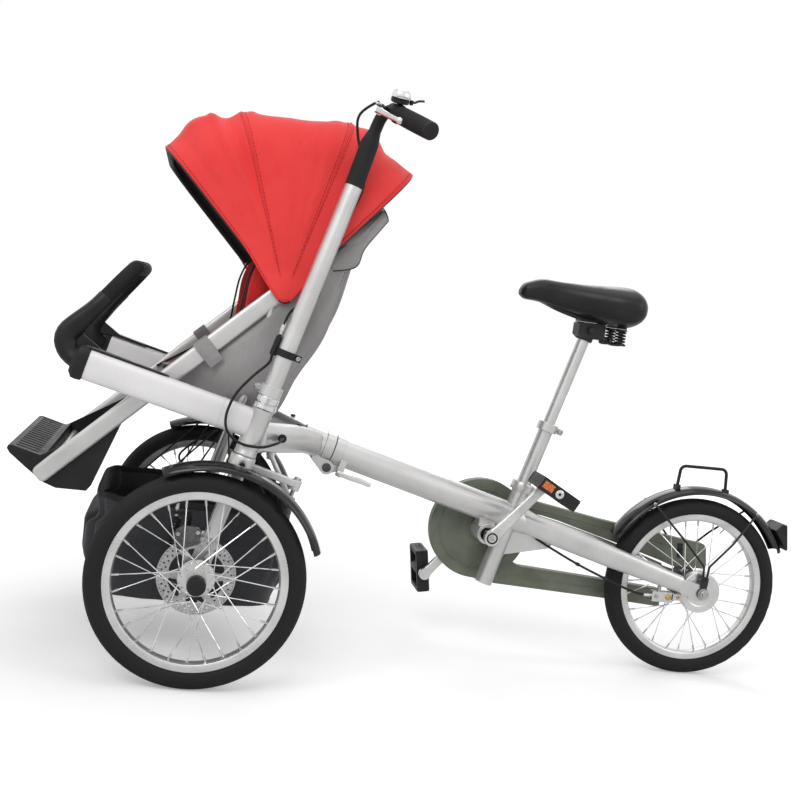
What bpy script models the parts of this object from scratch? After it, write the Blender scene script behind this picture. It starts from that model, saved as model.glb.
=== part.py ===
"""Stroller bike: a three wheeled bicycle with a child seat and canopy between its two front wheels.

Lengths are metres. In the bike frame x runs from the front axle line to the rear, -y is the
rider's left and z is up from the ground. The finished model is moved along x so that its origin
lies under the middle of its bounding box.
"""
import math

import bmesh
import bpy
from mathutils import Matrix, Vector

# Clearances
GAP = 0.0003
RUNNING = 0.0006

# Layout
WHEELBASE = 1.063
TRACK = 0.64
LEAN = math.radians(15)
STEER_Y = 0.265
STEER_REACH = 0.105
FRONT_REACH = -0.352
REAR_REACH = 1.268

# Wheels
WHEEL_R = 0.192
TYRE_W = 0.041
TREAD_FLAT = 0.014
RIM_R = 0.1585
RIM_W = 0.025
RIM_DEPTH = 0.0145
WHEEL_STEPS = 24
SPOKES_PER_SIDE = 12
SPOKE_W = 0.0024
SPOKE_LEAN = math.radians(26)
FLANGE_R = 0.0335
BARREL_R = 0.018
HUB_BORE_R = 0.0086
HUB_CAP_R = 0.0155
HUB_HALF = 0.030
HUB_INNER = 0.0355
AXLE_R = 0.008
DISC_R = 0.070
DISC_T = 0.0018
DISC_BORE_R = 0.0125

# Front frame
HEAD_R = 0.020
HEAD_BORE_R = 0.0166
HEAD_LOW_Z = 0.4135
HEAD_TOP_Z = 0.4985
RAIL_H = 0.054
RAIL_W = 0.030
RAIL_FRONT = Vector((-0.228, -STEER_Y, 0.541))
RAIL_REAR = Vector((0.058, -STEER_Y, 0.4725))
BRANCH_H = 0.056
BRANCH_W = 0.042
MAIN_R = 0.029
MAIN_DROP = math.radians(14.55)
FOLD_PIN = Vector((0.240, 0.0, 0.369))
FOLD_PIN_R = 0.005
BARREL_FOLD_R = 0.0088
LUG_INNER = 0.0125
LUG_OUTER = 0.0260
FOLD_CENTRE_UP = 0.038

# Fork and steering
STEERER_R = 0.0155
CROWN_R = 0.0225
CROWN_SIDES = 10
CROWN_LOW_Z = 0.390
LEG_R = 0.0145
LEG_LOW_Z = 0.245
DROPOUT_T = 0.008
BALL_DROP = 0.030
TIE_R = 0.0055

# Handlebars
POST_R = 0.016
POST_TOP_Z = 0.912
BAR_R = 0.011
GRIP_START = Vector((0.2501, -0.285, 1.0418))
GRIP_DIR = Vector((0.379, -0.874, -0.304)).normalized()
GRIP_L = 0.118
GRIP_R = 0.0158
BELL_R = 0.0178
BELL_H = 0.021
BAND_UP = 0.105
CABLE_R = 0.0024
CABLE_OFF = 0.0215

# Rear frame
BB = Vector((0.588, 0.0, 0.268))
BB_R = 0.021
BB_HALF = 0.034
SPINDLE_R = 0.0085
SEAT_REF = Vector((0.698, 0.0, 0.518))
SEAT_TUBE_R = 0.0185
SEAT_TUBE_LOW_Z = 0.159
SEAT_TUBE_TOP_Z = 0.366
MID_POST_R = 0.0155
MID_POST_LOW_Z = 0.235
MID_POST_TOP_Z = 0.505
TOP_POST_R = 0.0125
TOP_POST_LOW_Z = 0.385
TOP_POST_TOP_Z = 0.705
STAY_H = 0.0215
STAY_W = 0.0145
DROPOUT_Y = 0.064
DROPOUT_HALF = 0.0025
RING_R = 0.0815
COG_R = 0.036
CHAIN_Y = 0.0455
CHAIN_HALF = 0.003
CHAIN_T = 0.0075
CHAIN_CLEAR = 0.0012
CASE_NEAR_Y = 0.0362
CASE_FAR_Y = 0.0600
CASE_WALL = 0.0020
CASE_R = 0.1065
CASE_HOLE_R = 0.024
CRANK_L = 0.153
CRANK_ANGLE = math.radians(50.6)
CRANK_IN_Y = 0.0625
CRANK_T = 0.012
PEDAL_Y = 0.126
PEDAL_W = 0.078
PEDAL_L = 0.090
PEDAL_T = 0.026

# Fenders
FENDER_R = 0.2105
FENDER_T = 0.0018
FENDER_HALF = 0.028
FENDER_CROWN = 0.010
REAR_FENDER_R = 0.2190

# Seat and canopy
SIDE_TOP = Vector((0.086, 0.0, 0.7025))
SIDE_LOW = Vector((-0.295, 0.0, 0.330))
SIDE_Y = 0.222
SIDE_W = 0.032
SIDE_T = 0.016
SEAT_HALF = 0.2055
SHELL_T = 0.0036
STRUT_R = 0.009
CANOPY_PIVOT = Vector((0.097, 0.0, 0.702))
CANOPY_HALF = 0.2360
CANOPY_R = 0.332
BOW_R = 0.0042
PANEL_T = 0.0020
BOW_ANGLES = {"front": 135.0, "second": 109.5, "third": 75.0, "rear": 50.0}
BUMPER_R = 0.0135
BUMPER_Y = 0.250
BAG_HALF = 0.185

ORIGIN_X = (FRONT_REACH + REAR_REACH) / 2
X_AXIS, Y_AXIS, Z_AXIS = Vector((1, 0, 0)), Vector((0, 1, 0)), Vector((0, 0, 1))
STEER_AXIS = Vector((math.sin(LEAN), 0, math.cos(LEAN)))
STEER_REAR = Vector((math.cos(LEAN), 0, -math.sin(LEAN)))
MAIN_DIR = Vector((math.cos(MAIN_DROP), 0, -math.sin(MAIN_DROP)))
MAIN_UP = Vector((math.sin(MAIN_DROP), 0, math.cos(MAIN_DROP)))
REAR_AXLE = Vector((WHEELBASE, 0, WHEEL_R))
SIDES = {"left": -1, "right": 1}

for leftover in list(bpy.data.objects):
    bpy.data.objects.remove(leftover)


def steer_point(z, side=-1):
    """The point of a steering axis at height z."""
    return Vector(((z - WHEEL_R) * math.tan(LEAN), side * STEER_Y, z))


def seat_point(z):
    """The point of the seat post's axis at height z."""
    return Vector((SEAT_REF.x + (z - SEAT_REF.z) * math.tan(LEAN), 0, z))


def main_point(x):
    """The point of the main tube's centreline at distance x."""
    start = FOLD_PIN + MAIN_UP * FOLD_CENTRE_UP
    return start + MAIN_DIR * ((x - start.x) / MAIN_DIR.x)


def mesh_from(rings, closed=False):
    """A closed solid through rings of equal point counts, capped at both ends unless closed."""
    bm = bmesh.new()
    loops = [[bm.verts.new(p) for p in ring] for ring in rings]
    count = len(loops[0])
    spans = len(loops) if closed else len(loops) - 1
    for i in range(spans):
        a, b = loops[i], loops[(i + 1) % len(loops)]
        for j in range(count):
            k = (j + 1) % count
            bm.faces.new((a[j], a[k], b[k], b[j]))
    if not closed:
        bm.faces.new(loops[0][::-1])
        bm.faces.new(loops[-1])
    bmesh.ops.recalc_face_normals(bm, faces=bm.faces)
    return bm


def ring(centre, u, v, ru, rv=None, sides=8, power=2.0):
    """An ellipse of points; a power above 2 squares it off."""
    rv = ru if rv is None else rv
    points = []
    for i in range(sides):
        a = math.tau * (i + 0.5) / sides
        c, s = math.cos(a), math.sin(a)
        c = math.copysign(abs(c) ** (2 / power), c)
        s = math.copysign(abs(s) ** (2 / power), s)
        points.append(centre + u * (ru * c) + v * (rv * s))
    return points


def bent(points, radius, steps=3):
    """A polyline whose inner corners are rounded by arcs of the given radius."""
    points = [Vector(p) for p in points]
    out = [points[0]]
    for a, b, c in zip(points, points[1:], points[2:]):
        to_a, to_c = (a - b).normalized(), (c - b).normalized()
        half = to_a.angle(to_c) / 2
        cut = min(radius / math.tan(half), 0.49 * (a - b).length, 0.49 * (c - b).length)
        start, end = b + to_a * cut, b + to_c * cut
        for i in range(steps + 1):
            t = i / steps
            out.append(start.lerp(b, t).lerp(b.lerp(end, t), t))
    out.append(points[-1])
    return out


def smooth(points, per_span=4):
    """A smooth curve through the points, read at even steps."""
    pts = [Vector(p) for p in points]
    pts = [pts[0] * 2 - pts[1]] + pts + [pts[-1] * 2 - pts[-2]]
    out = []
    for p0, p1, p2, p3 in zip(pts, pts[1:], pts[2:], pts[3:]):
        for i in range(per_span):
            t = i / per_span
            out.append(0.5 * (2 * p1 + (p2 - p0) * t + (2 * p0 - 5 * p1 + 4 * p2 - p3) * t * t
                              + (3 * p1 - p0 - 3 * p2 + p3) * t ** 3))
    out.append(pts[-2])
    return out


def sweep(points, ru, rv=None, sides=8, up=Y_AXIS, closed=False, power=2.0):
    """A tube along points; ru lies along up and rv across it, each a number or a list."""
    points = [Vector(p) for p in points]
    count = len(points)
    rus = ru if isinstance(ru, (list, tuple)) else [ru] * count
    rv = ru if rv is None else rv
    rvs = rv if isinstance(rv, (list, tuple)) else [rv] * count
    rings = []
    side = up.copy()
    for i, p in enumerate(points):
        before = points[i - 1] if (i or closed) else p
        after = points[(i + 1) % count] if (i + 1 < count or closed) else p
        tangent = (after - before).normalized()
        side = (side - tangent * side.dot(tangent)).normalized()
        rings.append(ring(p, side, tangent.cross(side), rus[i], rvs[i], sides, power))
    return mesh_from(rings, closed)


def rod(a, b, radius, sides=8, end_radius=None):
    """A straight round bar from a to b."""
    axis = (Vector(b) - Vector(a)).normalized()
    up = Y_AXIS if abs(axis.y) < 0.9 else X_AXIS
    radii = [radius, radius if end_radius is None else end_radius]
    return sweep([a, b], radii, radii, sides, up)


def turned(profile, origin, axis, steps, phase=0.5, closed=True):
    """A turned solid from (radius, height) points; an open profile starts and ends on the axis."""
    axis = Vector(axis).normalized()
    u = (X_AXIS if abs(axis.x) < 0.7 else Z_AXIS)
    u = (u - axis * u.dot(axis)).normalized()
    v = axis.cross(u)
    bm = bmesh.new()
    rings = []
    for r, h in profile:
        if r == 0:
            rings.append([bm.verts.new(origin + axis * h)])
            continue
        turn = [math.tau * (i + phase) / steps for i in range(steps)]
        rings.append([bm.verts.new(origin + axis * h + (u * math.cos(a) + v * math.sin(a)) * r)
                      for a in turn])
    pairs = list(zip(rings, rings[1:]))
    if closed:
        pairs.append((rings[-1], rings[0]))
    for a, b in pairs:
        for i in range(steps):
            k = (i + 1) % steps
            corners = (a[i % len(a)], a[k % len(a)], b[k % len(b)], b[i % len(b)])
            unique = list(dict.fromkeys(corners))
            if len(unique) > 2:
                bm.faces.new(unique)
    bmesh.ops.recalc_face_normals(bm, faces=bm.faces)
    return bm


def prism(outline, y0, y1):
    """An (x, z) outline extruded along y."""
    return mesh_from([[Vector((x, y, z)) for x, z in outline] for y in (y0, y1)])


def block(low, high):
    """An upright box between two corners."""
    (x0, y0, z0), (x1, y1, z1) = low, high
    return prism([(x0, z0), (x1, z0), (x1, z1), (x0, z1)], y0, y1)


def bar(a, b, height, width, up=Z_AXIS):
    """A square-edged bar from a to b."""
    axis = (Vector(b) - Vector(a)).normalized()
    up = (up - axis * up.dot(axis)).normalized()
    across = axis.cross(up)
    corners = [up * sz * height / 2 + across * sy * width / 2
               for sz, sy in ((-1, -1), (1, -1), (1, 1), (-1, 1))]
    return mesh_from([[Vector(p) + c for c in corners] for p in (a, b)])


def tube_ring(origin, axis, inner, outer, length, steps=12):
    """A plain ring of the given bore, outer radius and length, centred on origin."""
    h = length / 2
    return turned([(inner, -h), (outer, -h), (outer, h), (inner, h)], Vector(origin), axis, steps)


def temporary(bm, name="tool"):
    mesh = bpy.data.meshes.new(name)
    bm.to_mesh(mesh)
    bm.free()
    obj = bpy.data.objects.new(name, mesh)
    bpy.context.scene.collection.objects.link(obj)
    return obj


def combined(parts, cuts=()):
    """The parts united into one solid, less the cuts."""
    if len(parts) == 1 and not cuts:
        return parts[0]
    base, *others = [temporary(p) for p in parts]
    cutters = [temporary(p) for p in cuts]
    for other, operation in [(o, "UNION") for o in others] + [(c, "DIFFERENCE") for c in cutters]:
        boolean = base.modifiers.new("join", "BOOLEAN")
        boolean.object = other
        boolean.operation = operation
        boolean.solver = "EXACT"
    graph = bpy.context.evaluated_depsgraph_get()
    bm = bmesh.new()
    bm.from_object(base, graph)
    for obj in [base, *others, *cutters]:
        mesh = obj.data
        bpy.data.objects.remove(obj)
        bpy.data.meshes.remove(mesh)
    bmesh.ops.remove_doubles(bm, verts=bm.verts, dist=2e-6)
    bmesh.ops.dissolve_degenerate(bm, edges=bm.edges, dist=1e-6)
    bmesh.ops.dissolve_limit(bm, angle_limit=0.004, verts=bm.verts, edges=bm.edges)
    bmesh.ops.triangulate(bm, faces=bm.faces)
    bmesh.ops.recalc_face_normals(bm, faces=bm.faces)
    return bm


def mirrored(bm, side):
    """The solid itself on the left, or its mirror image on the right."""
    if side > 0:
        bmesh.ops.scale(bm, vec=(1, -1, 1), verts=bm.verts)
        bmesh.ops.recalc_face_normals(bm, faces=bm.faces)
    return bm


def turned_about(bm, angle, centre, axis=Y_AXIS):
    """The solid turned about a centre."""
    bmesh.ops.rotate(bm, cent=centre, matrix=Matrix.Rotation(angle, 3, axis), verts=bm.verts)
    return bm


FINISHES = {
    "silver": ((0.72, 0.71, 0.70), 0.35, 0.6),
    "alloy": ((0.60, 0.59, 0.58), 0.30, 0.9),
    "steel": ((0.45, 0.45, 0.46), 0.35, 0.9),
    "black": ((0.02, 0.02, 0.02), 0.45, 0.0),
    "gloss_black": ((0.012, 0.012, 0.013), 0.12, 0.0),
    "rubber": ((0.02, 0.02, 0.02), 0.75, 0.0),
    "red": ((0.75, 0.02, 0.02), 0.85, 0.0),
    "grey": ((0.25, 0.24, 0.24), 0.9, 0.0),
    "dark_grey": ((0.05, 0.05, 0.055), 0.9, 0.0),
    "olive": ((0.16, 0.18, 0.13), 0.5, 0.0),
    "lens": ((0.5, 0.01, 0.01), 0.2, 0.0),
}
BODY_PIVOTS = {}


def finish_material(name):
    material = bpy.data.materials.get(name)
    if material is None:
        material = bpy.data.materials.new(name)
        material.use_nodes = True
        shader = material.node_tree.nodes["Principled BSDF"]
        colour, roughness, metallic = FINISHES[name]
        shader.inputs["Base Color"].default_value = (*colour, 1)
        shader.inputs["Roughness"].default_value = roughness
        shader.inputs["Metallic"].default_value = metallic
    return material


def body(name, pivot, parent=None):
    """An empty on a moving body's axis, which its pieces hang from."""
    empty = bpy.data.objects.new(name + "_axis", None)
    bpy.context.scene.collection.objects.link(empty)
    if parent:
        empty.parent = BODY_PIVOTS[parent][0]
        empty.location = pivot - BODY_PIVOTS[parent][1]
    else:
        empty.location = pivot - Vector((ORIGIN_X, 0, 0))
    BODY_PIVOTS[name] = (empty, Vector(pivot))


def node(name, body_name, finish, parts, cuts=(), side=-1):
    """One named solid on a body."""
    bm = mirrored(combined(parts, cuts), side)
    empty, pivot = BODY_PIVOTS[body_name]
    bmesh.ops.translate(bm, vec=-pivot, verts=bm.verts)
    mesh = bpy.data.meshes.new(name)
    bm.to_mesh(mesh)
    bm.free()
    mesh.shade_smooth()
    mesh.set_sharp_from_angle(angle=math.radians(35))
    mesh.materials.append(finish_material(finish))
    obj = bpy.data.objects.new(name, mesh)
    bpy.context.scene.collection.objects.link(obj)
    obj.parent = empty
    return obj


def wheel_tyre(centre):
    flat, half = TREAD_FLAT / 2, TYRE_W / 2
    r = WHEEL_R / math.cos(math.pi / WHEEL_STEPS)
    seat = RIM_R + GAP
    right = [(r, flat), (r - 0.007, half - 0.004), (r - 0.020, half), (seat, RIM_W / 2 + 0.001)]
    left = [(radius, -h) for radius, h in reversed(right)]
    return turned(right + left, centre, Y_AXIS, WHEEL_STEPS)


def wheel_rim(centre):
    half = RIM_W / 2
    inner = RIM_R - RIM_DEPTH
    right = [(RIM_R, half), (RIM_R - 0.008, half), (inner, half - 0.006)]
    left = [(radius, -h) for radius, h in reversed(right)]
    return turned(right + left, centre, Y_AXIS, WHEEL_STEPS)


def spoked_hub(profile, centre, outward, flange_heights):
    """A turned hub whose flange facets each grow one spoke, up to the rim."""
    axis = Y_AXIS * outward
    bm = turned(profile, centre, axis, SPOKES_PER_SIDE, closed=False)
    tip = (RIM_R - RIM_DEPTH) * math.cos(math.pi / WHEEL_STEPS) - GAP
    for h, lean in zip(flange_heights, (SPOKE_LEAN, -SPOKE_LEAN)):
        bm.faces.ensure_lookup_table()
        facets = [f for f in bm.faces
                  if abs((f.calc_center_median() - centre).dot(axis) - h) < 1e-4
                  and abs(radius_of(f, centre) - FLANGE_R) < 0.0012]
        for facet in facets:
            grow_spoke(bm, facet, centre, axis, lean, tip)
    bmesh.ops.recalc_face_normals(bm, faces=bm.faces)
    return bm


def radius_of(face, centre):
    offset = face.calc_center_median() - centre
    return math.hypot(offset.x, offset.z)


def grow_spoke(bm, facet, centre, axis, lean, tip):
    """Draws a flange facet out into a spoke that leans to one side."""
    middle = facet.calc_center_median()
    out = (middle - centre) - axis * (middle - centre).dot(axis)
    target = Matrix.Rotation(lean, 3, axis) @ out.normalized() * (tip - 0.0002) + centre
    along = (target - middle).normalized()
    across = along.cross(axis).normalized()
    third = along.cross(across)
    top = bmesh.ops.extrude_discrete_faces(bm, faces=[facet])["faces"][0]
    place_square(list(top.verts), target, across, third)


def place_square(corners, centre, across, third):
    """Moves a facet's four corners onto a small square round centre."""
    half = SPOKE_W / 2
    middle = sum((c.co for c in corners), Vector()) / len(corners)
    for vert in corners:
        offset = vert.co - middle
        sx = math.copysign(half, offset.dot(across))
        sz = math.copysign(half, offset.dot(third))
        vert.co = centre + across * sx + third * sz


def front_hub(centre, side):
    """Hub shell with a cap outside and a seat for the brake disc inside."""
    rise = 0.003
    profile = [(0, HUB_HALF), (HUB_BORE_R, HUB_HALF), (HUB_BORE_R, -HUB_INNER), (0.022, -HUB_INNER),
               (BARREL_R, -0.026), (FLANGE_R, -0.022), (FLANGE_R, -0.022 + rise), (BARREL_R, -0.015),
               (BARREL_R, 0.024), (FLANGE_R, HUB_HALF - rise), (FLANGE_R, HUB_HALF),
               (HUB_CAP_R + 0.003, HUB_HALF + 0.003), (HUB_CAP_R, HUB_HALF + 0.013),
               (0, HUB_HALF + 0.014)]
    return spoked_hub(profile, centre, side, (HUB_HALF - rise / 2, -0.022 + rise / 2))


DRUM_R = 0.038
DRUM_IN_Y = 0.036
DRUM_OUT_Y = 0.052
HUB_END_Y = 0.058


def rear_hub(centre):
    """Hub shell with the brake drum on its left end and the sprocket on its right."""
    profile = [(HUB_BORE_R, HUB_END_Y), (0.0130, HUB_END_Y), (0.0130, DRUM_OUT_Y),
               (DRUM_R, DRUM_OUT_Y), (DRUM_R, DRUM_IN_Y),
               (FLANGE_R, 0.030), (FLANGE_R, 0.027), (BARREL_R, 0.022), (BARREL_R, -0.019),
               (FLANGE_R, -0.024), (FLANGE_R, -0.027), (0.0130, -0.029),
               (0.0130, -CHAIN_Y + CHAIN_HALF / 2), (COG_R - CHAIN_T / 2 - CHAIN_CLEAR, -CHAIN_Y + CHAIN_HALF / 2),
               (COG_R - CHAIN_T / 2 - CHAIN_CLEAR, -CHAIN_Y - CHAIN_HALF / 2), (0.0130, -CHAIN_Y - CHAIN_HALF / 2),
               (0.0130, -HUB_END_Y), (HUB_BORE_R, -HUB_END_Y)]
    axis = -Y_AXIS
    bm = turned(profile, centre, axis, SPOKES_PER_SIDE)
    tip = (RIM_R - RIM_DEPTH) * math.cos(math.pi / WHEEL_STEPS) - GAP
    for h, lean in ((0.0285, SPOKE_LEAN), (-0.0255, -SPOKE_LEAN)):
        facets = [f for f in bm.faces
                  if abs((f.calc_center_median() - centre).dot(axis) - h) < 1e-4
                  and abs(radius_of(f, centre) - FLANGE_R) < 0.0012]
        for facet in facets:
            grow_spoke(bm, facet, centre, axis, lean, tip)
    bmesh.ops.recalc_face_normals(bm, faces=bm.faces)
    return bm


def brake_disc(centre):
    """A steel disc with six windows between its arms."""
    disc = tube_ring(centre, Y_AXIS, DISC_BORE_R, DISC_R, DISC_T, 18)
    windows = []
    for i in range(6):
        start = math.tau * i / 6
        outline = [(r, start + turn) for r, turn in ((0.029, 0.30), (0.050, 0.22), (0.050, 0.80),
                                                     (0.029, 0.86))]
        points = [(centre.x + r * math.cos(a), centre.z + r * math.sin(a)) for r, a in outline]
        windows.append(prism(points, centre.y - DISC_T, centre.y + DISC_T))
    return combined([disc], windows)


def fork():
    """Left fork: steerer, crown, one leg, dropout, stub axle and steering arm."""
    axle = Vector((0, -STEER_Y, WHEEL_R))
    steerer = rod(steer_point(CROWN_LOW_Z + 0.004), steer_point(HEAD_TOP_Z), STEERER_R, 10)
    crown = rod(steer_point(CROWN_LOW_Z), steer_point(HEAD_LOW_Z) - STEER_AXIS * GAP, CROWN_R, CROWN_SIDES)
    leg = rod(steer_point(LEG_LOW_Z), steer_point(CROWN_LOW_Z + 0.006), LEG_R, 10)
    plate_y = -STEER_Y
    plate = prism([(-0.016, 0.184), (0.004, 0.176), (0.017, 0.188), (0.034, 0.262), (-0.004, 0.270)],
                  plate_y - DROPOUT_T / 2, plate_y + DROPOUT_T / 2)
    hub_open = -TRACK / 2 + HUB_INNER
    stub = rod(axle + Y_AXIS * 0.010, Vector((0, -TRACK / 2 - HUB_HALF + 0.002, WHEEL_R)), AXLE_R, 8)
    collar = rod(axle + Y_AXIS * 0.002, Vector((0, hub_open + DISC_T + 3 * GAP, WHEEL_R)), 0.0120, 8)
    nut = rod(axle + Y_AXIS * 0.003, axle + Y_AXIS * 0.012, 0.011, 6)
    arm_start = steer_point(CROWN_LOW_Z + 0.008)
    arm_end = arm_start + STEER_REAR * STEER_REACH
    arm = bar(arm_start, arm_end, 0.012, 0.018, STEER_AXIS)
    boss = rod(arm_end - STEER_AXIS * 0.012, arm_end + STEER_AXIS * 0.009, 0.0095, 8)
    stud = rod(arm_end - STEER_AXIS * (BALL_DROP + 0.010), arm_end - STEER_AXIS * 0.010, 0.004, 6)
    keeper = rod(arm_end - STEER_AXIS * (BALL_DROP + 0.011),
                 arm_end - STEER_AXIS * (BALL_DROP + 0.0063), 0.0062, 6)
    return [leg, crown, steerer, plate, collar, stub, nut, arm, boss, stud, keeper]


def ball_point(side=-1):
    """Where the tie rod meets a steering arm."""
    start = steer_point(CROWN_LOW_Z + 0.008, side)
    return start + STEER_REAR * STEER_REACH - STEER_AXIS * BALL_DROP


def tie_rod():
    ends = [ball_point(side) for side in (-1, 1)]
    eye_bore, eye_r = 0.004 + RUNNING, 0.0095
    eyes = [tube_ring(end, STEER_AXIS, eye_bore, eye_r, 0.011, 10) for end in ends]
    inset = Y_AXIS * 0.008
    shaft = rod(ends[0] + inset, ends[1] - inset, TIE_R, 8)
    return [eyes[0], shaft, eyes[1]]


def bar_point(distance):
    """A point on the handlebar's grip axis, from the grip's inner end."""
    return GRIP_START + GRIP_DIR * distance


def handlebar_post():
    """Left post: collar on the headset, straight tube, bend and grip spigot in one tube."""
    foot = steer_point(HEAD_TOP_Z) + STEER_AXIS * GAP
    route = bent([foot + STEER_AXIS * 0.004, steer_point(POST_TOP_Z), Vector((0.2100, -0.2620, 0.9850)),
                  bar_point(-0.048), bar_point(GRIP_L - 0.010)], 0.020, 2)
    radii = [POST_R if p.z < 1.000 and p.y > -0.275 else BAR_R for p in route]
    tube = sweep(route, radii, sides=10)
    bearing = turned([(0.0150, 0), (0.0225, 0), (0.0225, 0.010), (0.0190, 0.012), (0.0190, 0.024),
                      (0.0205, 0.026), (0.0205, 0.044), (0.0150, 0.044)], foot, STEER_AXIS, 10)
    band_at = foot + STEER_AXIS * BAND_UP
    band = tube_ring(band_at, STEER_AXIS, POST_R - 0.001, POST_R + 0.0030, 0.013, 10)
    ear = bar(band_at + STEER_REAR * 0.014, band_at + STEER_REAR * 0.029, 0.012, 0.010, STEER_AXIS)
    guide = band_at - STEER_REAR * CABLE_OFF + STEER_AXIS * 0.008
    holder = tube_ring(guide, STEER_AXIS, CABLE_R + 4 * GAP, CABLE_R + 0.0036, 0.036, 6)
    link = bar(band_at - STEER_REAR * (POST_R - 0.001), band_at - STEER_REAR * (POST_R + 0.0020),
               0.012, 0.008, STEER_AXIS)
    bolt = rod(foot + STEER_AXIS * 0.035 - STEER_REAR * 0.030,
               foot + STEER_AXIS * 0.035 - STEER_REAR * 0.014, 0.005, 6)
    return [tube, bearing, band, ear, link, holder, bolt]


def grip():
    bore = BAR_R + 2 * GAP
    profile = [(0, GRIP_L - 0.008), (bore, GRIP_L - 0.008), (bore, 0), (GRIP_R + 0.0015, 0),
               (GRIP_R + 0.0015, 0.004), (GRIP_R, 0.006), (GRIP_R, GRIP_L - 0.004),
               (GRIP_R - 0.003, GRIP_L), (0, GRIP_L)]
    return turned(profile, GRIP_START, GRIP_DIR, 10, closed=False)


LEVER_FORWARD = (Vector((-0.86, -0.30, 0.0)) - GRIP_DIR * Vector((-0.86, -0.30, 0.0)).dot(GRIP_DIR))
LEVER_FORWARD = LEVER_FORWARD.normalized()
LEVER_UP = GRIP_DIR.cross(LEVER_FORWARD).normalized()
LEVER_UP = LEVER_UP if LEVER_UP.z > 0 else -LEVER_UP
LEVER_PIVOT = GRIP_START - GRIP_DIR * 0.010 + LEVER_FORWARD * 0.031


def adjuster_ends():
    """The cable adjuster's two ends on the lever's bracket."""
    start = bar_point(-0.0135) + LEVER_FORWARD * (BAR_R + 0.012) + LEVER_UP * 0.001
    return start, start - GRIP_DIR * 0.018 + LEVER_UP * 0.003


def brake_bracket():
    """Clamp round the bar with two ears for the lever's pin and the cable adjuster."""
    clamp = tube_ring(bar_point(-0.0135), GRIP_DIR, BAR_R + 2 * GAP, BAR_R + 0.0045, 0.011, 10)
    root = bar_point(-0.0135) + LEVER_FORWARD * (BAR_R + 0.002)
    neck = bar(root, root + LEVER_FORWARD * 0.012, 0.012, 0.007, LEVER_UP)
    ears = []
    for sign in (-1, 1):
        lift = LEVER_UP * sign * 0.0062
        ears.append(bar(root + LEVER_FORWARD * 0.008 + lift, LEVER_PIVOT + LEVER_FORWARD * 0.007 + lift,
                        0.0028, 0.012, LEVER_UP))
    adjuster = rod(*adjuster_ends(), 0.0036, 6)
    return [clamp, neck, *ears, adjuster]


def brake_lever():
    """Blade lever with a ball end, ahead of the grip."""
    half = 0.0047
    eye = rod(LEVER_PIVOT - LEVER_UP * half, LEVER_PIVOT + LEVER_UP * half, 0.0058, 8)
    tip = LEVER_PIVOT + GRIP_DIR * 0.084 + LEVER_FORWARD * 0.010
    knee = LEVER_PIVOT + GRIP_DIR * 0.018 + LEVER_FORWARD * 0.010
    blade = sweep([LEVER_PIVOT, knee, LEVER_PIVOT + GRIP_DIR * 0.052 + LEVER_FORWARD * 0.013, tip],
                  [0.0042, 0.0045, 0.0050, 0.0050], [0.0050, 0.0045, 0.0032, 0.0034], 8, LEVER_UP)
    ball = turned([(0, -0.006), (0.0052, -0.004), (0.0064, 0), (0.0052, 0.004), (0, 0.006)], tip,
                  GRIP_DIR, 8, closed=False)
    return [blade, eye, ball]


BELL_UP = (Z_AXIS * 0.96 - Y_AXIS * 0.10 - X_AXIS * 0.02)
BELL_UP = (BELL_UP - GRIP_DIR * BELL_UP.dot(GRIP_DIR)).normalized()
BELL_AT = GRIP_START - GRIP_DIR * 0.0035 + BELL_UP * (BAR_R + 0.0075)
BELL_LEVER_PIVOT = BELL_AT + BELL_UP * 0.0035 + X_AXIS * (BELL_R + 0.0026)


def bell():
    """Dome on a round base, clamped to the bar."""
    profile = [(0, 0), (BELL_R - 0.002, 0), (BELL_R - 0.001, 0.007), (BELL_R, 0.008),
               (BELL_R, 0.014), (BELL_R * 0.90, 0.021), (BELL_R * 0.62, 0.0265), (0, BELL_H + 0.008)]
    dome = turned(profile, BELL_AT, BELL_UP, 12, closed=False)
    clamp = tube_ring(bar_point(-0.0035), GRIP_DIR, BAR_R + 2 * GAP, BAR_R + 0.0042, 0.0065, 10)
    foot = rod(BELL_AT - BELL_UP * 0.0065, BELL_AT + BELL_UP * 0.002, 0.0032, 8)
    return [dome, clamp, foot]


def bell_lever():
    pivot = BELL_LEVER_PIVOT
    stem = rod(pivot - BELL_UP * 0.004, pivot + BELL_UP * 0.004, 0.0030, 8)
    tip = pivot + X_AXIS * 0.016 + BELL_UP * 0.006
    thumb = bar(pivot, tip, 0.0035, 0.006, BELL_UP)
    pad = bar(tip - X_AXIS * 0.004, tip + X_AXIS * 0.006, 0.005, 0.011, BELL_UP)
    return [stem, thumb, pad]


def fender(centre, radius, start_deg, end_deg, steps):
    """A crowned strip bent round the wheel."""
    rings = []
    for i in range(steps + 1):
        a = math.radians(start_deg + (end_deg - start_deg) * i / steps)
        out = Vector((math.cos(a), 0, math.sin(a)))
        section = [(-FENDER_HALF, -FENDER_CROWN), (-FENDER_HALF * 0.72, -0.0035), (0, 0),
                   (FENDER_HALF * 0.72, -0.0035), (FENDER_HALF, -FENDER_CROWN)]
        outer = [centre + out * (radius + drop) + Y_AXIS * y for y, drop in section]
        inner = [centre + out * (radius + drop - FENDER_T) + Y_AXIS * y * 0.97
                 for y, drop in reversed(section)]
        rings.append(outer + inner)
    return mesh_from(rings)


def front_fender():
    centre = Vector((0.011, -TRACK / 2, WHEEL_R + 0.003))
    strip = fender(centre, FENDER_R, 116, 19, 7)
    at = steer_point(CROWN_LOW_Z + 0.008)
    inner = -TRACK / 2 + FENDER_HALF
    crown_face = CROWN_R * math.cos(math.pi / CROWN_SIDES) + GAP
    lug = rod(Vector((at.x, -STEER_Y - crown_face, at.z)), Vector((at.x, inner - 0.010, at.z)), 0.006)
    return [strip, lug]


CALIPER_SPRING = Vector((-0.046, -0.2500, 0.228))


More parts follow.
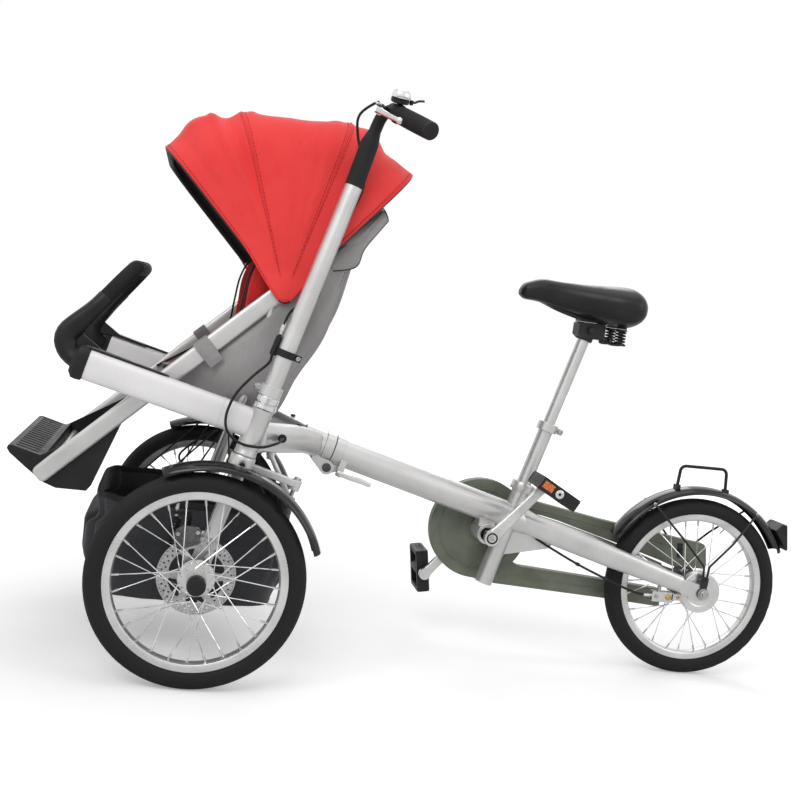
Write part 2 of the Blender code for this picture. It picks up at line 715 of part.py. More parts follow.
def helix(start, radius, wire, turns, height, points_per_turn=6):
    """A coil spring that rises from start; prints the least gap between its turns."""
    count = round(turns * points_per_turn)
    points = []
    for i in range(count + 1):
        a = math.tau * i / points_per_turn
        points.append(start + Vector((radius * math.cos(a), radius * math.sin(a), height * i / count)))
    closest = min((points[i] - points[j]).length for i in range(count) for j in range(i + 1, count + 1)
                  if j - i >= points_per_turn - 1)
    print("spring turns clear each other by %.2f mm" % ((closest - 2 * wire) * 1000))
    return sweep(points, wire, sides=4, up=Z_AXIS)


def caliper():
    """Disc brake caliper over the disc's front edge, with its return spring."""
    disc_y = -TRACK / 2 + HUB_INNER + DISC_T / 2 + GAP
    plate_in = -STEER_Y + DROPOUT_T / 2
    outline = [(-0.040, 0.236), (-0.014, 0.246), (-0.001, 0.251), (-0.001, 0.278), (-0.034, 0.282),
               (-0.048, 0.262)]
    housing = prism(outline, disc_y - 0.0085, -STEER_Y - DROPOUT_T / 2 - 2 * GAP)
    slot = block((-0.060, disc_y - 0.0028, 0.210), (0.020, disc_y + 0.0028, 0.2640))
    piston_y = plate_in + 0.0145
    piston = rod((-0.022, disc_y + 0.0090, 0.264), (-0.022, piston_y, 0.264), 0.0125, 8)
    crank_y = piston_y - 0.004
    arm = [bar((-0.022, crank_y, 0.262), (-0.022, crank_y, 0.2990), 0.007, 0.006, X_AXIS),
           bar((-0.020, crank_y, 0.2960), (-0.050, crank_y, 0.2960), 0.006, 0.007)]
    mount_y = plate_in + GAP + 0.004
    mount = bar((0.001, mount_y, 0.262), (-0.014, mount_y, 0.262), 0.020, 0.008)
    foot = CALIPER_SPRING
    coil = helix(foot + Z_AXIS * 0.006, 0.0075, 0.0015, 3, 0.048)
    core = rod(foot, foot + Z_AXIS * CALIPER_ROD_L, 0.0034, 6)
    seat = rod(foot + Z_AXIS * 0.002, foot + Z_AXIS * 0.0075, 0.0096, 6)
    cap = rod(foot + Z_AXIS * 0.0525, foot + Z_AXIS * 0.060, 0.0096, 6)
    anchor = bar(foot + Z_AXIS * 0.005, (-0.034, disc_y + 0.0075, 0.247), 0.006, 0.010)
    return [housing, piston, *arm, mount, core, seat, cap, coil, anchor], [slot]


CALIPER_ROD_L = 0.072


def brake_cable():
    """From the lever's adjuster, down the post's front through its guide, to the caliper."""
    inner, outer = adjuster_ends()
    run = (outer - inner).normalized()
    tip = outer + run * 3 * GAP
    off = STEER_REAR * CABLE_OFF
    end = CALIPER_SPRING + Z_AXIS * (CALIPER_ROD_L + GAP)
    route = [tip, tip + run * 0.010, Vector((0.182, -0.2560, 1.0350)), Vector((0.179, -0.2620, 1.0000)),
             steer_point(0.925) - STEER_REAR * 0.0235, steer_point(0.75) - off,
             steer_point(0.65) - off, steer_point(0.61) - off, steer_point(0.582) - off,
             Vector((0.062, -0.2600, 0.553)), Vector((0.034, -0.2430, 0.510)),
             Vector((-0.002, -0.2400, 0.452)), Vector((-0.030, -0.2450, 0.380)), end + Z_AXIS * 0.020, end]
    return sweep(smooth(route, 2), CABLE_R, sides=5, up=X_AXIS)


RAIL_DIR = (RAIL_FRONT - RAIL_REAR).normalized()
RAIL_UP = (Z_AXIS - RAIL_DIR * RAIL_DIR.z).normalized()
RAIL_FLAT = math.cos(math.radians(15)) ** (2 / 3)
RAIL_INNER = STEER_Y - RAIL_W / 2


def fold_point(along, above, y=0.0):
    """A point given along and above the main tube's direction from the fold pin."""
    point = FOLD_PIN + MAIN_DIR * along + MAIN_UP * above
    return Vector((point.x, y, point.z))


def fold_lug(direction, y0, y1, top):
    """A knuckle round the fold pin with a web that rises into its tube."""
    arc = [(BARREL_FOLD_R * math.cos(a), BARREL_FOLD_R * math.sin(a))
           for a in (math.radians(d) for d in range(-110, 91, 25))]
    web = arc + [(-GAP, BARREL_FOLD_R), (-GAP, top), (-0.036, top), (-0.036, 0.006)]
    points = [fold_point(direction * along, above) for along, above in web]
    return prism([(p.x, p.z) for p in points], y0, y1)


def front_side():
    """Left half of the front frame: head tube, lower branch and upper rail."""
    head = rod(steer_point(HEAD_LOW_Z), steer_point(HEAD_TOP_Z), HEAD_R, 12)
    route = [Vector((0.0750, -0.2680, 0.4475)), Vector((0.0900, -0.2350, 0.4445)),
             Vector((0.1200, -0.1700, 0.4370)), Vector((0.1500, -0.1120, 0.4310)),
             Vector((0.1800, -0.0600, 0.4245)), Vector((0.2130, -0.0180, 0.4150))]
    branch = sweep(route, [BRANCH_H / 2] * 4 + [0.0275, 0.0250], [BRANCH_W / 2] * 4 + [0.020, 0.0150], 10,
                   Z_AXIS, power=2.6)
    rail = sweep([RAIL_FRONT, RAIL_REAR - RAIL_DIR * 0.006], RAIL_H / 2, RAIL_W / 2, 12, Z_AXIS, power=3)
    return [head, branch, rail]


def front_frame():
    stub = rod(main_point(0.186), fold_point(-GAP / 2, FOLD_CENTRE_UP), MAIN_R, 12)
    lugs = [fold_lug(1, min(s * LUG_INNER, s * LUG_OUTER), max(s * LUG_INNER, s * LUG_OUTER), 0.030)
            for s in (-1, 1)]
    halves = front_side() + [mirrored(bm, 1) for bm in front_side()]
    over = STEER_AXIS * 0.020
    bores = [rod(steer_point(HEAD_LOW_Z, side) - over, steer_point(HEAD_TOP_Z, side) + over, HEAD_BORE_R, 10)
             for side in (-1, 1)]
    pin_bore = rod(FOLD_PIN - Y_AXIS * 0.05, FOLD_PIN + Y_AXIS * 0.05, FOLD_PIN_R + GAP, 8)
    return [stub, *halves, *lugs], [*bores, pin_bore]


def fold_pin():
    length = Y_AXIS * (LUG_OUTER + 0.0020)
    heads = []
    for side in (-1, 1):
        inner = FOLD_PIN + Y_AXIS * side * (LUG_OUTER + GAP)
        heads.append(rod(inner, inner + Y_AXIS * side * 0.0040, 0.0085, 8))
    return [rod(FOLD_PIN - length, FOLD_PIN + length, FOLD_PIN_R, 8), *heads]


SIDE_DIR = (SIDE_TOP - SIDE_LOW).normalized()
CROSS_C = Vector((0.036, 0, 0.468))
CROSS_B = Vector((-0.130, 0, 0.482))
CANOPY_CORNER = 0.085
CANOPY_FOOT = 0.034
BOW_START = 0.066
BOW_IN = PANEL_T + GAP + BOW_R
EYE_T = 0.0009
EYE_ORDER = ("third", "second", "front")
EYE_STACK = len(EYE_ORDER) * (EYE_T + GAP)
EYE_R, EYE_WIDTH = 0.0105, 0.006


def canopy_out(angle):
    return Vector((math.cos(angle), 0, math.sin(angle)))


def canopy_points(angle, radius, half, corner, foot, steps=3):
    """A hood's section at one angle, from its left foot over the top to the right one."""
    left = [(-half, foot), (-half, (foot + radius - corner) / 2)]
    for i in range(steps + 1):
        a = math.pi / 2 * i / steps
        left.append((-half + corner * (1 - math.cos(a)), radius - corner * (1 - math.sin(a))))
    section = left + [(-y, r) for y, r in reversed(left)]
    return [CANOPY_PIVOT + canopy_out(angle) * r + Y_AXIS * y for y, r in section]


def canopy_bow(name, radius):
    angle = math.radians(BOW_ANGLES[name])
    path = canopy_points(angle, radius - BOW_IN, CANOPY_HALF - BOW_IN, CANOPY_CORNER - BOW_IN, BOW_START)
    return sweep(path, BOW_R, sides=5, up=Vector((-math.sin(angle), 0, math.cos(angle))))


def canopy_eye(name, side):
    """Thin plate that carries a bow on the canopy's pivot, in its own layer of the stack."""
    out = canopy_out(math.radians(BOW_ANGLES[name]))
    layer = GAP + EYE_ORDER.index(name) * (EYE_T + GAP) + EYE_T / 2
    at = CANOPY_PIVOT + Y_AXIS * side * (SIDE_Y + SIDE_T / 2 + layer)
    loop = tube_ring(at, Y_AXIS, 0.0066, EYE_R, EYE_T, 8)
    return [loop, bar(at + out * (EYE_R - 0.0017), at + out * (BOW_START + 0.006), EYE_T, EYE_WIDTH, Y_AXIS)]


def canopy_panel(first, last, radii, bulge=0.0, spans=4):
    """A thin sheet between two bows."""
    edge = GAP / CANOPY_R
    a0, a1 = math.radians(BOW_ANGLES[first]) - edge, math.radians(BOW_ANGLES[last]) + edge
    rings = []
    for i in range(spans + 1):
        t = i / spans
        angle = a0 + (a1 - a0) * t
        radius = radii[0] + (radii[1] - radii[0]) * t + bulge * math.sin(math.pi * t)
        outer = canopy_points(angle, radius, CANOPY_HALF, CANOPY_CORNER, CANOPY_FOOT)
        inner = canopy_points(angle, radius - PANEL_T, CANOPY_HALF - PANEL_T, CANOPY_CORNER - PANEL_T,
                              CANOPY_FOOT)
        rings.append(outer + inner[::-1])
    return mesh_from(rings)


def seat_frame_side():
    """Left side of the seat frame: side tube with its pivot boss, strut and spacer."""
    lean = Y_AXIS * -SIDE_Y
    outer = -SIDE_Y - SIDE_T / 2
    tube = sweep([SIDE_LOW + lean, SIDE_TOP + lean], SIDE_W / 2, SIDE_T / 2, 12, Z_AXIS, power=4)
    disc = rod(CANOPY_PIVOT + Y_AXIS * outer, CANOPY_PIVOT + Y_AXIS * (outer + SIDE_T), 0.0155, 10)
    pivot = rod(CANOPY_PIVOT + Y_AXIS * (outer + 0.002), CANOPY_PIVOT + Y_AXIS * (outer - EYE_STACK - 2 * GAP),
                0.006, 8)
    strut = sweep([SIDE_TOP + lean - SIDE_DIR * 0.012, Vector((0.072, -0.2200, 0.600)),
                   CROSS_C - Y_AXIS * 0.217], 0.0075, sides=6)
    at = RAIL_REAR + RAIL_DIR * 0.1711
    spacer = rod((at.x, -SIDE_Y, at.z), (at.x, -RAIL_INNER + GAP, at.z), 0.012, 6)
    return [tube, disc, pivot, strut, spacer]


def seat_frame():
    reach = Y_AXIS * (RAIL_INNER - GAP)
    low = SIDE_Y - 0.004
    cross = [rod(CROSS_C - reach, CROSS_C + reach, STRUT_R, 6),
             rod(CROSS_B - Y_AXIS * low, CROSS_B + Y_AXIS * low, STRUT_R, 6)]
    hangers = [bar(CROSS_B + Y_AXIS * s * low, Vector((-0.108, s * low, 0.512)), 0.014, 0.006)
               for s in (-1, 1)]
    toe = SIDE_LOW + SIDE_DIR * TOE_UP
    route = [CROSS_C - Y_AXIS * 0.200, Vector((0.075, -0.200, 0.4760)), Vector((0.118, -0.200, 0.4775)),
             Vector((0.152, -0.200, 0.530)),
             Vector((0.284, -0.200, 0.874)), Vector((0.284, 0.200, 0.874)), Vector((0.152, 0.200, 0.530)),
             Vector((0.118, 0.200, 0.4775)), Vector((0.075, 0.200, 0.4760)), CROSS_C + Y_AXIS * 0.200]
    hoop = sweep(bent(route, 0.045, 2), 0.0065, sides=6, up=X_AXIS)
    tie = rod(toe - Y_AXIS * SIDE_Y, toe + Y_AXIS * SIDE_Y, TOE_R, 6)
    halves = seat_frame_side() + [mirrored(bm, 1) for bm in seat_frame_side()]
    out = canopy_out(math.radians(BOW_ANGLES["rear"]))
    links = []
    for s in (-1, 1):
        at = CANOPY_PIVOT + Y_AXIS * s * (SIDE_Y + SIDE_T / 2 - 0.004)
        links.append(bar(at + out * 0.006, at + out * (BOW_START + 0.006), 0.007, EYE_WIDTH, Y_AXIS))
    return [*cross, *hangers, hoop, tie, canopy_bow("rear", CANOPY_R), *links, *halves]


TOE_UP = 0.030
TOE_R = 0.007
SHELL_FLOOR = CROSS_C.z + STRUT_R + GAP
SHELL_LOW = [(-0.120, 0.4985), (-0.020, SHELL_FLOOR + 0.001), (0.070, SHELL_FLOOR), (0.112, 0.5060),
             (0.143, 0.5800), (0.183, 0.6800), (0.229, 0.8000), (0.261, 0.8720)]
SHELL_TOP = [(-0.120, 0.5150), (-0.020, 0.5850), (0.050, 0.6550), (0.075, 0.6900),
             (0.100, 0.7200), (0.150, 0.7600), (0.210, 0.8300), (0.258, 0.8760)]
SHELL_HALF = 0.185


def shell_normal(i):
    """Direction from the shell's back surface towards the child."""
    a, b = SHELL_LOW[max(i - 1, 0)], SHELL_LOW[min(i + 1, len(SHELL_LOW) - 1)]
    along = Vector((b[0] - a[0], 0, b[1] - a[1])).normalized()
    return Vector((-along.z, 0, along.x))


def across(points):
    """The same points on the other side of the bike."""
    return [Vector((p.x, -p.y, p.z)) for p in points]


def seat_shell():
    rings = []
    step = Y_AXIS * SHELL_T
    for i, ((bx, bz), (tx, tz)) in enumerate(zip(SHELL_LOW, SHELL_TOP)):
        n = shell_normal(i) * SHELL_T
        corner = Vector((bx, -SHELL_HALF, bz))
        rim = Vector((tx, -SEAT_HALF, tz))
        middle = corner.lerp(rim, 0.5) - Y_AXIS * 0.003
        outer = [rim, middle, corner]
        inner = [rim + step, middle + step, corner + step + n]
        rings.append(outer + across(outer[::-1]) + across(inner) + inner[::-1])
    return mesh_from(rings)


def seat_liner():
    """Crowned cushion that lies along the shell's seat and back."""
    half_t, half_w = 0.012, 0.160
    last = len(SHELL_LOW) - 1
    rings = []
    for i, (x, z) in enumerate(SHELL_LOW):
        n = shell_normal(i)
        end = (2 * i / last - 1) ** 4
        centre = Vector((x, 0, z)) + n * (SHELL_T + 2 * GAP + half_t)
        rings.append(ring(centre, n, Y_AXIS, half_t * (1 - 0.35 * end), half_w - 0.010 * end, 14, 3.2))
    return mesh_from(rings)


def footrest():
    """Moulded foot tray between the side tubes' lower ends."""
    outline = [(-0.316, 0.419), (FRONT_REACH + 0.001, 0.376), (FRONT_REACH, 0.366), (-0.347, 0.356),
               (-0.317, 0.343), (-0.284, 0.319), (-0.209, 0.311), (-0.201, 0.322), (-0.164, 0.428),
               (-0.190, 0.450), (-0.258, 0.403)]
    well = [(-0.322, 0.403), (-0.338, 0.371), (-0.305, 0.348), (-0.281, 0.331), (-0.219, 0.322),
            (-0.180, 0.440), (-0.205, 0.475), (-0.300, 0.475)]
    half = SIDE_Y - SIDE_T / 2 - GAP
    toe = SIDE_LOW + SIDE_DIR * TOE_UP
    groove = rod(toe - Y_AXIS * 0.23, toe + Y_AXIS * 0.23, TOE_R + 2 * GAP, 12)
    return [prism(outline, -half, half)], [prism(well, -half + 0.004, half - 0.004), groove]


def bumper_bar():
    """Padded bar across the seat's front, with an end cap and tongue on each rail."""
    foot = RAIL_FRONT + RAIL_DIR * 0.016 + Y_AXIS * 0.010
    left = [foot, Vector((-0.262, -BUMPER_Y, 0.556)), Vector((-0.272, -BUMPER_Y, 0.585)),
            Vector((-0.235, -BUMPER_Y, 0.640)), Vector((-0.145, -0.235, 0.724))]
    path = bent(left + across(left[::-1]), 0.055, 2)
    foot_count = 4
    radii = [BUMPER_R] * len(path)
    radii[:foot_count] = radii[-foot_count:] = [BUMPER_R + 0.0025] * foot_count
    parts = [sweep(path, radii, radii, 8, X_AXIS)]
    flat = RAIL_FLAT * RAIL_H / 2 + GAP
    for side in (-1, 1):
        end = Vector((RAIL_FRONT.x, side * STEER_Y, RAIL_FRONT.z))
        parts.append(bar(end + RAIL_DIR * GAP, end + RAIL_DIR * 0.026, RAIL_H + 0.007, 0.034))
        top = end + RAIL_UP * (flat + 0.002) - Y_AXIS * side * 0.002
        parts.append(bar(top + RAIL_DIR * 0.012, top - RAIL_DIR * 0.135, 0.004, 0.018))
    return parts


def storage_bag():
    """Open bag slung under the seat from the frame's crossbars."""
    wall = 0.003
    outline = [(-0.215, 0.290), (-0.205, 0.150), (-0.180, 0.112), (0.150, 0.100), (0.176, 0.135),
               (0.180, 0.330), (-0.130, 0.330)]
    inside = [(-0.211, 0.340), (-0.201, 0.152), (-0.177, 0.115), (0.148, 0.104), (0.172, 0.136),
              (0.176, 0.340)]
    straps = []
    for cross in (CROSS_B, CROSS_C):
        for side in (-1, 1):
            near, far = sorted((side * BAG_HALF, side * (BAG_HALF - wall)))
            straps.append(block((cross.x - 0.010, near, 0.300),
                                (cross.x + 0.010, far, cross.z - STRUT_R - GAP)))
    inner = prism(inside, -BAG_HALF + wall, BAG_HALF - wall)
    return [prism(outline, -BAG_HALF, BAG_HALF), *straps], [inner]


STAY_ROUTE = [(0.640, 0.0080), (0.700, 0.0188), (0.750, 0.0273), (0.860, 0.0460), (0.950, 0.0555),
              (1.013, 0.0610)]
DROPOUT_R = 0.0165
AXLE_BORE_R = AXLE_R + 0.0005


def stay_point(x, side=-1, above=0.0):
    """A point of a chainstay's centreline at distance x."""
    for (x0, y0), (x1, y1) in zip(STAY_ROUTE, STAY_ROUTE[1:]):
        if x <= x1:
            break
    y = y0 + (y1 - y0) * (x - x0) / (x1 - x0)
    centre = main_point(x)
    return Vector((x, side * y, centre.z + above))


def stay(side):
    route = [stay_point(x, side) for x, _ in STAY_ROUTE]
    heights = [0.0200, 0.0215, 0.0232, 0.0225, 0.0198, 0.0175]
    widths = [0.0120, 0.0145, 0.0148, 0.0140, 0.0132, 0.0115]
    return sweep(route, heights, widths, 10, Z_AXIS, power=2.8)


def dropout(side):
    """End plate of a chainstay, round at the axle."""
    arc = [(REAR_AXLE.x + DROPOUT_R * math.cos(a), REAR_AXLE.z + DROPOUT_R * math.sin(a))
           for a in (math.radians(d) for d in range(-90, 91, 30))]
    outline = arc + [(1.018, 0.2195), (0.992, 0.2230), (0.985, 0.2100), (0.992, 0.1985), (1.018, 0.1880)]
    return prism(outline, side * DROPOUT_Y - DROPOUT_HALF, side * DROPOUT_Y + DROPOUT_HALF)


def rear_frame():
    """Main tube, chainstays, seat tube, bottom bracket shell, dropouts and the fold's rear knuckle."""
    start = fold_point(GAP / 2, FOLD_CENTRE_UP)
    route = [start, main_point(0.560), main_point(0.620), main_point(0.668), main_point(0.700)]
    radii = [MAIN_R, MAIN_R, MAIN_R, 0.0270, 0.0215]
    tube = sweep(route, radii, radii, 14, Z_AXIS)
    knuckle = fold_lug(-1, -LUG_INNER + GAP, LUG_INNER - GAP, 0.028)
    seat_tube = rod(seat_point(SEAT_TUBE_LOW_Z), seat_point(SEAT_TUBE_TOP_Z), SEAT_TUBE_R, 10)
    collar = rod(seat_point(SEAT_TUBE_TOP_Z - 0.006), seat_point(SEAT_TUBE_TOP_Z + 0.012), COLLAR_R, 10)
    ear = bar(seat_point(SEAT_TUBE_TOP_Z + 0.003) + STEER_REAR * 0.020,
              seat_point(SEAT_TUBE_TOP_Z + 0.003) + STEER_REAR * 0.037, 0.014, 0.015, STEER_AXIS)
    bolt = bar(seat_point(SEAT_TUBE_TOP_Z + 0.003) + STEER_REAR * 0.030 - Y_AXIS * 0.013,
               seat_point(SEAT_TUBE_TOP_Z + 0.003) + STEER_REAR * 0.030 + Y_AXIS * 0.013, 0.008, 0.008)
    shell = rod(BB - Y_AXIS * BB_HALF, BB + Y_AXIS * BB_HALF, BB_R, 12)
    case_seat = rod(BB + Y_AXIS * (BB_HALF - 0.004), BB + Y_AXIS * (CASE_NEAR_Y - GAP), CASE_HOLE_R + 0.004, 12)
    web = bar(BB + Z_AXIS * 0.010, main_point(0.588), 0.034, 0.040, X_AXIS)
    gusset = prism([(0.625, 0.280), (0.745, 0.258), (0.733, 0.244), (0.636, 0.222)], -0.002, 0.002)
    latch_ear = bar(fold_point(LATCH_ALONG, 0.030, -0.0235), fold_point(LATCH_ALONG, -0.008, -0.0235),
                    0.014, 0.006, MAIN_DIR)
    parts = [tube, knuckle, seat_tube, collar, ear, bolt, shell, case_seat, web, gusset, latch_ear]
    for side in (-1, 1):
        parts += [stay(side), dropout(side)]
    low, high = seat_point(SEAT_TUBE_LOW_Z - 0.02), seat_point(SEAT_TUBE_TOP_Z + 0.03)
    seat_bore = rod(low, high, MID_POST_R + 0.0009, 10)
    bb_bore = rod(BB - Y_AXIS * 0.05, BB + Y_AXIS * 0.05, SPINDLE_R + RUNNING, 10)
    turning_r = (FOLD_PIN_R + 2 * GAP) / math.cos(math.pi / 8)
    pin_bore = rod(FOLD_PIN - Y_AXIS * 0.05, FOLD_PIN + Y_AXIS * 0.05, turning_r, 8)
    axle_bore = rod(REAR_AXLE - Y_AXIS * 0.08, REAR_AXLE + Y_AXIS * 0.08, AXLE_BORE_R, 10)
    latch_bore = rod(LATCH_AT - Y_AXIS * 0.03, LATCH_AT + Y_AXIS * 0.03, LATCH_PIN_R + GAP, 8)
    return parts, [seat_bore, bb_bore, pin_bore, axle_bore, latch_bore]


COLLAR_R = 0.0245
LATCH_ALONG = 0.028
LATCH_PIN_R = 0.003
LATCH_AT = fold_point(LATCH_ALONG, -0.002, -0.0235)


def fold_latch():
    """Over-centre lever on the main tube's left side that locks the fold."""
    eye_y = -0.0235 - 0.003 - GAP
    at = Vector((LATCH_AT.x, 0, LATCH_AT.z))
    pin = rod(at + Y_AXIS * (eye_y - 0.004), at + Y_AXIS * (eye_y + 0.0085), LATCH_PIN_R, 8)
    eye = rod(at + Y_AXIS * (eye_y - 0.0050), at + Y_AXIS * eye_y, 0.0070, 12)
    start = fold_point(LATCH_ALONG, -0.002, eye_y - 0.0025)
    lever = sweep([start, fold_point(0.050, -0.0020, eye_y - 0.0028), fold_point(0.072, -0.0005, -0.030),
                   fold_point(0.096, -0.002, -0.029)], [0.0042, 0.0048, 0.0055, 0.0048], 0.0030, 8, MAIN_UP)
    return [eye, pin, lever]


def tangent_loop(centre_a, ra, centre_b, rb, steps=10):
    """Points of a belt round two circles in the x-z plane, counter-clockwise from above a."""
    d = centre_b - centre_a
    heading = math.atan2(d.z, d.x)
    spread = math.asin((ra - rb) / d.length)
    up, down = heading + math.pi / 2 - spread, heading - math.pi / 2 + spread
    loop = []
    for i in range(steps + 1):
        a = up + (down + math.tau - up) * i / steps
        loop.append((centre_a.x + ra * math.cos(a), centre_a.z + ra * math.sin(a)))
    for i in range(steps + 1):
        a = down + (up - down) * i / steps
        loop.append((centre_b.x + rb * math.cos(a), centre_b.z + rb * math.sin(a)))
    return loop


def chain():
    outer = tangent_loop(BB, RING_R + CHAIN_T / 2, REAR_AXLE, COG_R + CHAIN_T / 2, 10)
    inner = tangent_loop(BB, RING_R - CHAIN_T / 2, REAR_AXLE, COG_R - CHAIN_T / 2, 10)
    rings = []
    for (ox, oz), (ix, iz) in zip(outer, inner):
        rings.append([Vector((ox, CHAIN_Y - CHAIN_HALF, oz)), Vector((ox, CHAIN_Y + CHAIN_HALF, oz)),
                      Vector((ix, CHAIN_Y + CHAIN_HALF, iz)), Vector((ix, CHAIN_Y - CHAIN_HALF, iz))])
    return mesh_from(rings, closed=True)


CASE_CENTRE = Vector((0.588, 0, 0.265))


def case_arc(start, end, steps):
    angles = [math.radians(start + (end - start) * i / steps) for i in range(steps + 1)]
    return [(CASE_CENTRE.x + CASE_R * math.cos(a), CASE_CENTRE.z + CASE_R * math.sin(a)) for a in angles]


def inset(outline, wall):
    """A closed outline moved inwards by a wall."""
    count = len(outline)
    area = sum(a[0] * b[1] - b[0] * a[1] for a, b in zip(outline, outline[1:] + outline[:1]))
    turn = math.copysign(1, area)
    points = []
    for i, (x, z) in enumerate(outline):
        before = Vector((x - outline[i - 1][0], z - outline[i - 1][1])).normalized()
        after = Vector((outline[(i + 1) % count][0] - x, outline[(i + 1) % count][1] - z)).normalized()
        n0, n1 = Vector((-before.y, before.x)) * turn, Vector((-after.y, after.x)) * turn
        mid = (n0 + n1).normalized()
        reach = wall / max(mid.dot(n0), 0.5)
        points.append((x + mid.x * reach, z + mid.y * reach))
    return points


def chain_case():
    """Flat cover round the chain: a disc with an upper and a lower arm, open at the rear."""
    outline = case_arc(58, 262, 14)
    outline += [(0.636, 0.150), (0.884, 0.139), (1.018, 0.131), (1.018, 0.1690), (0.878, 0.1795), (0.672, 0.1935)]
    outline += case_arc(-40, 20, 3)
    outline += [(0.720, 0.3065), (0.760, 0.2985), (0.800, 0.2878), (0.900, 0.2620), (1.000, 0.2350),
                (1.035, 0.2240), (1.114, 0.2240), (1.105, 0.2780), (0.858, 0.3100), (0.714, 0.3330)]
    skin = prism(outline, CASE_NEAR_Y, CASE_FAR_Y)
    core = prism(inset(outline, CASE_WALL), CASE_NEAR_Y + CASE_WALL, CASE_FAR_Y - CASE_WALL)
    holes = [rod(BB + Y_AXIS * (CASE_NEAR_Y - 0.01), BB + Y_AXIS * (CASE_FAR_Y + 0.01), CASE_HOLE_R, 12)]
    holes.append(block((0.992, CASE_NEAR_Y + CASE_WALL, 0.215), (1.109, CASE_FAR_Y - CASE_WALL, 0.2420)))
    holes.append(block((1.010, CASE_NEAR_Y + CASE_WALL, 0.135), (1.030, CASE_FAR_Y - CASE_WALL, 0.1640)))
    return [skin], [core, *holes]


def crank_tip(side):
    """Pedal axle's start at the end of a crank arm; the left arm points up and back."""
    sign = 1 if side < 0 else -1
    reach = Vector((math.cos(CRANK_ANGLE), 0, math.sin(CRANK_ANGLE))) * CRANK_L * sign
    return BB + reach + Y_AXIS * side * (CRANK_IN_Y + CRANK_T)


def crank_arm(side):
    middle = Y_AXIS * side * (CRANK_IN_Y + CRANK_T / 2)
    end = crank_tip(side) - Y_AXIS * side * CRANK_T / 2
    arm = sweep([BB + middle, BB.lerp(end, 0.15) + middle * 0.85, end], [0.0135, 0.0120, 0.0095],
                CRANK_T / 2, 8, X_AXIS, power=4)
    boss = rod(BB + middle - Y_AXIS * CRANK_T / 2, BB + middle + Y_AXIS * CRANK_T / 2, 0.0165, 10)
    tip = rod(end - Y_AXIS * CRANK_T / 2, end + Y_AXIS * CRANK_T / 2, 0.0125, 10)
    outward = crank_tip(side)
    axle = rod(outward - Y_AXIS * side * 0.004, outward + Y_AXIS * side * 0.078, PEDAL_AXLE_R, 8)
    return [arm, boss, tip, axle]


PEDAL_AXLE_R = 0.0055
CRANK_LEFT_BORE = 0.0085


def crank_right():
    """Right arm with the spindle, the chainring and its spider."""
    parts = crank_arm(1)
    parts.append(rod(BB - Y_AXIS * (CRANK_IN_Y + 0.008), BB + Y_AXIS * (CRANK_IN_Y + 0.004), SPINDLE_R, 12))
    parts.append(rod(BB + Y_AXIS * (CHAIN_Y - CHAIN_HALF), BB + Y_AXIS * (CRANK_IN_Y + 0.004), 0.0175, 12))
    ring_r = RING_R - CHAIN_T / 2 - CHAIN_CLEAR
    parts.append(tube_ring(BB + Y_AXIS * CHAIN_Y, Y_AXIS, ring_r - 0.012, ring_r, 0.003, 20))
    for i in range(4):
        a = math.tau * i / 4 + 0.3
        out = Vector((math.cos(a), 0, math.sin(a)))
        hub_face = BB + Y_AXIS * CHAIN_Y
        parts.append(bar(hub_face + out * 0.010, hub_face + out * (ring_r - 0.006), 0.003, 0.013, Y_AXIS))
    return parts


def crank_left():
    bore = rod(BB - Y_AXIS * (CRANK_IN_Y - 0.01), BB - Y_AXIS * (CRANK_IN_Y + 0.0083),
               SPINDLE_R + 2 * GAP, 12)
    return crank_arm(-1), [bore]


def pedal(side, pitch):
    """Platform pedal with a barrel round the axle and two slots."""
    centre = crank_tip(side)
    centre = Vector((centre.x, side * PEDAL_Y, centre.z))
    half_l, half_w, half_t = PEDAL_L / 2, PEDAL_W / 2, PEDAL_T / 2
    shell = block((centre.x - half_l, centre.y - half_w, centre.z - half_t),
                  (centre.x + half_l, centre.y + half_w, centre.z + half_t))
    cuts = []
    for s in (-1, 1):
        near, far = sorted((s * 0.0145, s * 0.0350))
        cuts.append(block((centre.x + near, centre.y - half_w + 0.010, centre.z - 0.05),
                          (centre.x + far, centre.y + half_w - 0.010, centre.z + 0.05)))
    tip = crank_tip(side)
    cuts.append(rod(tip - Y_AXIS * side * 0.01, tip + Y_AXIS * side * 0.0800, PEDAL_AXLE_R + RUNNING, 10))
    return ([turned_about(shell, pitch, centre)], [turned_about(c, pitch, centre) for c in cuts])


def seat_post_mid():
    """Telescoping middle post with a clamp collar at its top."""
    low, top = seat_point(MID_POST_LOW_Z), seat_point(MID_POST_TOP_Z)
    tube = rod(low, top, MID_POST_R, 10)
    collar = rod(seat_point(MID_POST_TOP_Z - 0.014), seat_point(MID_POST_TOP_Z + 0.004), 0.0215, 10)
    ear = bar(seat_point(MID_POST_TOP_Z - 0.005) + STEER_REAR * 0.018,
              seat_point(MID_POST_TOP_Z - 0.005) + STEER_REAR * 0.034, 0.013, 0.014, STEER_AXIS)
    bolt = bar(seat_point(MID_POST_TOP_Z - 0.005) + STEER_REAR * 0.028 - Y_AXIS * 0.012,
               seat_point(MID_POST_TOP_Z - 0.005) + STEER_REAR * 0.028 + Y_AXIS * 0.012, 0.007, 0.007)
    bore = rod(low - STEER_AXIS * 0.01, top + STEER_AXIS * 0.03, TOP_POST_R + 0.0008, 10)
    return [tube, collar, ear, bolt], [bore]


SADDLE_SEAT_Z = 0.7280
SPRING_AT = Vector((0.812, 0.030, 0.688))


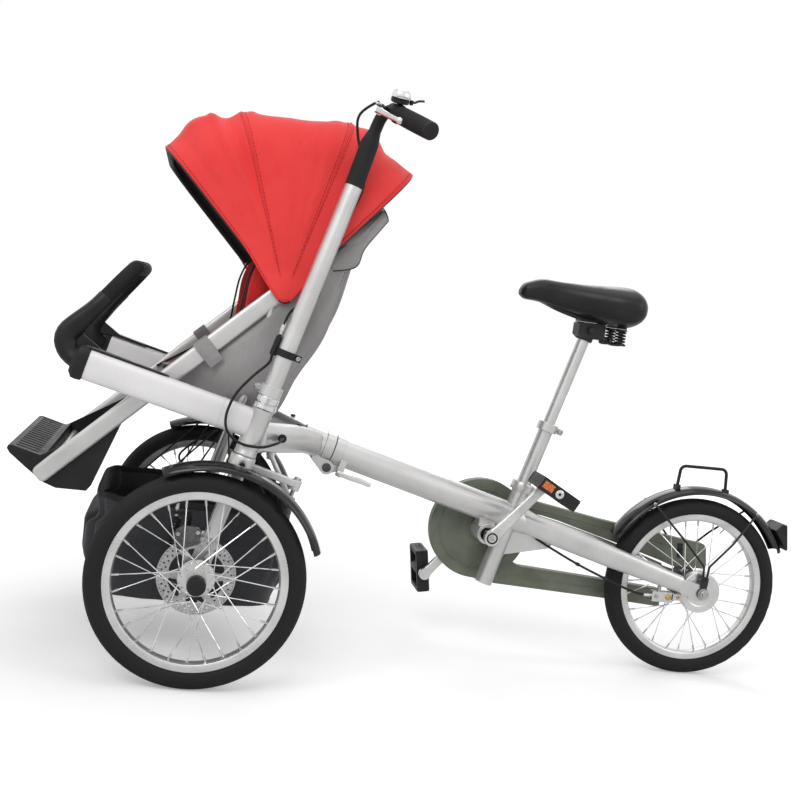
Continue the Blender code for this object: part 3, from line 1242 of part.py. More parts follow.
def seat_post_top():
    """Upper post, saddle clamp and the two saddle springs."""
    post = rod(seat_point(TOP_POST_LOW_Z), seat_point(TOP_POST_TOP_Z), TOP_POST_R, 10)
    head = seat_point(TOP_POST_TOP_Z)
    clamp = block((head.x - 0.024, -0.020, 0.694), (head.x + 0.034, 0.020, SADDLE_SEAT_Z - GAP))
    side_bolt = rod((head.x + 0.002, -0.026, 0.712), (head.x + 0.002, 0.026, 0.712), 0.0085, 8)
    parts = [post, clamp, side_bolt]
    for side in (-1, 1):
        foot = Vector((SPRING_AT.x, side * SPRING_AT.y, SPRING_AT.z))
        parts.append(bar((head.x + 0.030, side * 0.012, 0.701), foot + Z_AXIS * 0.002, 0.006, 0.012))
        parts.append(rod(foot, foot + Z_AXIS * 0.005, 0.0125, 6))
        parts.append(helix(foot + Z_AXIS * 0.003, 0.0100, 0.0020, 3, 0.0278))
        parts.append(rod(foot + Z_AXIS * 0.0300, foot + Z_AXIS * SPRING_L, 0.0120, 6))
        parts.append(rod(foot, foot + Z_AXIS * 0.032, 0.0032, 5))
    return parts


SPRING_L = 0.0345


def saddle():
    """Padded saddle: a narrow nose that widens to the rear."""
    sections = [(0.594, 0.7655, 0.7785, 0.012), (0.608, 0.7580, 0.7935, 0.022), (0.640, 0.7560, 0.8055, 0.028),
                (0.690, 0.7450, 0.8070, 0.038), (0.742, 0.7360, 0.8065, 0.058), (0.790, 0.7270, 0.8080, 0.086),
                (0.829, 0.7240, 0.8090, 0.096), (0.855, 0.7350, 0.7960, 0.088), (0.867, 0.7520, 0.7790, 0.062)]
    rings = []
    for x, low, top, half in sections:
        centre = Vector((x, 0, (low + top) / 2))
        rings.append(ring(centre, Z_AXIS, Y_AXIS, (top - low) / 2, half, 16, 2.7))
    head = seat_point(TOP_POST_TOP_Z)
    pad = block((head.x - 0.022, -0.017, SADDLE_SEAT_Z), (head.x + 0.034, 0.017, 0.750))
    pads = [pad]
    for side in (-1, 1):
        top = Vector((SPRING_AT.x, side * SPRING_AT.y, SPRING_AT.z + SPRING_L + GAP))
        pads.append(rod(top, top + Z_AXIS * 0.012, 0.011, 10))
    clear = []
    for side in (-1, 1):
        foot = Vector((SPRING_AT.x, side * SPRING_AT.y, SPRING_AT.z + SPRING_L + GAP))
        clear.append(rod(foot - Z_AXIS * 0.02, foot, 0.016, 12))
    return [mesh_from(rings), *pads], clear


def rear_fender():
    """Rear mudguard with its wire stays and the rack loop on top."""
    strip = fender(REAR_AXLE, REAR_FENDER_R, 153, 27, 10)
    parts = [strip]
    for side in (-1, 1):
        at = REAR_AXLE + Y_AXIS * side * STAY_BRACKET_Y
        parts.append(tube_ring(at, Y_AXIS, AXLE_BORE_R, 0.0125, STAY_BRACKET_T, 10))
        parts.append(bar(at + Z_AXIS * 0.010, at + Z_AXIS * 0.036, 0.0030, 0.014, Y_AXIS))
        for degrees in (66, 114):
            a = math.radians(degrees)
            rim = REAR_AXLE + Vector((math.cos(a), 0, math.sin(a))) * (REAR_FENDER_R - 0.0085)
            rim += Y_AXIS * side * (FENDER_HALF - 0.002)
            knee = at + Z_AXIS * 0.033 + X_AXIS * (0.004 if degrees < 90 else -0.004)
            bend = knee.lerp(rim, 0.45)
            bend.y = side * (STAY_BRACKET_Y - 0.0010)
            parts.append(sweep([knee, bend, rim], FENDER_WIRE_R, sides=4, up=Y_AXIS))
    loop = bent([Vector((1.000, 0, 0.3995)), Vector((1.003, 0, 0.451)), Vector((1.108, 0, 0.453)),
                 Vector((1.112, 0, 0.4010))], 0.014, 2)
    parts.append(sweep(loop, 0.0035, sides=5, up=Y_AXIS))
    return parts


STAY_BRACKET_Y = 0.0688
STAY_BRACKET_T = 0.0035
FENDER_WIRE_R = 0.0021


def reflector():
    """Red lamp glass in a housing on the rear mudguard's end."""
    outline = []
    for degrees in (41, 36, 31):
        a = math.radians(degrees)
        reach = REAR_FENDER_R + GAP
        outline.append((REAR_AXLE.x + reach * math.cos(a), REAR_AXLE.z + reach * math.sin(a)))
    outline += [(REAR_REACH - 0.008, 0.2940), (REAR_REACH, 0.3000), (REAR_REACH - 0.010, 0.3510),
                (REAR_REACH - 0.026, 0.3510)]
    return prism(outline, -0.030, 0.030)


def band_brake():
    """Band, backing plate and actuating block of the rear drum brake."""
    profile = [(DRUM_R + 0.0012, -0.038), (0.0440, -0.038), (0.0440, -0.0575), (0.0150, -0.0575),
               (0.0150, -0.0545), (DRUM_R + 0.0012, -0.0545)]
    band = turned(profile, REAR_AXLE, Y_AXIS, 20)
    x, z = REAR_AXLE.x, REAR_AXLE.z
    box = block((x - 0.106, -0.0565, z - 0.028), (x - 0.059, -0.0400, z - 0.006))
    neck = block((x - 0.063, -0.0565, z - 0.022), (x - 0.038, -0.0420, z - 0.008))
    hanger = rod((x - 0.091, -0.0520, z - 0.008), (x - 0.091, -0.0520, stay_point(x - 0.091).z - 0.0205),
                 0.0042, 8)
    return [band, box, neck, hanger]


def rear_axle():
    """Fixed axle with its cones and nuts."""
    reach = 0.0835
    parts = [rod(REAR_AXLE - Y_AXIS * reach, REAR_AXLE + Y_AXIS * reach, AXLE_R, 10)]
    for side in (-1, 1):
        inner = REAR_AXLE + Y_AXIS * side * (HUB_END_Y + GAP)
        outer = REAR_AXLE + Y_AXIS * side * (DROPOUT_Y - DROPOUT_HALF - GAP)
        parts.append(rod(inner, outer, 0.0115, 8))
        seat = REAR_AXLE + Y_AXIS * side * (STAY_BRACKET_Y + STAY_BRACKET_T / 2 + GAP)
        parts.append(rod(seat, seat + Y_AXIS * side * 0.0085, 0.0100, 6))
    return parts


def rear_cable():
    """Brake cable from the main tube, along the left chainstay, to the band brake."""
    route = [Vector((0.700, -0.0100, main_point(0.700).z - 0.0245)), Vector((0.735, -0.0200, 0.2480)),
             Vector((0.790, -0.0370, 0.2240)), Vector((0.850, -0.0500, 0.2020)),
             Vector((0.905, -0.0520, 0.1830)), Vector((0.940, -0.0490, 0.1750)),
             Vector((0.957 - GAP, -0.0480, 0.1750))]
    return sweep(smooth(route, 2), CABLE_R, sides=5, up=Z_AXIS)


def add_bodies():
    root = Vector((0, 0, 0))
    body("root", root)
    for name, side in SIDES.items():
        body(name + "_steer", steer_point(HEAD_LOW_Z, side))
        body(name + "_wheel", Vector((0, side * TRACK / 2, WHEEL_R)), name + "_steer")
        lever_at = Vector((LEVER_PIVOT.x, -side * LEVER_PIVOT.y, LEVER_PIVOT.z))
        body(name + "_lever", lever_at, name + "_steer")
    body("tie_rod", ball_point(-1), "left_steer")
    body("bell_lever", BELL_LEVER_PIVOT, "left_steer")
    body("rear", FOLD_PIN)
    body("latch", LATCH_AT, "rear")
    body("rear_wheel", REAR_AXLE, "rear")
    body("crank", BB, "rear")
    for name, side in SIDES.items():
        tip = crank_tip(side)
        body(name + "_pedal", Vector((tip.x, side * PEDAL_Y, tip.z)), "crank")
    body("seat_mid", seat_point(SEAT_TUBE_TOP_Z), "rear")
    body("seat_top", seat_point(MID_POST_TOP_Z), "seat_mid")
    body("canopy_third", CANOPY_PIVOT)
    body("canopy_second", CANOPY_PIVOT, "canopy_third")
    body("canopy_front", CANOPY_PIVOT, "canopy_second")


def add_front():
    node("front_frame", "root", "silver", *front_frame())
    node("fold_pin", "root", "steel", fold_pin())
    node("seat_frame", "root", "silver", seat_frame())
    node("seat_shell", "root", "grey", [seat_shell()])
    node("seat_liner", "root", "red", [seat_liner()])
    node("footrest", "root", "black", *footrest())
    node("bumper_bar", "root", "rubber", bumper_bar())
    node("storage_bag", "root", "dark_grey", *storage_bag())
    for name, side in SIDES.items():
        steer = name + "_steer"
        centre = Vector((0, -TRACK / 2, WHEEL_R))
        node("fork_" + name, steer, "silver", fork(), side=side)
        node("handlebar_post_" + name, steer, "silver", handlebar_post(), side=side)
        node("grip_" + name, steer, "rubber", [grip()], side=side)
        node("brake_bracket_" + name, steer, "black", brake_bracket(), side=side)
        node("brake_lever_" + name, name + "_lever", "alloy", brake_lever(), side=side)
        node("brake_cable_" + name, steer, "black", [brake_cable()], side=side)
        node("front_fender_" + name, steer, "gloss_black", front_fender(), side=side)
        node("caliper_" + name, steer, "alloy", *caliper(), side=side)
        wheel = name + "_wheel"
        node("front_tyre_" + name, wheel, "rubber", [wheel_tyre(centre)], side=side)
        node("front_rim_" + name, wheel, "alloy", [wheel_rim(centre)], side=side)
        node("front_hub_" + name, wheel, "alloy", [front_hub(centre, -1)], side=side)
        disc_at = centre + Y_AXIS * (HUB_INNER + DISC_T / 2 + GAP)
        node("brake_disc_" + name, wheel, "steel", [brake_disc(disc_at)], side=side)
    node("tie_rod", "tie_rod", "steel", tie_rod())
    node("bell", "left_steer", "alloy", bell())
    node("bell_lever", "bell_lever", "black", bell_lever())


def add_canopy():
    radii = {"front": 0.336, "second": 0.338, "third": 0.342, "rear": CANOPY_R}
    for name, following, bulge in (("front", "second", 0.010), ("second", "third", -0.003),
                                   ("third", "rear", 0.0)):
        parts = [canopy_bow(name, radii[name])] + canopy_eye(name, -1) + canopy_eye(name, 1)
        node("canopy_bow_" + name, "canopy_" + name, "steel", parts)
        panel = canopy_panel(name, following, (radii[name], radii[following]), bulge)
        node("canopy_panel_" + name, "canopy_" + name, "red", [panel])


def add_rear():
    node("rear_frame", "rear", "silver", *rear_frame())
    node("fold_latch", "latch", "alloy", fold_latch())
    node("chain_case", "rear", "olive", *chain_case())
    node("chain", "rear", "steel", [chain()])
    node("rear_fender", "rear", "gloss_black", rear_fender())
    node("reflector", "rear", "lens", [reflector()])
    node("band_brake", "rear", "alloy", band_brake())
    node("rear_axle", "rear", "steel", rear_axle())
    node("rear_cable", "rear", "black", [rear_cable()])
    node("rear_tyre", "rear_wheel", "rubber", [wheel_tyre(REAR_AXLE)])
    node("rear_rim", "rear_wheel", "alloy", [wheel_rim(REAR_AXLE)])
    node("rear_hub", "rear_wheel", "alloy", [rear_hub(REAR_AXLE)])
    node("crank_right", "crank", "alloy", crank_right())
    node("crank_left", "crank", "alloy", *crank_left())
    node("pedal_left", "left_pedal", "black", *pedal(-1, math.radians(28)))
    node("pedal_right", "right_pedal", "black", *pedal(1, math.radians(80)))
    node("seat_post_mid", "seat_mid", "alloy", *seat_post_mid())
    node("seat_post_top", "seat_top", "alloy", seat_post_top())
    node("saddle", "seat_top", "black", *saddle())


add_bodies()
add_front()
add_canopy()
add_rear()
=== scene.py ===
"""Looks of the stroller bike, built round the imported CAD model.

Positions are metres in the bike frame: x from the front axle line to the rear, -y the rider's left
and z up. Every mesh is moved by ORIGIN_X on its way into the scene, which is the CAD model's frame.
"""
import math

import bmesh
import bpy
from mathutils import Matrix, Vector, noise


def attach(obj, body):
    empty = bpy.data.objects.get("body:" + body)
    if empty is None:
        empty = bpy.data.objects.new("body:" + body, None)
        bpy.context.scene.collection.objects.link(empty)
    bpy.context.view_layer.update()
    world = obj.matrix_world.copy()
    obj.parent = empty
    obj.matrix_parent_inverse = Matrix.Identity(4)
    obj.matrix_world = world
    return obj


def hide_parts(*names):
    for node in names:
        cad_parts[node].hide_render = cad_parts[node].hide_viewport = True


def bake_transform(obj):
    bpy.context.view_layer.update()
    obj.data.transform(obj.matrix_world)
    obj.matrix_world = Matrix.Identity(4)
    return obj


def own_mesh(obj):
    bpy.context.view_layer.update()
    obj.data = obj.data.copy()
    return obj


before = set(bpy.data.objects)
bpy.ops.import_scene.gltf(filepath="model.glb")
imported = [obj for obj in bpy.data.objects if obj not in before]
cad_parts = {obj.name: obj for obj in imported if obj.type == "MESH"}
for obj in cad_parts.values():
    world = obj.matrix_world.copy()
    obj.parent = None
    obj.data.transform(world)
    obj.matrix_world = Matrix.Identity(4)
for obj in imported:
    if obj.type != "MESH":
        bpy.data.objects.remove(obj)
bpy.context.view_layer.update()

ORIGIN_X = 0.458
WHEELBASE = 1.063
TRACK = 0.64
LEAN = math.radians(15)
STEER_Y = 0.265
WHEEL_R = 0.192
X, Y, Z = Vector((1, 0, 0)), Vector((0, 1, 0)), Vector((0, 0, 1))
STEER_AXIS = Vector((math.sin(LEAN), 0, math.cos(LEAN)))
STEER_REAR = Vector((math.cos(LEAN), 0, -math.sin(LEAN)))
MAIN_DROP = math.radians(14.55)
MAIN_DIR = Vector((math.cos(MAIN_DROP), 0, -math.sin(MAIN_DROP)))
MAIN_UP = Vector((math.sin(MAIN_DROP), 0, math.cos(MAIN_DROP)))
FOLD_PIN = Vector((0.240, 0.0, 0.369))
REAR_AXLE = Vector((WHEELBASE, 0, WHEEL_R))
BB = Vector((0.588, 0.0, 0.268))
SIDES = {"left": -1, "right": 1}


def steer_point(z, side=-1):
    return Vector(((z - WHEEL_R) * math.tan(LEAN), side * STEER_Y, z))


def seat_point(z):
    return Vector((0.698 + (z - 0.518) * math.tan(LEAN), 0, z))


def main_point(x):
    start = FOLD_PIN + MAIN_UP * 0.038
    return start + MAIN_DIR * ((x - start.x) / MAIN_DIR.x)


def fold_point(along, above, y=0.0):
    point = FOLD_PIN + MAIN_DIR * along + MAIN_UP * above
    return Vector((point.x, y, point.z))


def bent(points, radius, steps=6):
    """A polyline with rounded inner corners."""
    points = [Vector(p) for p in points]
    out = [points[0]]
    for a, b, c in zip(points, points[1:], points[2:]):
        to_a, to_c = (a - b).normalized(), (c - b).normalized()
        half = to_a.angle(to_c) / 2
        cut = min(radius / math.tan(half), 0.49 * (a - b).length, 0.49 * (c - b).length)
        start, end = b + to_a * cut, b + to_c * cut
        for i in range(steps + 1):
            t = i / steps
            out.append(start.lerp(b, t).lerp(b.lerp(end, t), t))
    out.append(points[-1])
    return out


def smooth(points, per_span=6):
    """A smooth curve through the points."""
    pts = [Vector(p) for p in points]
    pts = [pts[0] * 2 - pts[1]] + pts + [pts[-1] * 2 - pts[-2]]
    out = []
    for p0, p1, p2, p3 in zip(pts, pts[1:], pts[2:], pts[3:]):
        for i in range(per_span):
            t = i / per_span
            out.append(0.5 * (2 * p1 + (p2 - p0) * t + (2 * p0 - 5 * p1 + 4 * p2 - p3) * t * t
                              + (3 * p1 - p0 - 3 * p2 + p3) * t ** 3))
    out.append(pts[-2])
    return out


def even(points, step):
    """The same line read at even steps."""
    points = [Vector(p) for p in points]
    total = sum((b - a).length for a, b in zip(points, points[1:]))
    count = max(2, round(total / step))
    out, i, done = [points[0]], 0, 0.0
    for k in range(1, count):
        want = total * k / count
        while done + (points[i + 1] - points[i]).length < want:
            done += (points[i + 1] - points[i]).length
            i += 1
        t = (want - done) / (points[i + 1] - points[i]).length
        out.append(points[i].lerp(points[i + 1], t))
    return out + [points[-1]]


def oval(centre, u, v, ru, rv, sides, power=2.0):
    points = []
    for i in range(sides):
        a = math.tau * (i + 0.5) / sides
        c, s = math.cos(a), math.sin(a)
        c = math.copysign(abs(c) ** (2 / power), c)
        s = math.copysign(abs(s) ** (2 / power), s)
        points.append(centre + u * (ru * c) + v * (rv * s))
    return points


def frame_on(axis):
    axis = Vector(axis).normalized()
    u = X if abs(axis.x) < 0.7 else Z
    u = (u - axis * u.dot(axis)).normalized()
    return axis, u, axis.cross(u)


class Shape:
    """Vertices and faces that become one mesh; m is a face's material slot."""

    def __init__(self):
        self.verts, self.faces, self.slots, self.uvs = [], [], [], {}

    def ring(self, points):
        first = len(self.verts)
        self.verts += [Vector(p) for p in points]
        return list(range(first, first + len(points)))

    def face(self, corners, m=0):
        self.faces.append(tuple(corners))
        self.slots.append(m)

    def loft(self, rings, m=0, closed=False, caps=True, open_ring=False):
        loops = [self.ring(r) for r in rings]
        count = len(loops[0])
        spans = len(loops) if closed else len(loops) - 1
        for i in range(spans):
            a, b = loops[i], loops[(i + 1) % len(loops)]
            for j in range(count - 1 if open_ring else count):
                k = (j + 1) % count
                self.face((a[j], a[k], b[k], b[j]), m)
        if caps and not closed and not open_ring:
            self.face(loops[0][::-1], m)
            self.face(loops[-1], m)
        return self

    def tube(self, points, ru, rv=None, sides=24, up=Y, m=0, closed=False, power=2.0, caps=True):
        points = [Vector(p) for p in points]
        count = len(points)
        rus = ru if isinstance(ru, (list, tuple)) else [ru] * count
        rv = ru if rv is None else rv
        rvs = rv if isinstance(rv, (list, tuple)) else [rv] * count
        rings, side = [], up.copy()
        for i, p in enumerate(points):
            before = points[i - 1] if (i or closed) else p
            after = points[(i + 1) % count] if (i + 1 < count or closed) else p
            tangent = (after - before).normalized()
            side = (side - tangent * side.dot(tangent)).normalized()
            rings.append(oval(p, side, tangent.cross(side), rus[i], rvs[i], sides, power))
        return self.loft(rings, m, closed, caps)

    def rod(self, a, b, radius, sides=24, end=None, m=0):
        axis = (Vector(b) - Vector(a)).normalized()
        up = Y if abs(axis.y) < 0.9 else X
        radii = [radius, radius if end is None else end]
        return self.tube([a, b], radii, radii, sides, up, m)

    def turned(self, profile, origin, axis, steps=48, m=0, closed=False, phase=0.5, wobble=None):
        """A lathe form from (radius, height) points, or (radius, height, slot)."""
        axis, u, v = frame_on(axis)
        origin = Vector(origin)
        loops = []
        for row in profile:
            r, h = row[0], row[1]
            if r == 0:
                loops.append(self.ring([origin + axis * h]))
                continue
            turn = [math.tau * (i + phase) / steps for i in range(steps)]
            reach = [r if wobble is None else r + wobble(r, h, i) for i in range(steps)]
            loops.append(self.ring([origin + axis * h + (u * math.cos(a) + v * math.sin(a)) * q
                                    for a, q in zip(turn, reach)]))
        pairs = list(zip(loops, loops[1:], profile[1:]))
        if closed:
            pairs.append((loops[-1], loops[0], profile[0]))
        for a, b, row in pairs:
            slot = row[2] if len(row) > 2 else m
            for i in range(steps):
                k = (i + 1) % steps
                corners = (a[i % len(a)], a[k % len(a)], b[k % len(b)], b[i % len(b)])
                unique = list(dict.fromkeys(corners))
                if len(unique) > 2:
                    self.face(unique, slot)
        return self

    def hoop(self, origin, axis, inner, outer, length, steps=48, m=0, edge=0.0):
        """A ring of rectangular section with eased edges."""
        h, e = length / 2, edge
        if e:
            profile = [(inner + e, -h), (outer - e, -h), (outer, -h + e), (outer, h - e), (outer - e, h),
                       (inner + e, h), (inner, h - e), (inner, -h + e)]
        else:
            profile = [(inner, -h), (outer, -h), (outer, h), (inner, h)]
        return self.turned(profile, origin, axis, steps, m, closed=True)

    def prism(self, outline, y0, y1, m=0):
        """An (x, z) outline extruded along y."""
        return self.loft([[Vector((x, y, z)) for x, z in outline] for y in (y0, y1)], m)

    def slab(self, points, normal, thickness, m=0):
        """A flat outline in space given a thickness along its normal."""
        n = Vector(normal).normalized() * thickness / 2
        return self.loft([[Vector(p) - n for p in points], [Vector(p) + n for p in points]], m)

    def bar(self, a, b, height, width, up=Z, m=0):
        axis = (Vector(b) - Vector(a)).normalized()
        up = (up - axis * up.dot(axis)).normalized()
        across = axis.cross(up)
        corners = [up * sz * height / 2 + across * sy * width / 2
                   for sz, sy in ((-1, -1), (1, -1), (1, 1), (-1, 1))]
        return self.loft([[Vector(p) + c for c in corners] for p in (a, b)], m)

    def box(self, low, high, m=0):
        (x0, y0, z0), (x1, y1, z1) = low, high
        return self.prism([(x0, z0), (x1, z0), (x1, z1), (x0, z1)], y0, y1, m)

    def ball(self, centre, radius, m=0, steps=16, axis=Z, squash=1.0):
        rows = 8
        profile = [(0, -radius * squash)]
        for i in range(1, rows):
            a = -math.pi / 2 + math.pi * i / rows
            profile.append((radius * math.cos(a), radius * math.sin(a) * squash))
        return self.turned(profile + [(0, radius * squash)], centre, axis, steps, m)

    def hex(self, a, b, radius, m=0):
        """A hexagonal nut or bolt head with a chamfered outer end."""
        a, b = Vector(a), Vector(b)
        run = (b - a)
        knee = a + run * 0.82
        up = Y if abs(run.normalized().y) < 0.9 else X
        return self.tube([a, knee, b], [radius, radius, radius * 0.84], None, 6, up, m)

    def screw(self, at, axis, radius, height, m=0, socket=True):
        """A round cap screw with a hexagonal socket."""
        r, h = radius, height
        profile = [(0, 0), (r, 0), (r, h * 0.75), (r * 0.85, h)]
        if socket:
            profile += [(r * 0.5, h), (r * 0.46, h * 0.45), (0, h * 0.4)]
        else:
            profile += [(0, h * 1.1)]
        return self.turned(profile, at, axis, 18, m)

    def coil(self, start, radius, wire, turns, height, per_turn=20, m=0, axis=Z):
        axis, u, v = frame_on(axis)
        points = []
        count = round(turns * per_turn)
        for i in range(count + 1):
            a = math.tau * i / per_turn
            points.append(Vector(start) + (u * math.cos(a) + v * math.sin(a)) * radius
                          + axis * height * i / count)
        return self.tube(points, wire, sides=8, up=axis, m=m)

    def sheet(self, grid, m=0, scale=(1, 1)):
        """A grid of points as faces, with a uv layer in metres."""
        loops = [self.ring(row) for row in grid]
        dist_v = [0.0]
        mid = len(grid[0]) // 2
        for a, b in zip(grid, grid[1:]):
            dist_v.append(dist_v[-1] + (Vector(b[mid]) - Vector(a[mid])).length)
        for i, row in enumerate(grid):
            u = 0.0
            for j, p in enumerate(row):
                if j:
                    u += (Vector(p) - Vector(row[j - 1])).length
                self.uvs[loops[i][j]] = (u * scale[0], dist_v[i] * scale[1])
        for a, b in zip(loops, loops[1:]):
            for j in range(len(a) - 1):
                self.face((a[j], a[j + 1], b[j + 1], b[j]), m)
        return self

    def mirrored(self):
        """The mirror image on the other side of the bike."""
        other = Shape()
        other.verts = [Vector((v.x, -v.y, v.z)) for v in self.verts]
        other.faces = [f[::-1] for f in self.faces]
        other.slots = list(self.slots)
        other.uvs = dict(self.uvs)
        return other

    def add(self, other):
        first = len(self.verts)
        self.verts += other.verts
        self.faces += [tuple(i + first for i in f) for f in other.faces]
        self.slots += other.slots
        for k, uv in other.uvs.items():
            self.uvs[k + first] = uv
        return self

    def turn(self, angle, centre, axis=Y):
        turn = Matrix.Rotation(angle, 3, axis)
        self.verts = [turn @ (v - centre) + centre for v in self.verts]
        return self

    def sided(self, side):
        return self if side < 0 else self.mirrored()


def make(name, shape, materials, angle=35, bevel=0.0, outward=True, subdiv=0, solid=0.0, solid_offset=-1):
    """An object in the CAD model's frame from a shape."""
    mesh = bpy.data.meshes.new(name)
    shift = Vector((ORIGIN_X, 0, 0))
    mesh.from_pydata([v - shift for v in shape.verts], [], shape.faces)
    mesh.polygons.foreach_set("material_index", shape.slots)
    if shape.uvs:
        layer = mesh.uv_layers.new(name="cloth")
        for loop in mesh.loops:
            layer.data[loop.index].uv = shape.uvs.get(loop.vertex_index, (0, 0))
    if outward:
        bm = bmesh.new()
        bm.from_mesh(mesh)
        bmesh.ops.recalc_face_normals(bm, faces=bm.faces)
        bm.to_mesh(mesh)
        bm.free()
    for material in materials:
        mesh.materials.append(material)
    mesh.shade_smooth()
    if angle:
        mesh.set_sharp_from_angle(angle=math.radians(angle))
    obj = bpy.data.objects.new(name, mesh)
    bpy.context.scene.collection.objects.link(obj)
    if solid:
        mod = obj.modifiers.new("thickness", "SOLIDIFY")
        mod.thickness = solid
        mod.offset = solid_offset
    if bevel:
        mod = obj.modifiers.new("edges", "BEVEL")
        mod.width = bevel
        mod.segments = 2
        mod.limit_method = "ANGLE"
        mod.angle_limit = math.radians(38)
        mod.use_clamp_overlap = True
    if subdiv:
        mod = obj.modifiers.new("round", "SUBSURF")
        mod.levels = subdiv
        mod.render_levels = subdiv
    return obj


def piece(name, body, shape, materials, slot, replaces=(), **options):
    """A piece that rides on a body and may stand for CAD nodes."""
    materials = materials if isinstance(materials, (list, tuple)) else [materials]
    obj = make(name, shape, materials, **options)
    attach(obj, body)
    if replaces:
        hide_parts(*replaces)
    return obj


def new_material(name):
    material = bpy.data.materials.new(name)
    material.use_nodes = True
    tree = material.node_tree
    return material, tree, tree.nodes["Principled BSDF"]


def link(tree, source, target):
    tree.links.new(source, target)


def coords(tree, kind="Object", scale=(1, 1, 1)):
    node = tree.nodes.new("ShaderNodeTexCoord")
    mapping = tree.nodes.new("ShaderNodeMapping")
    mapping.inputs["Scale"].default_value = scale
    link(tree, node.outputs[kind], mapping.inputs["Vector"])
    return mapping.outputs["Vector"]


def noise_node(tree, vector, scale, detail=4, rough=0.55):
    node = tree.nodes.new("ShaderNodeTexNoise")
    node.inputs["Scale"].default_value = scale
    node.inputs["Detail"].default_value = detail
    node.inputs["Roughness"].default_value = rough
    link(tree, vector, node.inputs["Vector"])
    return node.outputs["Fac"]


def ramp(tree, value, stops):
    node = tree.nodes.new("ShaderNodeValToRGB")
    elements = node.color_ramp.elements
    while len(elements) < len(stops):
        elements.new(0.5)
    for element, (at, colour) in zip(elements, stops):
        element.position = at
        element.color = (*colour, 1) if len(colour) == 3 else (colour[0],) * 3 + (1,)
    link(tree, value, node.inputs["Fac"])
    return node.outputs["Color"]


def span(tree, value, low, high, from_low=0.3, from_high=0.7):
    node = tree.nodes.new("ShaderNodeMapRange")
    node.inputs["From Min"].default_value = from_low
    node.inputs["From Max"].default_value = from_high
    node.inputs["To Min"].default_value = low
    node.inputs["To Max"].default_value = high
    link(tree, value, node.inputs["Value"])
    return node.outputs["Result"]


def maths(tree, operation, a, b=None):
    node = tree.nodes.new("ShaderNodeMath")
    node.operation = operation
    for socket, value in zip(node.inputs, (a, b)):
        if value is None:
            continue
        if isinstance(value, (int, float)):
            socket.default_value = value
        else:
            link(tree, value, socket)
    return node.outputs["Value"]


def bump(tree, shader, height, distance, strength=1.0, normal=None):
    node = tree.nodes.new("ShaderNodeBump")
    node.inputs["Distance"].default_value = distance
    node.inputs["Strength"].default_value = strength
    link(tree, height, node.inputs["Height"])
    if normal is not None:
        link(tree, normal, node.inputs["Normal"])
    link(tree, node.outputs["Normal"], shader.inputs["Normal"])
    return node.outputs["Normal"]


def mixed(tree, factor, a, b):
    node = tree.nodes.new("ShaderNodeMix")
    node.data_type = "RGBA"
    if isinstance(factor, (int, float)):
        node.inputs[0].default_value = factor
    else:
        link(tree, factor, node.inputs[0])
    for socket, value in zip((node.inputs[6], node.inputs[7]), (a, b)):
        if isinstance(value, tuple):
            socket.default_value = (*value, 1)
        else:
            link(tree, value, socket)
    return node.outputs[2]


def wear_edges(tree, low=0.52, high=0.60):
    """Bright where the surface is convex, for rubbed edges."""
    node = tree.nodes.new("ShaderNodeNewGeometry")
    return span(tree, node.outputs["Pointiness"], 0.0, 1.0, low, high)


def metal_paint(name, dark, light, rough=(0.28, 0.42), metallic=0.55, coat=0.25, flake=0.00002, grain=900):
    """Metallic paint: fine flakes, faint clouding and a thin clear coat."""
    material, tree, shader = new_material(name)
    where = coords(tree)
    cloud = noise_node(tree, where, 9, 5)
    flakes = noise_node(tree, where, grain, 2, 0.7)
    both = maths(tree, "MULTIPLY_ADD", flakes, 0.35)
    tree.nodes[-1].inputs[2].default_value = 0.0
    total = maths(tree, "ADD", maths(tree, "MULTIPLY", cloud, 0.65), both)
    link(tree, ramp(tree, total, [(0.36, dark), (0.64, light)]), shader.inputs["Base Color"])
    link(tree, span(tree, cloud, rough[0], rough[1]), shader.inputs["Roughness"])
    shader.inputs["Metallic"].default_value = metallic
    shader.inputs["Coat Weight"].default_value = coat
    shader.inputs["Coat Roughness"].default_value = 0.12
    bump(tree, shader, flakes, flake, 0.35)
    return material


def brushed(name, dark, light, rough=(0.2, 0.36), metallic=0.95, stretch=(1, 1, 40), fine=140):
    """Machined or drawn metal with fine lines along one direction."""
    material, tree, shader = new_material(name)
    lines = noise_node(tree, coords(tree, scale=stretch), fine, 3, 0.6)
    cloud = noise_node(tree, coords(tree), 14, 4)
    mix = maths(tree, "ADD", maths(tree, "MULTIPLY", lines, 0.5), maths(tree, "MULTIPLY", cloud, 0.5))
    link(tree, ramp(tree, mix, [(0.38, dark), (0.62, light)]), shader.inputs["Base Color"])
    link(tree, span(tree, mix, rough[0], rough[1], 0.35, 0.65), shader.inputs["Roughness"])
    shader.inputs["Metallic"].default_value = metallic
    bump(tree, shader, lines, 0.00004, 0.4)
    return material


def plastic(name, dark, light, rough=(0.38, 0.55), grain=1400, depth=0.00006, coat=0.0, sheen=0.0,
            gloss=0.3):
    """Moulded plastic or rubber with a fine grain, scuffed on its edges."""
    material, tree, shader = new_material(name)
    where = coords(tree)
    cloud = noise_node(tree, where, 22, 5)
    pebbles = noise_node(tree, where, grain, 3, 0.5)
    colour = ramp(tree, cloud, [(0.35, dark), (0.68, light)])
    scuffed = tuple(min(1, c * 1.5 + 0.012) for c in light)
    worn = maths(tree, "MULTIPLY", wear_edges(tree), cloud)
    link(tree, mixed(tree, worn, colour, scuffed), shader.inputs["Base Color"])
    link(tree, span(tree, cloud, rough[0], rough[1]), shader.inputs["Roughness"])
    shader.inputs["Coat Weight"].default_value = coat
    shader.inputs["Coat Roughness"].default_value = 0.08
    shader.inputs["Sheen Weight"].default_value = sheen
    shader.inputs["Specular IOR Level"].default_value = gloss
    bump(tree, shader, pebbles, depth, 0.6)
    return material


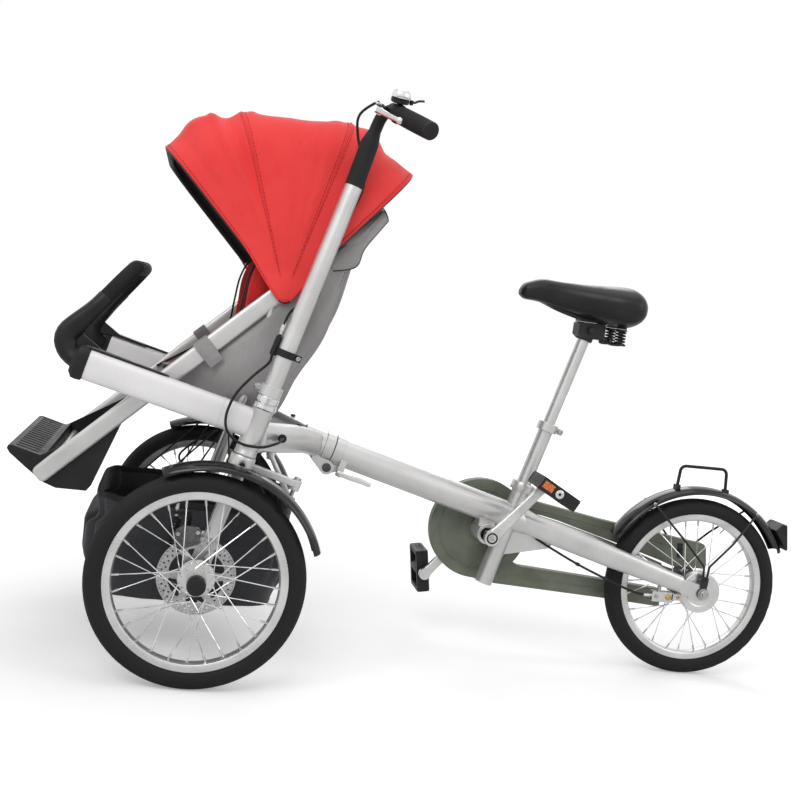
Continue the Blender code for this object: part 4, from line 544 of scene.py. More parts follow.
def weave(tree, where, pitch):
    """Height of a plain weave with the given thread pitch, from two crossed waves."""
    waves = []
    for direction in ("X", "Y"):
        node = tree.nodes.new("ShaderNodeTexWave")
        node.wave_type = "BANDS"
        node.bands_direction = direction
        node.wave_profile = "SIN"
        node.inputs["Scale"].default_value = 0.314 / pitch
        node.inputs["Distortion"].default_value = 0.6
        node.inputs["Detail"].default_value = 1.0
        link(tree, where, node.inputs["Vector"])
        waves.append(node.outputs["Fac"])
    return maths(tree, "MAXIMUM", waves[0], waves[1])


def cloth(name, dark, light, pitch=0.0011, depth=0.00016, sheen=0.25, rough=0.82, uv=True, crumple=0.0006):
    """Woven fabric: threads with painted shade in the gaps between them, slow colour variation and small
    creases.
    """
    material, tree, shader = new_material(name)
    where = coords(tree, "UV" if uv else "Object")
    place = coords(tree)
    threads = weave(tree, where, pitch)
    cloud = noise_node(tree, place, 7, 5)
    slub = noise_node(tree, coords(tree, "UV" if uv else "Object", (40, 600, 40)), 1.0, 2)
    tone = maths(tree, "ADD", maths(tree, "MULTIPLY", cloud, 0.7), maths(tree, "MULTIPLY", slub, 0.3))
    colour = ramp(tree, tone, [(0.34, dark), (0.66, light)])
    # Painted shade: the gaps between the threads are darkened towards a deeper copy of the dark colour.
    shade = tuple(c * 0.82 for c in dark)
    thread_gap_painted_shade = span(tree, threads, 0.35, 0.0, 0.25, 0.8)
    link(tree, mixed(tree, thread_gap_painted_shade, colour, shade), shader.inputs["Base Color"])
    link(tree, span(tree, cloud, rough - 0.06, rough + 0.08), shader.inputs["Roughness"])
    shader.inputs["Sheen Weight"].default_value = sheen
    shader.inputs["Sheen Roughness"].default_value = 0.45
    shader.inputs["Specular IOR Level"].default_value = 0.25
    creases = noise_node(tree, place, 26, 4, 0.6)
    node = tree.nodes.new("ShaderNodeBump")
    node.inputs["Distance"].default_value = crumple
    node.inputs["Strength"].default_value = 0.5
    link(tree, creases, node.inputs["Height"])
    bump(tree, shader, threads, depth, 0.7, node.outputs["Normal"])
    return material


SILVER = metal_paint("silver_paint", (0.545, 0.540, 0.535), (0.680, 0.674, 0.668), (0.26, 0.40), 0.65)
# A paler, nearly non-metallic copy of the silver paint for the upper rails: a painted highlight for the light
# they catch.
LIT_SILVER_PAINT = metal_paint("pale_rail_paint", (0.74, 0.725, 0.73), (0.84, 0.825, 0.83), (0.38, 0.55), 0.08, 0.1)
ALLOY = brushed("polished_alloy", (0.52, 0.515, 0.51), (0.74, 0.735, 0.73))
RIM_ALLOY = brushed("rim_alloy", (0.55, 0.545, 0.54), (0.76, 0.75, 0.745), (0.24, 0.38), 0.75)
CHROME = brushed("chrome", (0.62, 0.62, 0.63), (0.82, 0.82, 0.83), (0.08, 0.18), 1.0, (1, 1, 1), 60)
STEEL = brushed("steel", (0.34, 0.34, 0.345), (0.56, 0.555, 0.55), (0.25, 0.42), 0.9, (1, 1, 1), 220)
DARK_STEEL = brushed("dark_steel", (0.06, 0.06, 0.062), (0.15, 0.15, 0.15), (0.3, 0.5), 0.8, (1, 1, 1), 180)
BRASS = brushed("brass", (0.42, 0.27, 0.09), (0.66, 0.46, 0.18), (0.24, 0.42), 0.95, (1, 1, 1), 200)
BLACK = plastic("black_plastic", (0.0060, 0.0060, 0.0066), (0.0140, 0.0140, 0.0148))
SOFT_BLACK = plastic("black_rubber", (0.0070, 0.0070, 0.0072), (0.0170, 0.0165, 0.0165), (0.62, 0.82), 1800,
                     0.00010)
FOAM = plastic("black_foam", (0.0060, 0.0060, 0.0060), (0.0140, 0.0135, 0.0135), (0.72, 0.90), 2600, 0.00022)
TYRE = plastic("tyre_rubber", (0.0055, 0.0055, 0.0060), (0.0130, 0.0130, 0.0138), (0.62, 0.84), 900, 0.00010)
GLOSS = plastic("gloss_black", (0.004, 0.004, 0.0045), (0.008, 0.008, 0.009), (0.12, 0.22), 300, 0.00001,
                0.25)
HIDE = plastic("saddle_cover", (0.006, 0.006, 0.0068), (0.014, 0.014, 0.0152), (0.30, 0.44), 520, 0.00022)
OLIVE = plastic("olive_plastic", (0.112, 0.126, 0.092), (0.158, 0.174, 0.132), (0.34, 0.50), 1100, 0.00005)
RED = cloth("red_canvas", (0.88, 0.045, 0.045), (0.99, 0.082, 0.080))
GREY = cloth("grey_canvas", (0.285, 0.272, 0.272), (0.420, 0.405, 0.405))
DARK_CLOTH = cloth("dark_grey_canvas", (0.030, 0.031, 0.035), (0.066, 0.068, 0.074), 0.0010)
WEBBING = cloth("black_webbing", (0.008, 0.008, 0.009), (0.024, 0.024, 0.026), 0.0016, 0.00030)
RED_BINDING = cloth("red_binding", (0.76, 0.034, 0.034), (0.92, 0.060, 0.058), 0.0009, uv=False)
RED_THREAD = cloth("red_thread", (0.34, 0.008, 0.009), (0.50, 0.016, 0.016), 0.0006, uv=False)
RED_LINING = cloth("red_padding", (0.46, 0.010, 0.012), (0.66, 0.024, 0.024), 0.0009, uv=False)
RED_PLASTIC = plastic("red_plastic", (0.42, 0.010, 0.010), (0.58, 0.018, 0.016))
GREY_BINDING = cloth("grey_binding", (0.260, 0.248, 0.248), (0.385, 0.372, 0.372), 0.0009, uv=False)
BLACK_BINDING = cloth("black_binding", (0.010, 0.010, 0.011), (0.028, 0.028, 0.030), 0.0009, uv=False)
PIPING = cloth("dark_piping", (0.014, 0.013, 0.014), (0.040, 0.038, 0.040), 0.0008, uv=False)


def lens_material(name, dark, light):
    """Coloured reflector: a grid of small prisms under a smooth face; each prism is painted lighter at its
    centre as a painted glint and darker at its edges as painted shade.
    """
    material, tree, shader = new_material(name)
    node = tree.nodes.new("ShaderNodeTexVoronoi")
    node.inputs["Scale"].default_value = 420
    link(tree, coords(tree), node.inputs["Vector"])
    # Painted glint and painted shade: the light colour at each prism centre, the dark colour towards its
    # edges.
    link(tree, ramp(tree, node.outputs["Distance"], [(0.1, light), (0.75, dark)]),
         shader.inputs["Base Color"])
    link(tree, span(tree, node.outputs["Distance"], 0.06, 0.22, 0.0, 0.8), shader.inputs["Roughness"])
    shader.inputs["Coat Weight"].default_value = 0.8
    bump(tree, shader, node.outputs["Distance"], 0.0004, 0.8)
    return material


# Each reflector's own colour, with its lighter tone as the painted glint and its darker tone as the painted
# shade.
LENS_RED = lens_material("red_reflector", (0.16, 0.002, 0.003), (0.62, 0.012, 0.012))
LENS_AMBER = lens_material("amber_reflector", (0.42, 0.07, 0.004), (0.95, 0.26, 0.02))


def applied(obj):
    """The object with its modifiers baked into its mesh."""
    graph = bpy.context.evaluated_depsgraph_get()
    mesh = bpy.data.meshes.new_from_object(obj.evaluated_get(graph))
    old = obj.data
    obj.modifiers.clear()
    obj.data = mesh
    bpy.data.meshes.remove(old)
    return obj


def drilled(obj, cutter):
    """The object less a cutter shape."""
    tool = make(obj.name + "_tool", cutter, [], angle=0)
    mod = obj.modifiers.new("holes", "BOOLEAN")
    mod.object = tool
    mod.operation = "DIFFERENCE"
    mod.solver = "EXACT"
    applied(obj)
    mesh = tool.data
    bpy.data.objects.remove(tool)
    bpy.data.meshes.remove(mesh)
    obj.data.shade_smooth()
    obj.data.set_sharp_from_angle(angle=math.radians(35))
    return obj


def holes(centre, radius, count, hole_r, half, axis=Y, steps=12, phase=0.0):
    cutter = Shape()
    axis, u, v = frame_on(axis)
    for i in range(count):
        a = math.tau * (i + phase) / count
        at = Vector(centre) + (u * math.cos(a) + v * math.sin(a)) * radius
        cutter.rod(at - axis * half, at + axis * half, hole_r, steps)
    return cutter


RIM_W = 0.025
FLANGE_R, HUB_INNER = 0.0335, 0.0355
DISC_R, DISC_T = 0.070, 0.0018


def tyre_shape(centre):
    """A street tyre: ribbed centre, sipes across the shoulders and a moulded bead line."""
    steps = 216
    crown = [(0.1919, 0.0), (0.1919, 0.0022), (0.1909, 0.0026), (0.1909, 0.0036), (0.1917, 0.0040),
             (0.1912, 0.0072), (0.1900, 0.0077), (0.1899, 0.0088), (0.1904, 0.0093), (0.1890, 0.0125),
             (0.1868, 0.0158), (0.1852, 0.0168), (0.1838, 0.0180), (0.1790, 0.0198), (0.1735, 0.02045),
             (0.1690, 0.0202), (0.1662, 0.0192), (0.1655, 0.0196), (0.1642, 0.0190), (0.1625, 0.0168),
             (0.1605, 0.0140), (0.1592, 0.0120)]
    right = crown[::-1]
    left = [(r, -h) for r, h in crown[1:]]

    def sipe(r, h, i):
        k = i % 6
        if r > 0.180 and 0.0095 < abs(h) < 0.0175 and k in (0, 1):
            return -0.0011
        if 0.0042 < abs(h) < 0.0070 and k == 3:
            return -0.0009
        return 0.0

    return Shape().turned(right + left, centre, Y, steps, closed=True, wobble=sipe)


def rim_shape(centre, wall=RIM_W / 2):
    profile = [(0.1612, wall), (0.1618, wall - 0.0006), (0.1618, wall - 0.0018), (0.1602, wall - 0.0028),
               (0.1560, wall - 0.0042), (0.1535, 0.0)]
    outer = profile + [(r, -h) for r, h in profile[-2::-1]]
    inner = [(0.1475, -wall + 0.0004), (0.1462, -wall + 0.0012), (0.1442, -0.0070), (0.1437, -0.0030)]
    inner = [(0.1530, -wall - 0.0001), (0.1500, -wall + 0.0002)] + inner
    inner = inner + [(r, -h) for r, h in inner[::-1]]
    return Shape().turned(outer + inner, centre, Y, 120, closed=True)


def spokes_shape(centre, flanges, count=14, cross=math.tau / 7, twist=0.0):
    """Laced spokes with their elbows at the flange and nipples at the rim; m1 is the nipple."""
    shape = Shape()
    tip_r = 0.1440
    for side, (h, reach) in enumerate(flanges):
        for i in range(count):
            start = math.tau * (i + 0.5 * side) / count + twist
            lean = cross if i % 2 else -cross
            lift = 0.0016 if i % 2 else -0.0016
            a, b = start, start + lean
            foot = centre + Vector((math.cos(a), 0, math.sin(a))) * reach + Y * (h + lift)
            tip = centre + Vector((math.cos(b), 0, math.sin(b))) * tip_r + Y * (0.004 if h > 0 else -0.004)
            inward = (centre - foot)
            inward.y = 0
            head = foot - Y * lift * 2.2
            elbow = [head, foot + inward.normalized() * 0.0006, foot.lerp(tip, 0.03), foot.lerp(tip, 0.93)]
            shape.tube(elbow, 0.00105, sides=6, up=Y)
            shape.ball(head, 0.0019, steps=8, axis=Y, squash=0.55)
            near = foot.lerp(tip, 0.90)
            shape.tube([near, foot.lerp(tip, 0.915), tip + (tip - foot).normalized() * 0.001],
                       [0.0013, 0.0021, 0.0021], None, 6, Y, 1)
    return shape


def front_hub_object(name, side):
    """High-flange hub shell with drilled flanges and a silver ring outside; the black cap is made in
    add_front_wheels.
    """
    centre = Vector((0, side * TRACK / 2, WHEEL_R))
    out = Y * side
    shell = Shape()
    shell.turned([(0.0, 0.0235), (0.0175, 0.0235), (0.0175, -0.0225), (0.0220, -0.0232), (0.0220, -0.0353),
                  (0.0, -0.0353)], centre, out, 48)
    shell.hoop(centre + out * 0.0285, Y, 0.0165, FLANGE_R, 0.0030, 56, edge=0.0007)
    shell.hoop(centre - out * 0.0205, Y, 0.0165, FLANGE_R, 0.0030, 56, edge=0.0007)
    shell.turned([(0.0245, 0.0298), (0.0245, 0.0315), (0.0225, 0.0335), (0.0190, 0.0342), (0.0172, 0.0342),
                  (0.0172, 0.0298)], centre, out, 48, closed=True)
    hub = make(name, shell, [ALLOY], bevel=0)
    cutter = holes(centre + out * 0.0285, 0.0292, 14, 0.00185, 0.004)
    cutter.add(holes(centre - out * 0.0205, 0.0292, 14, 0.00185, 0.004, phase=0.5))
    cutter.add(holes(centre + out * 0.0285, 0.0232, 7, 0.0030, 0.004, phase=0.25))
    return drilled(hub, cutter)


def disc_object(name, side):
    centre = Vector((0, side * (TRACK / 2 - HUB_INNER - 0.0012), WHEEL_R))
    plate = Shape().hoop(centre, Y, 0.0225, DISC_R, DISC_T, 96, edge=0.0002)
    disc = make(name, plate, [STEEL])
    cutter = Shape()
    for i in range(6):
        start = math.tau * i / 6 + 0.16
        rim = [(0.0500, 0.06), (0.0505, 0.20), (0.0505, 0.45), (0.0500, 0.72), (0.0475, 0.80), (0.0320, 0.62),
               (0.0300, 0.50), (0.0300, 0.20), (0.0325, 0.12), (0.0470, 0.0)]
        pts = [(centre.x + r * math.cos(start + t), centre.z + r * math.sin(start + t)) for r, t in rim]
        cutter.prism(pts, centre.y - 0.003, centre.y + 0.003)
    cutter.add(holes(centre, 0.0555, 30, 0.0019, 0.003, steps=8))
    cutter.add(holes(centre, 0.0615, 30, 0.0019, 0.003, steps=8, phase=0.5))
    cutter.add(holes(centre, 0.0665, 60, 0.0012, 0.003, steps=6))
    return drilled(disc, cutter)


def add_front_wheels():
    for name, side in SIDES.items():
        body = name + "_wheel"
        centre = Vector((0, side * TRACK / 2, WHEEL_R))
        out = Y * side
        piece("tyre_tread_" + name, body, tyre_shape(centre), TYRE, "rubber", ["front_tyre_" + name],
              angle=28)
        piece("rim_polished_" + name, body, rim_shape(centre), RIM_ALLOY, "alloy", ["front_rim_" + name],
              angle=30)
        piece("spokes_" + name, body, spokes_shape(centre, [(side * 0.0285, 0.0292),
                                                            (-side * 0.0205, 0.0292)]),
              [CHROME, ALLOY], "alloy", angle=40)
        hub = front_hub_object("hub_shell_" + name, side)
        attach(hub, body)
        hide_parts("front_hub_" + name)
        cap = Shape().turned([(0.0, 0.0440), (0.0100, 0.0439), (0.0140, 0.0432), (0.0158, 0.0412),
                              (0.0166, 0.0380), (0.0168, 0.0300), (0.0, 0.0300)], centre, out, 48)
        piece("hub_cap_" + name, body, cap, BLACK, "black", angle=32)
        disc = disc_object("brake_rotor_" + name, side)
        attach(disc, body)
        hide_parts("brake_disc_" + name)
        bolts = Shape()
        face = centre - out * (HUB_INNER + 0.0022)
        for i in range(6):
            a = math.tau * (i + 0.5) / 6
            at = face + Vector((math.cos(a), 0, math.sin(a))) * 0.0250
            bolts.screw(at, -out, 0.0036, 0.0024)
        piece("rotor_bolts_" + name, body, bolts, DARK_STEEL, "steel")
        valve_at = centre + Vector((math.cos(1.1), 0, math.sin(1.1))) * 0.1445
        inward = (centre - valve_at).normalized()
        valve = Shape().tube([valve_at - inward * 0.002, valve_at + inward * 0.004,
                              valve_at + inward * 0.0045,
                              valve_at + inward * 0.022, valve_at + inward * 0.026],
                             [0.0048, 0.0048, 0.0036, 0.0036, 0.0030], None, 14, Y)
        piece("valve_" + name, body, valve, SOFT_BLACK, "rubber")


def fork_object(name, side):
    """Crown, straight leg, dropout plate, stub axle with its nut, and steering arm."""
    s = Shape()
    s.rod(steer_point(0.403), steer_point(0.497), 0.0125, 24)
    s.turned([(0.0, 0.0), (0.0205, 0.0), (0.0225, 0.0022), (0.0225, 0.0205), (0.0212, 0.0238), (0.0, 0.0238)],
             steer_point(0.390), STEER_AXIS, 48)
    s.rod(steer_point(0.246), steer_point(0.394), 0.0145, 40)
    s.turned([(0.0150, -0.002), (0.0166, 0.0), (0.0166, 0.003), (0.0150, 0.005)], steer_point(0.386),
             STEER_AXIS,
             40, closed=True)
    plate = [(-0.017, 0.186), (-0.012, 0.179), (0.000, 0.176), (0.012, 0.179), (0.0175, 0.188),
             (0.023, 0.215),
             (0.0335, 0.258), (0.030, 0.266), (0.002, 0.270), (-0.004, 0.264), (-0.010, 0.225)]
    s.prism(plate, -STEER_Y - 0.004, -STEER_Y + 0.004)
    arm0 = steer_point(0.398)
    arm1 = arm0 + STEER_REAR * 0.105
    s.bar(arm0, arm1, 0.012, 0.018, STEER_AXIS)
    s.rod(arm1 - STEER_AXIS * 0.012, arm1 + STEER_AXIS * 0.0075, 0.0095, 28)
    fork = make(name, s.sided(side), [SILVER], bevel=0.0011)
    t = Shape()
    axle = Vector((0, -STEER_Y, WHEEL_R))
    t.rod(axle + Y * 0.012, Vector((0, -TRACK / 2 + 0.036, WHEEL_R)), 0.0058, 20)
    t.rod(axle - Y * 0.004, Vector((0, -TRACK / 2 + 0.0385, WHEEL_R)), 0.0118, 32)
    t.hex(axle + Y * 0.0042, axle + Y * 0.0120, 0.0105)
    t.rod(axle + Y * 0.0040, axle + Y * 0.0052, 0.0128, 28)
    t.rod(arm1 - STEER_AXIS * 0.040, arm1 + STEER_AXIS * 0.0125, 0.0040, 18)
    t.hex(arm1 + STEER_AXIS * 0.0078, arm1 + STEER_AXIS * 0.0125, 0.0068)
    t.hex(arm1 - STEER_AXIS * 0.0365, arm1 - STEER_AXIS * 0.0415, 0.0066)
    t.screw(steer_point(0.402) - Y * 0.022, -Y, 0.0060, 0.005)
    bolts = make(name + "_hardware", t.sided(side), [STEEL])
    return fork, bolts


def ball_point(side=-1):
    return steer_point(0.398, side) + STEER_REAR * 0.105 - STEER_AXIS * 0.030


def caliper_objects(name, side):
    """Caliper body with a triangular back plate, piston, arm and the exposed return spring."""
    disc_y = -TRACK / 2 + HUB_INNER + 0.0012
    shell = Shape()
    outer = [(-0.040, 0.236), (-0.014, 0.246), (-0.001, 0.251), (-0.001, 0.276), (-0.006, 0.281),
             (-0.034, 0.282), (-0.044, 0.274), (-0.048, 0.262)]
    shell.prism(outer, disc_y - 0.0085, disc_y - 0.0030)
    shell.prism(outer, disc_y + 0.0030, -STEER_Y - 0.0048)
    shell.prism([(-0.034, 0.2655), (-0.006, 0.2655), (-0.006, 0.281), (-0.034, 0.282)], disc_y - 0.0085,
                -STEER_Y - 0.0048)
    body = make(name, shell.sided(side), [DARK_STEEL], bevel=0.0012)
    cut = Shape()
    cut.prism([(-0.036, 0.2450), (-0.022, 0.2490), (-0.012, 0.2540), (-0.014, 0.2600), (-0.036, 0.2600)],
              disc_y - 0.0100, disc_y - 0.0065)
    applied(body)
    drilled(body, cut.sided(side))
    parts = Shape()
    piston_y = -STEER_Y + 0.004 + 0.0145
    parts.turned([(0.0, -0.012), (0.0125, -0.012), (0.0125, 0.0080), (0.0108, 0.0100), (0.0060, 0.0100),
                  (0.0056, 0.0062), (0.0, 0.0060)], Vector((-0.022, piston_y - 0.004, 0.264)), Y, 36, 1)
    parts.bar((-0.022, piston_y - 0.004, 0.262), (-0.022, piston_y - 0.004, 0.2990), 0.007, 0.006, X, 1)
    parts.bar((-0.019, piston_y - 0.004, 0.2960), (-0.052, piston_y - 0.004, 0.2960), 0.006, 0.007, Z, 1)
    parts.bar((0.001, -STEER_Y + 0.0083, 0.262), (-0.014, -STEER_Y + 0.0083, 0.262), 0.020, 0.008, Z, 1)
    parts.screw((-0.0060, disc_y - 0.0085, 0.2715), -Y, 0.0036, 0.0030, 0)
    parts.screw((-0.0400, disc_y - 0.0085, 0.2660), -Y, 0.0036, 0.0030, 0)
    foot = Vector((-0.046, -0.2500, 0.228))
    parts.coil(foot + Z * 0.0060, 0.0082, 0.0019, 8, 0.0465, 20, 1)
    parts.rod(foot, foot + Z * 0.0715, 0.0030, 16, m=0)
    parts.turned([(0, 0), (0.0090, 0), (0.0096, 0.001), (0.0096, 0.0045), (0.006, 0.0060), (0, 0.0060)],
                 foot + Z * 0.0015, Z, 24, 1)
    parts.turned([(0, 0), (0.0096, 0), (0.0096, 0.0050), (0.0060, 0.0075), (0.0040, 0.0080), (0, 0.0080)],
                 foot + Z * 0.0525, Z, 24, 1)
    parts.bar(foot + Z * 0.005, (-0.034, disc_y + 0.0075, 0.247), 0.006, 0.009, Z, 1)
    extras = make(name + "_actuator", parts.sided(side), [STEEL, BLACK], bevel=0.0004)
    return body, extras


FENDER_HALF = 0.028


def fender_shape(centre, radius, start_deg, end_deg, steps, ribs=True):
    """A crowned strip with a low raised rib along each side."""
    grid = []
    count = 14
    for i in range(steps + 1):
        t = i / steps
        a = math.radians(start_deg + (end_deg - start_deg) * t)
        out = Vector((math.cos(a), 0, math.sin(a)))
        ease = min(1.0, 9 * t, 9 * (1 - t)) ** 0.5
        row_out, row_in = [], []
        for j in range(count + 1):
            s = 2 * j / count - 1
            y = FENDER_HALF * math.sin(s * math.pi / 2) * (0.82 + 0.18 * ease)
            drop = -0.0122 * (1 - math.cos(s * math.pi / 2)) ** 0.85
            if ribs and 0.30 < abs(s) < 0.50:
                drop += 0.0006
            row_out.append(centre + out * (radius + drop) + Y * y)
            row_in.append(centre + out * (radius + drop - 0.0024) + Y * y * 0.93)
        grid.append(row_out + row_in[::-1])
    return Shape().loft(grid)


def add_forks():
    for name, side in SIDES.items():
        body = name + "_steer"
        fork, bolts = fork_object("fork_crown_leg_" + name, side)
        for obj, slot_name in ((fork, "silver"), (bolts, "steel")):
            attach(obj, body)
        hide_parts("fork_" + name)
        cal, extras = caliper_objects("caliper_body_" + name, side)
        for obj, slot_name in ((cal, "alloy"), (extras, "alloy")):
            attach(obj, body)
        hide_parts("caliper_" + name)
        centre = Vector((0.011, -TRACK / 2, WHEEL_R + 0.003))
        fender = fender_shape(centre, 0.2105, 116, 19, 44)
        at = steer_point(0.398)
        fender.rod(Vector((at.x, -STEER_Y - 0.0226, at.z)), Vector((at.x, -TRACK / 2 + 0.020, at.z)),
                   0.0058, 24)
        piece("mudguard_" + name, body, fender.sided(side), GLOSS, "gloss_black", ["front_fender_" + name],
              angle=50)
    rod = Shape()
    ends = [ball_point(side) for side in (-1, 1)]
    inset = Y * 0.008
    rod.rod(ends[0] + inset, ends[1] - inset, 0.0055, 24)
    for i, end in enumerate(ends):
        rod.turned([(0.0046, -0.0055), (0.0085, -0.0055), (0.0095, -0.004), (0.0095, 0.004), (0.0085, 0.0055),
                    (0.0046, 0.0055)], end, STEER_AXIS, 32, 0, closed=True)
        near = end + (inset if i == 0 else -inset)
        rod.hex(near + (Y if i == 0 else -Y) * 0.010, near + (Y if i == 0 else -Y) * 0.018, 0.0078, 1)
    piece("track_rod", "tie_rod", rod, [STEEL, ALLOY], "steel", ["tie_rod"])


GRIP_START = Vector((0.2501, -0.2850, 1.0418))
GRIP_DIR = Vector((0.37901, -0.87403, -0.30401)).normalized()
GRIP_L, BAR_R, POST_R = 0.118, 0.011, 0.016
LEVER_PIVOT = Vector((0.21779, -0.2884, 1.04418))
LEVER_UP = Vector((0.10038, -0.28775, 0.95243)).normalized()
LEVER_FORWARD = Vector((-0.91993, -0.3915, -0.02133)).normalized()
BELL_AT = Vector((0.24996, -0.28755, 1.06045))
BELL_UP = Vector((0.06409, -0.30294, 0.95085)).normalized()
BELL_R = 0.0178
FOOT = steer_point(0.4985) + STEER_AXIS * 0.0003
CALIPER_SPRING = Vector((-0.046, -0.2500, 0.228))


def bar_point(distance):
    return GRIP_START + GRIP_DIR * distance


def post_route():
    route = bent([FOOT + STEER_AXIS * 0.004, steer_point(0.912), Vector((0.2100, -0.2620, 0.9850)),
                  bar_point(-0.048), bar_point(GRIP_L - 0.010)], 0.024, 8)
    return route


def post_shape():
    """Drawn aluminium post with a thin groove down its rear flank."""
    s = Shape()
    route = [FOOT + STEER_AXIS * 0.004, steer_point(0.908)]
    sides = 72
    rings = []
    for p in route:
        ring = []
        for i in range(sides):
            a = math.tau * i / sides
            away = STEER_REAR * math.cos(a) - Y * math.sin(a)
            groove = abs(math.degrees(a) - 52)
            ring.append(p + away * (POST_R - (0.0009 if groove < 4 else 0)))
        rings.append(ring)
    s.loft(rings)
    return s


def upper_bar_shape():
    """The bent black-sleeved top of the post and the plain bar inside the controls."""
    route = post_route()
    kept = [p for p in route if p.z > 0.9115 or p.y < -0.2655]
    kept = [steer_point(0.9085)] + [p for p in kept if p.z > 0.909]
    line = even(kept, 0.005)
    radii = []
    for p in line:
        if p.z < 0.9125 and p.y > -0.27:
            radii.append(0.0172)
        elif p.z < 1.000 and p.y > -0.275:
            radii.append(POST_R + 0.0006)
        else:
            radii.append(BAR_R)
    smoothed = [sum(radii[max(0, i - 2):i + 3]) / len(radii[max(0, i - 2):i + 3]) for i in range(len(radii))]
    return Shape().tube(line, smoothed, smoothed, 40, X)


def grip_shape():
    """Moulded grip: inner collar, rings of fine ribs and a domed end."""
    profile = [(0.0, -0.0002), (0.0165, -0.0002), (0.0173, 0.0008), (0.0173, 0.0036), (0.0160, 0.0046),
               (0.0152, 0.0060)]
    at = 0.0075
    while at < GRIP_L - 0.012:
        swell = 0.0005 * math.sin(math.pi * at / GRIP_L)
        profile += [(0.0151 + swell, at), (0.0157 + swell, at + 0.0006), (0.0157 + swell, at + 0.0020),
                    (0.0151 + swell, at + 0.0026)]
        at += 0.0036
    profile += [(0.0152, GRIP_L - 0.009), (0.0158, GRIP_L - 0.0075), (0.0158, GRIP_L - 0.0035),
                (0.0142, GRIP_L - 0.0010), (0.0060, GRIP_L), (0.0, GRIP_L)]
    return Shape().turned(profile, GRIP_START, GRIP_DIR, 48)


def adjuster_ends():
    start = bar_point(-0.0135) + LEVER_FORWARD * (BAR_R + 0.012) + LEVER_UP * 0.001
    return start, start - GRIP_DIR * 0.018 + LEVER_UP * 0.003


def bracket_shape():
    """Brake lever bracket: split clamp, arched body with two ears, and its bolt. m1 brass, m2 steel."""
    s = Shape()
    s.hoop(bar_point(-0.0135), GRIP_DIR, BAR_R + 0.0002, BAR_R + 0.0042, 0.0115, 48, edge=0.0008)
    root = bar_point(-0.0135) + LEVER_FORWARD * (BAR_R + 0.002)
    s.tube([root - LEVER_FORWARD * 0.002, root + LEVER_FORWARD * 0.006, root + LEVER_FORWARD * 0.013],
           [0.0066, 0.0060, 0.0070], [0.0058, 0.0050, 0.0054], 20, LEVER_UP, power=3)
    for sign in (-1, 1):
        lift = LEVER_UP * sign * 0.0063
        s.tube([root + LEVER_FORWARD * 0.008 + lift, LEVER_PIVOT + lift * 1.0 - LEVER_FORWARD * 0.002,
                LEVER_PIVOT + LEVER_FORWARD * 0.0075 + lift],
               [0.0014, 0.0014, 0.0012], [0.0065, 0.0075, 0.0045], 16, LEVER_UP, power=4)
    s.screw(LEVER_PIVOT + LEVER_UP * 0.0076, LEVER_UP, 0.0042, 0.0030, 2)
    s.hex(LEVER_PIVOT - LEVER_UP * 0.0076, LEVER_PIVOT - LEVER_UP * 0.0104, 0.0044, 2)
    a, b = adjuster_ends()
    run = (b - a).normalized()
    s.turned([(0.0, -0.004), (0.0030, -0.004), (0.0030, 0.004), (0.0052, 0.0042), (0.0052, 0.0072),
              (0.0036, 0.0074), (0.0036, 0.0105), (0.0044, 0.0108), (0.0044, 0.0165), (0.0030, 0.0180),
              (0.0, 0.0180)], a, run, 18, 1)
    return s


def lever_shape():
    """Cast blade lever with a ball end."""
    s = Shape()
    s.turned([(0.0, -0.0047), (0.0058, -0.0047), (0.0062, -0.0040), (0.0062, 0.0040), (0.0058, 0.0047),
              (0.0, 0.0047)], LEVER_PIVOT, LEVER_UP, 32)
    marks = [LEVER_PIVOT, LEVER_PIVOT + GRIP_DIR * 0.008 + LEVER_FORWARD * 0.008,
             LEVER_PIVOT + GRIP_DIR * 0.020 + LEVER_FORWARD * 0.0105,
             LEVER_PIVOT + GRIP_DIR * 0.050 + LEVER_FORWARD * 0.0125,
             LEVER_PIVOT + GRIP_DIR * 0.084 + LEVER_FORWARD * 0.010]
    line = smooth(marks, 8)
    n = len(line) - 1
    tall = [0.0040 + 0.0012 * math.sin(math.pi * min(1, i / n)) for i in range(n + 1)]
    deep = [0.0052 - 0.0020 * (i / n) for i in range(n + 1)]
    s.tube(line, tall, deep, 18, LEVER_UP, power=2.8)
    s.ball(marks[-1] + GRIP_DIR * 0.001, 0.0062, axis=GRIP_DIR, steps=24)
    return s


def bell_shape():
    """Pressed dome on a black base with its clamp. m0 chrome, m1 black."""
    s = Shape()
    s.turned([(0.0, 0.0098), (BELL_R - 0.0008, 0.0098), (BELL_R, 0.0102), (BELL_R, 0.0122),
              (BELL_R * 0.985, 0.0150),
              (BELL_R * 0.93, 0.0185), (BELL_R * 0.82, 0.0220), (BELL_R * 0.64, 0.0250), (BELL_R * 0.40,
                                                                                          0.0270),
              (BELL_R * 0.20, 0.0277), (0.0032, 0.0280), (0.0030, 0.0290), (0.0,
                                                                            0.0294)], BELL_AT, BELL_UP, 64)
    s.turned([(0.0, 0.0), (BELL_R - 0.003, 0.0), (BELL_R - 0.0016, 0.0012), (BELL_R - 0.0012, 0.0072),
              (BELL_R - 0.003, 0.0088), (0.0, 0.0088)], BELL_AT, BELL_UP, 48, 1)
    s.turned([(0.0, 0.0086), (0.008, 0.0086), (0.008, 0.0100), (0.0, 0.0100)], BELL_AT, BELL_UP, 24, 1)
    s.hoop(bar_point(-0.0035), GRIP_DIR, BAR_R + 0.0002, BAR_R + 0.0040, 0.0068, 40, 1, 0.0006)
    s.rod(BELL_AT - BELL_UP * 0.0060, BELL_AT + BELL_UP * 0.001, 0.0042, 20, m=1)
    return s


BELL_LEVER_PIVOT = Vector((0.27058, -0.28861, 1.06378))


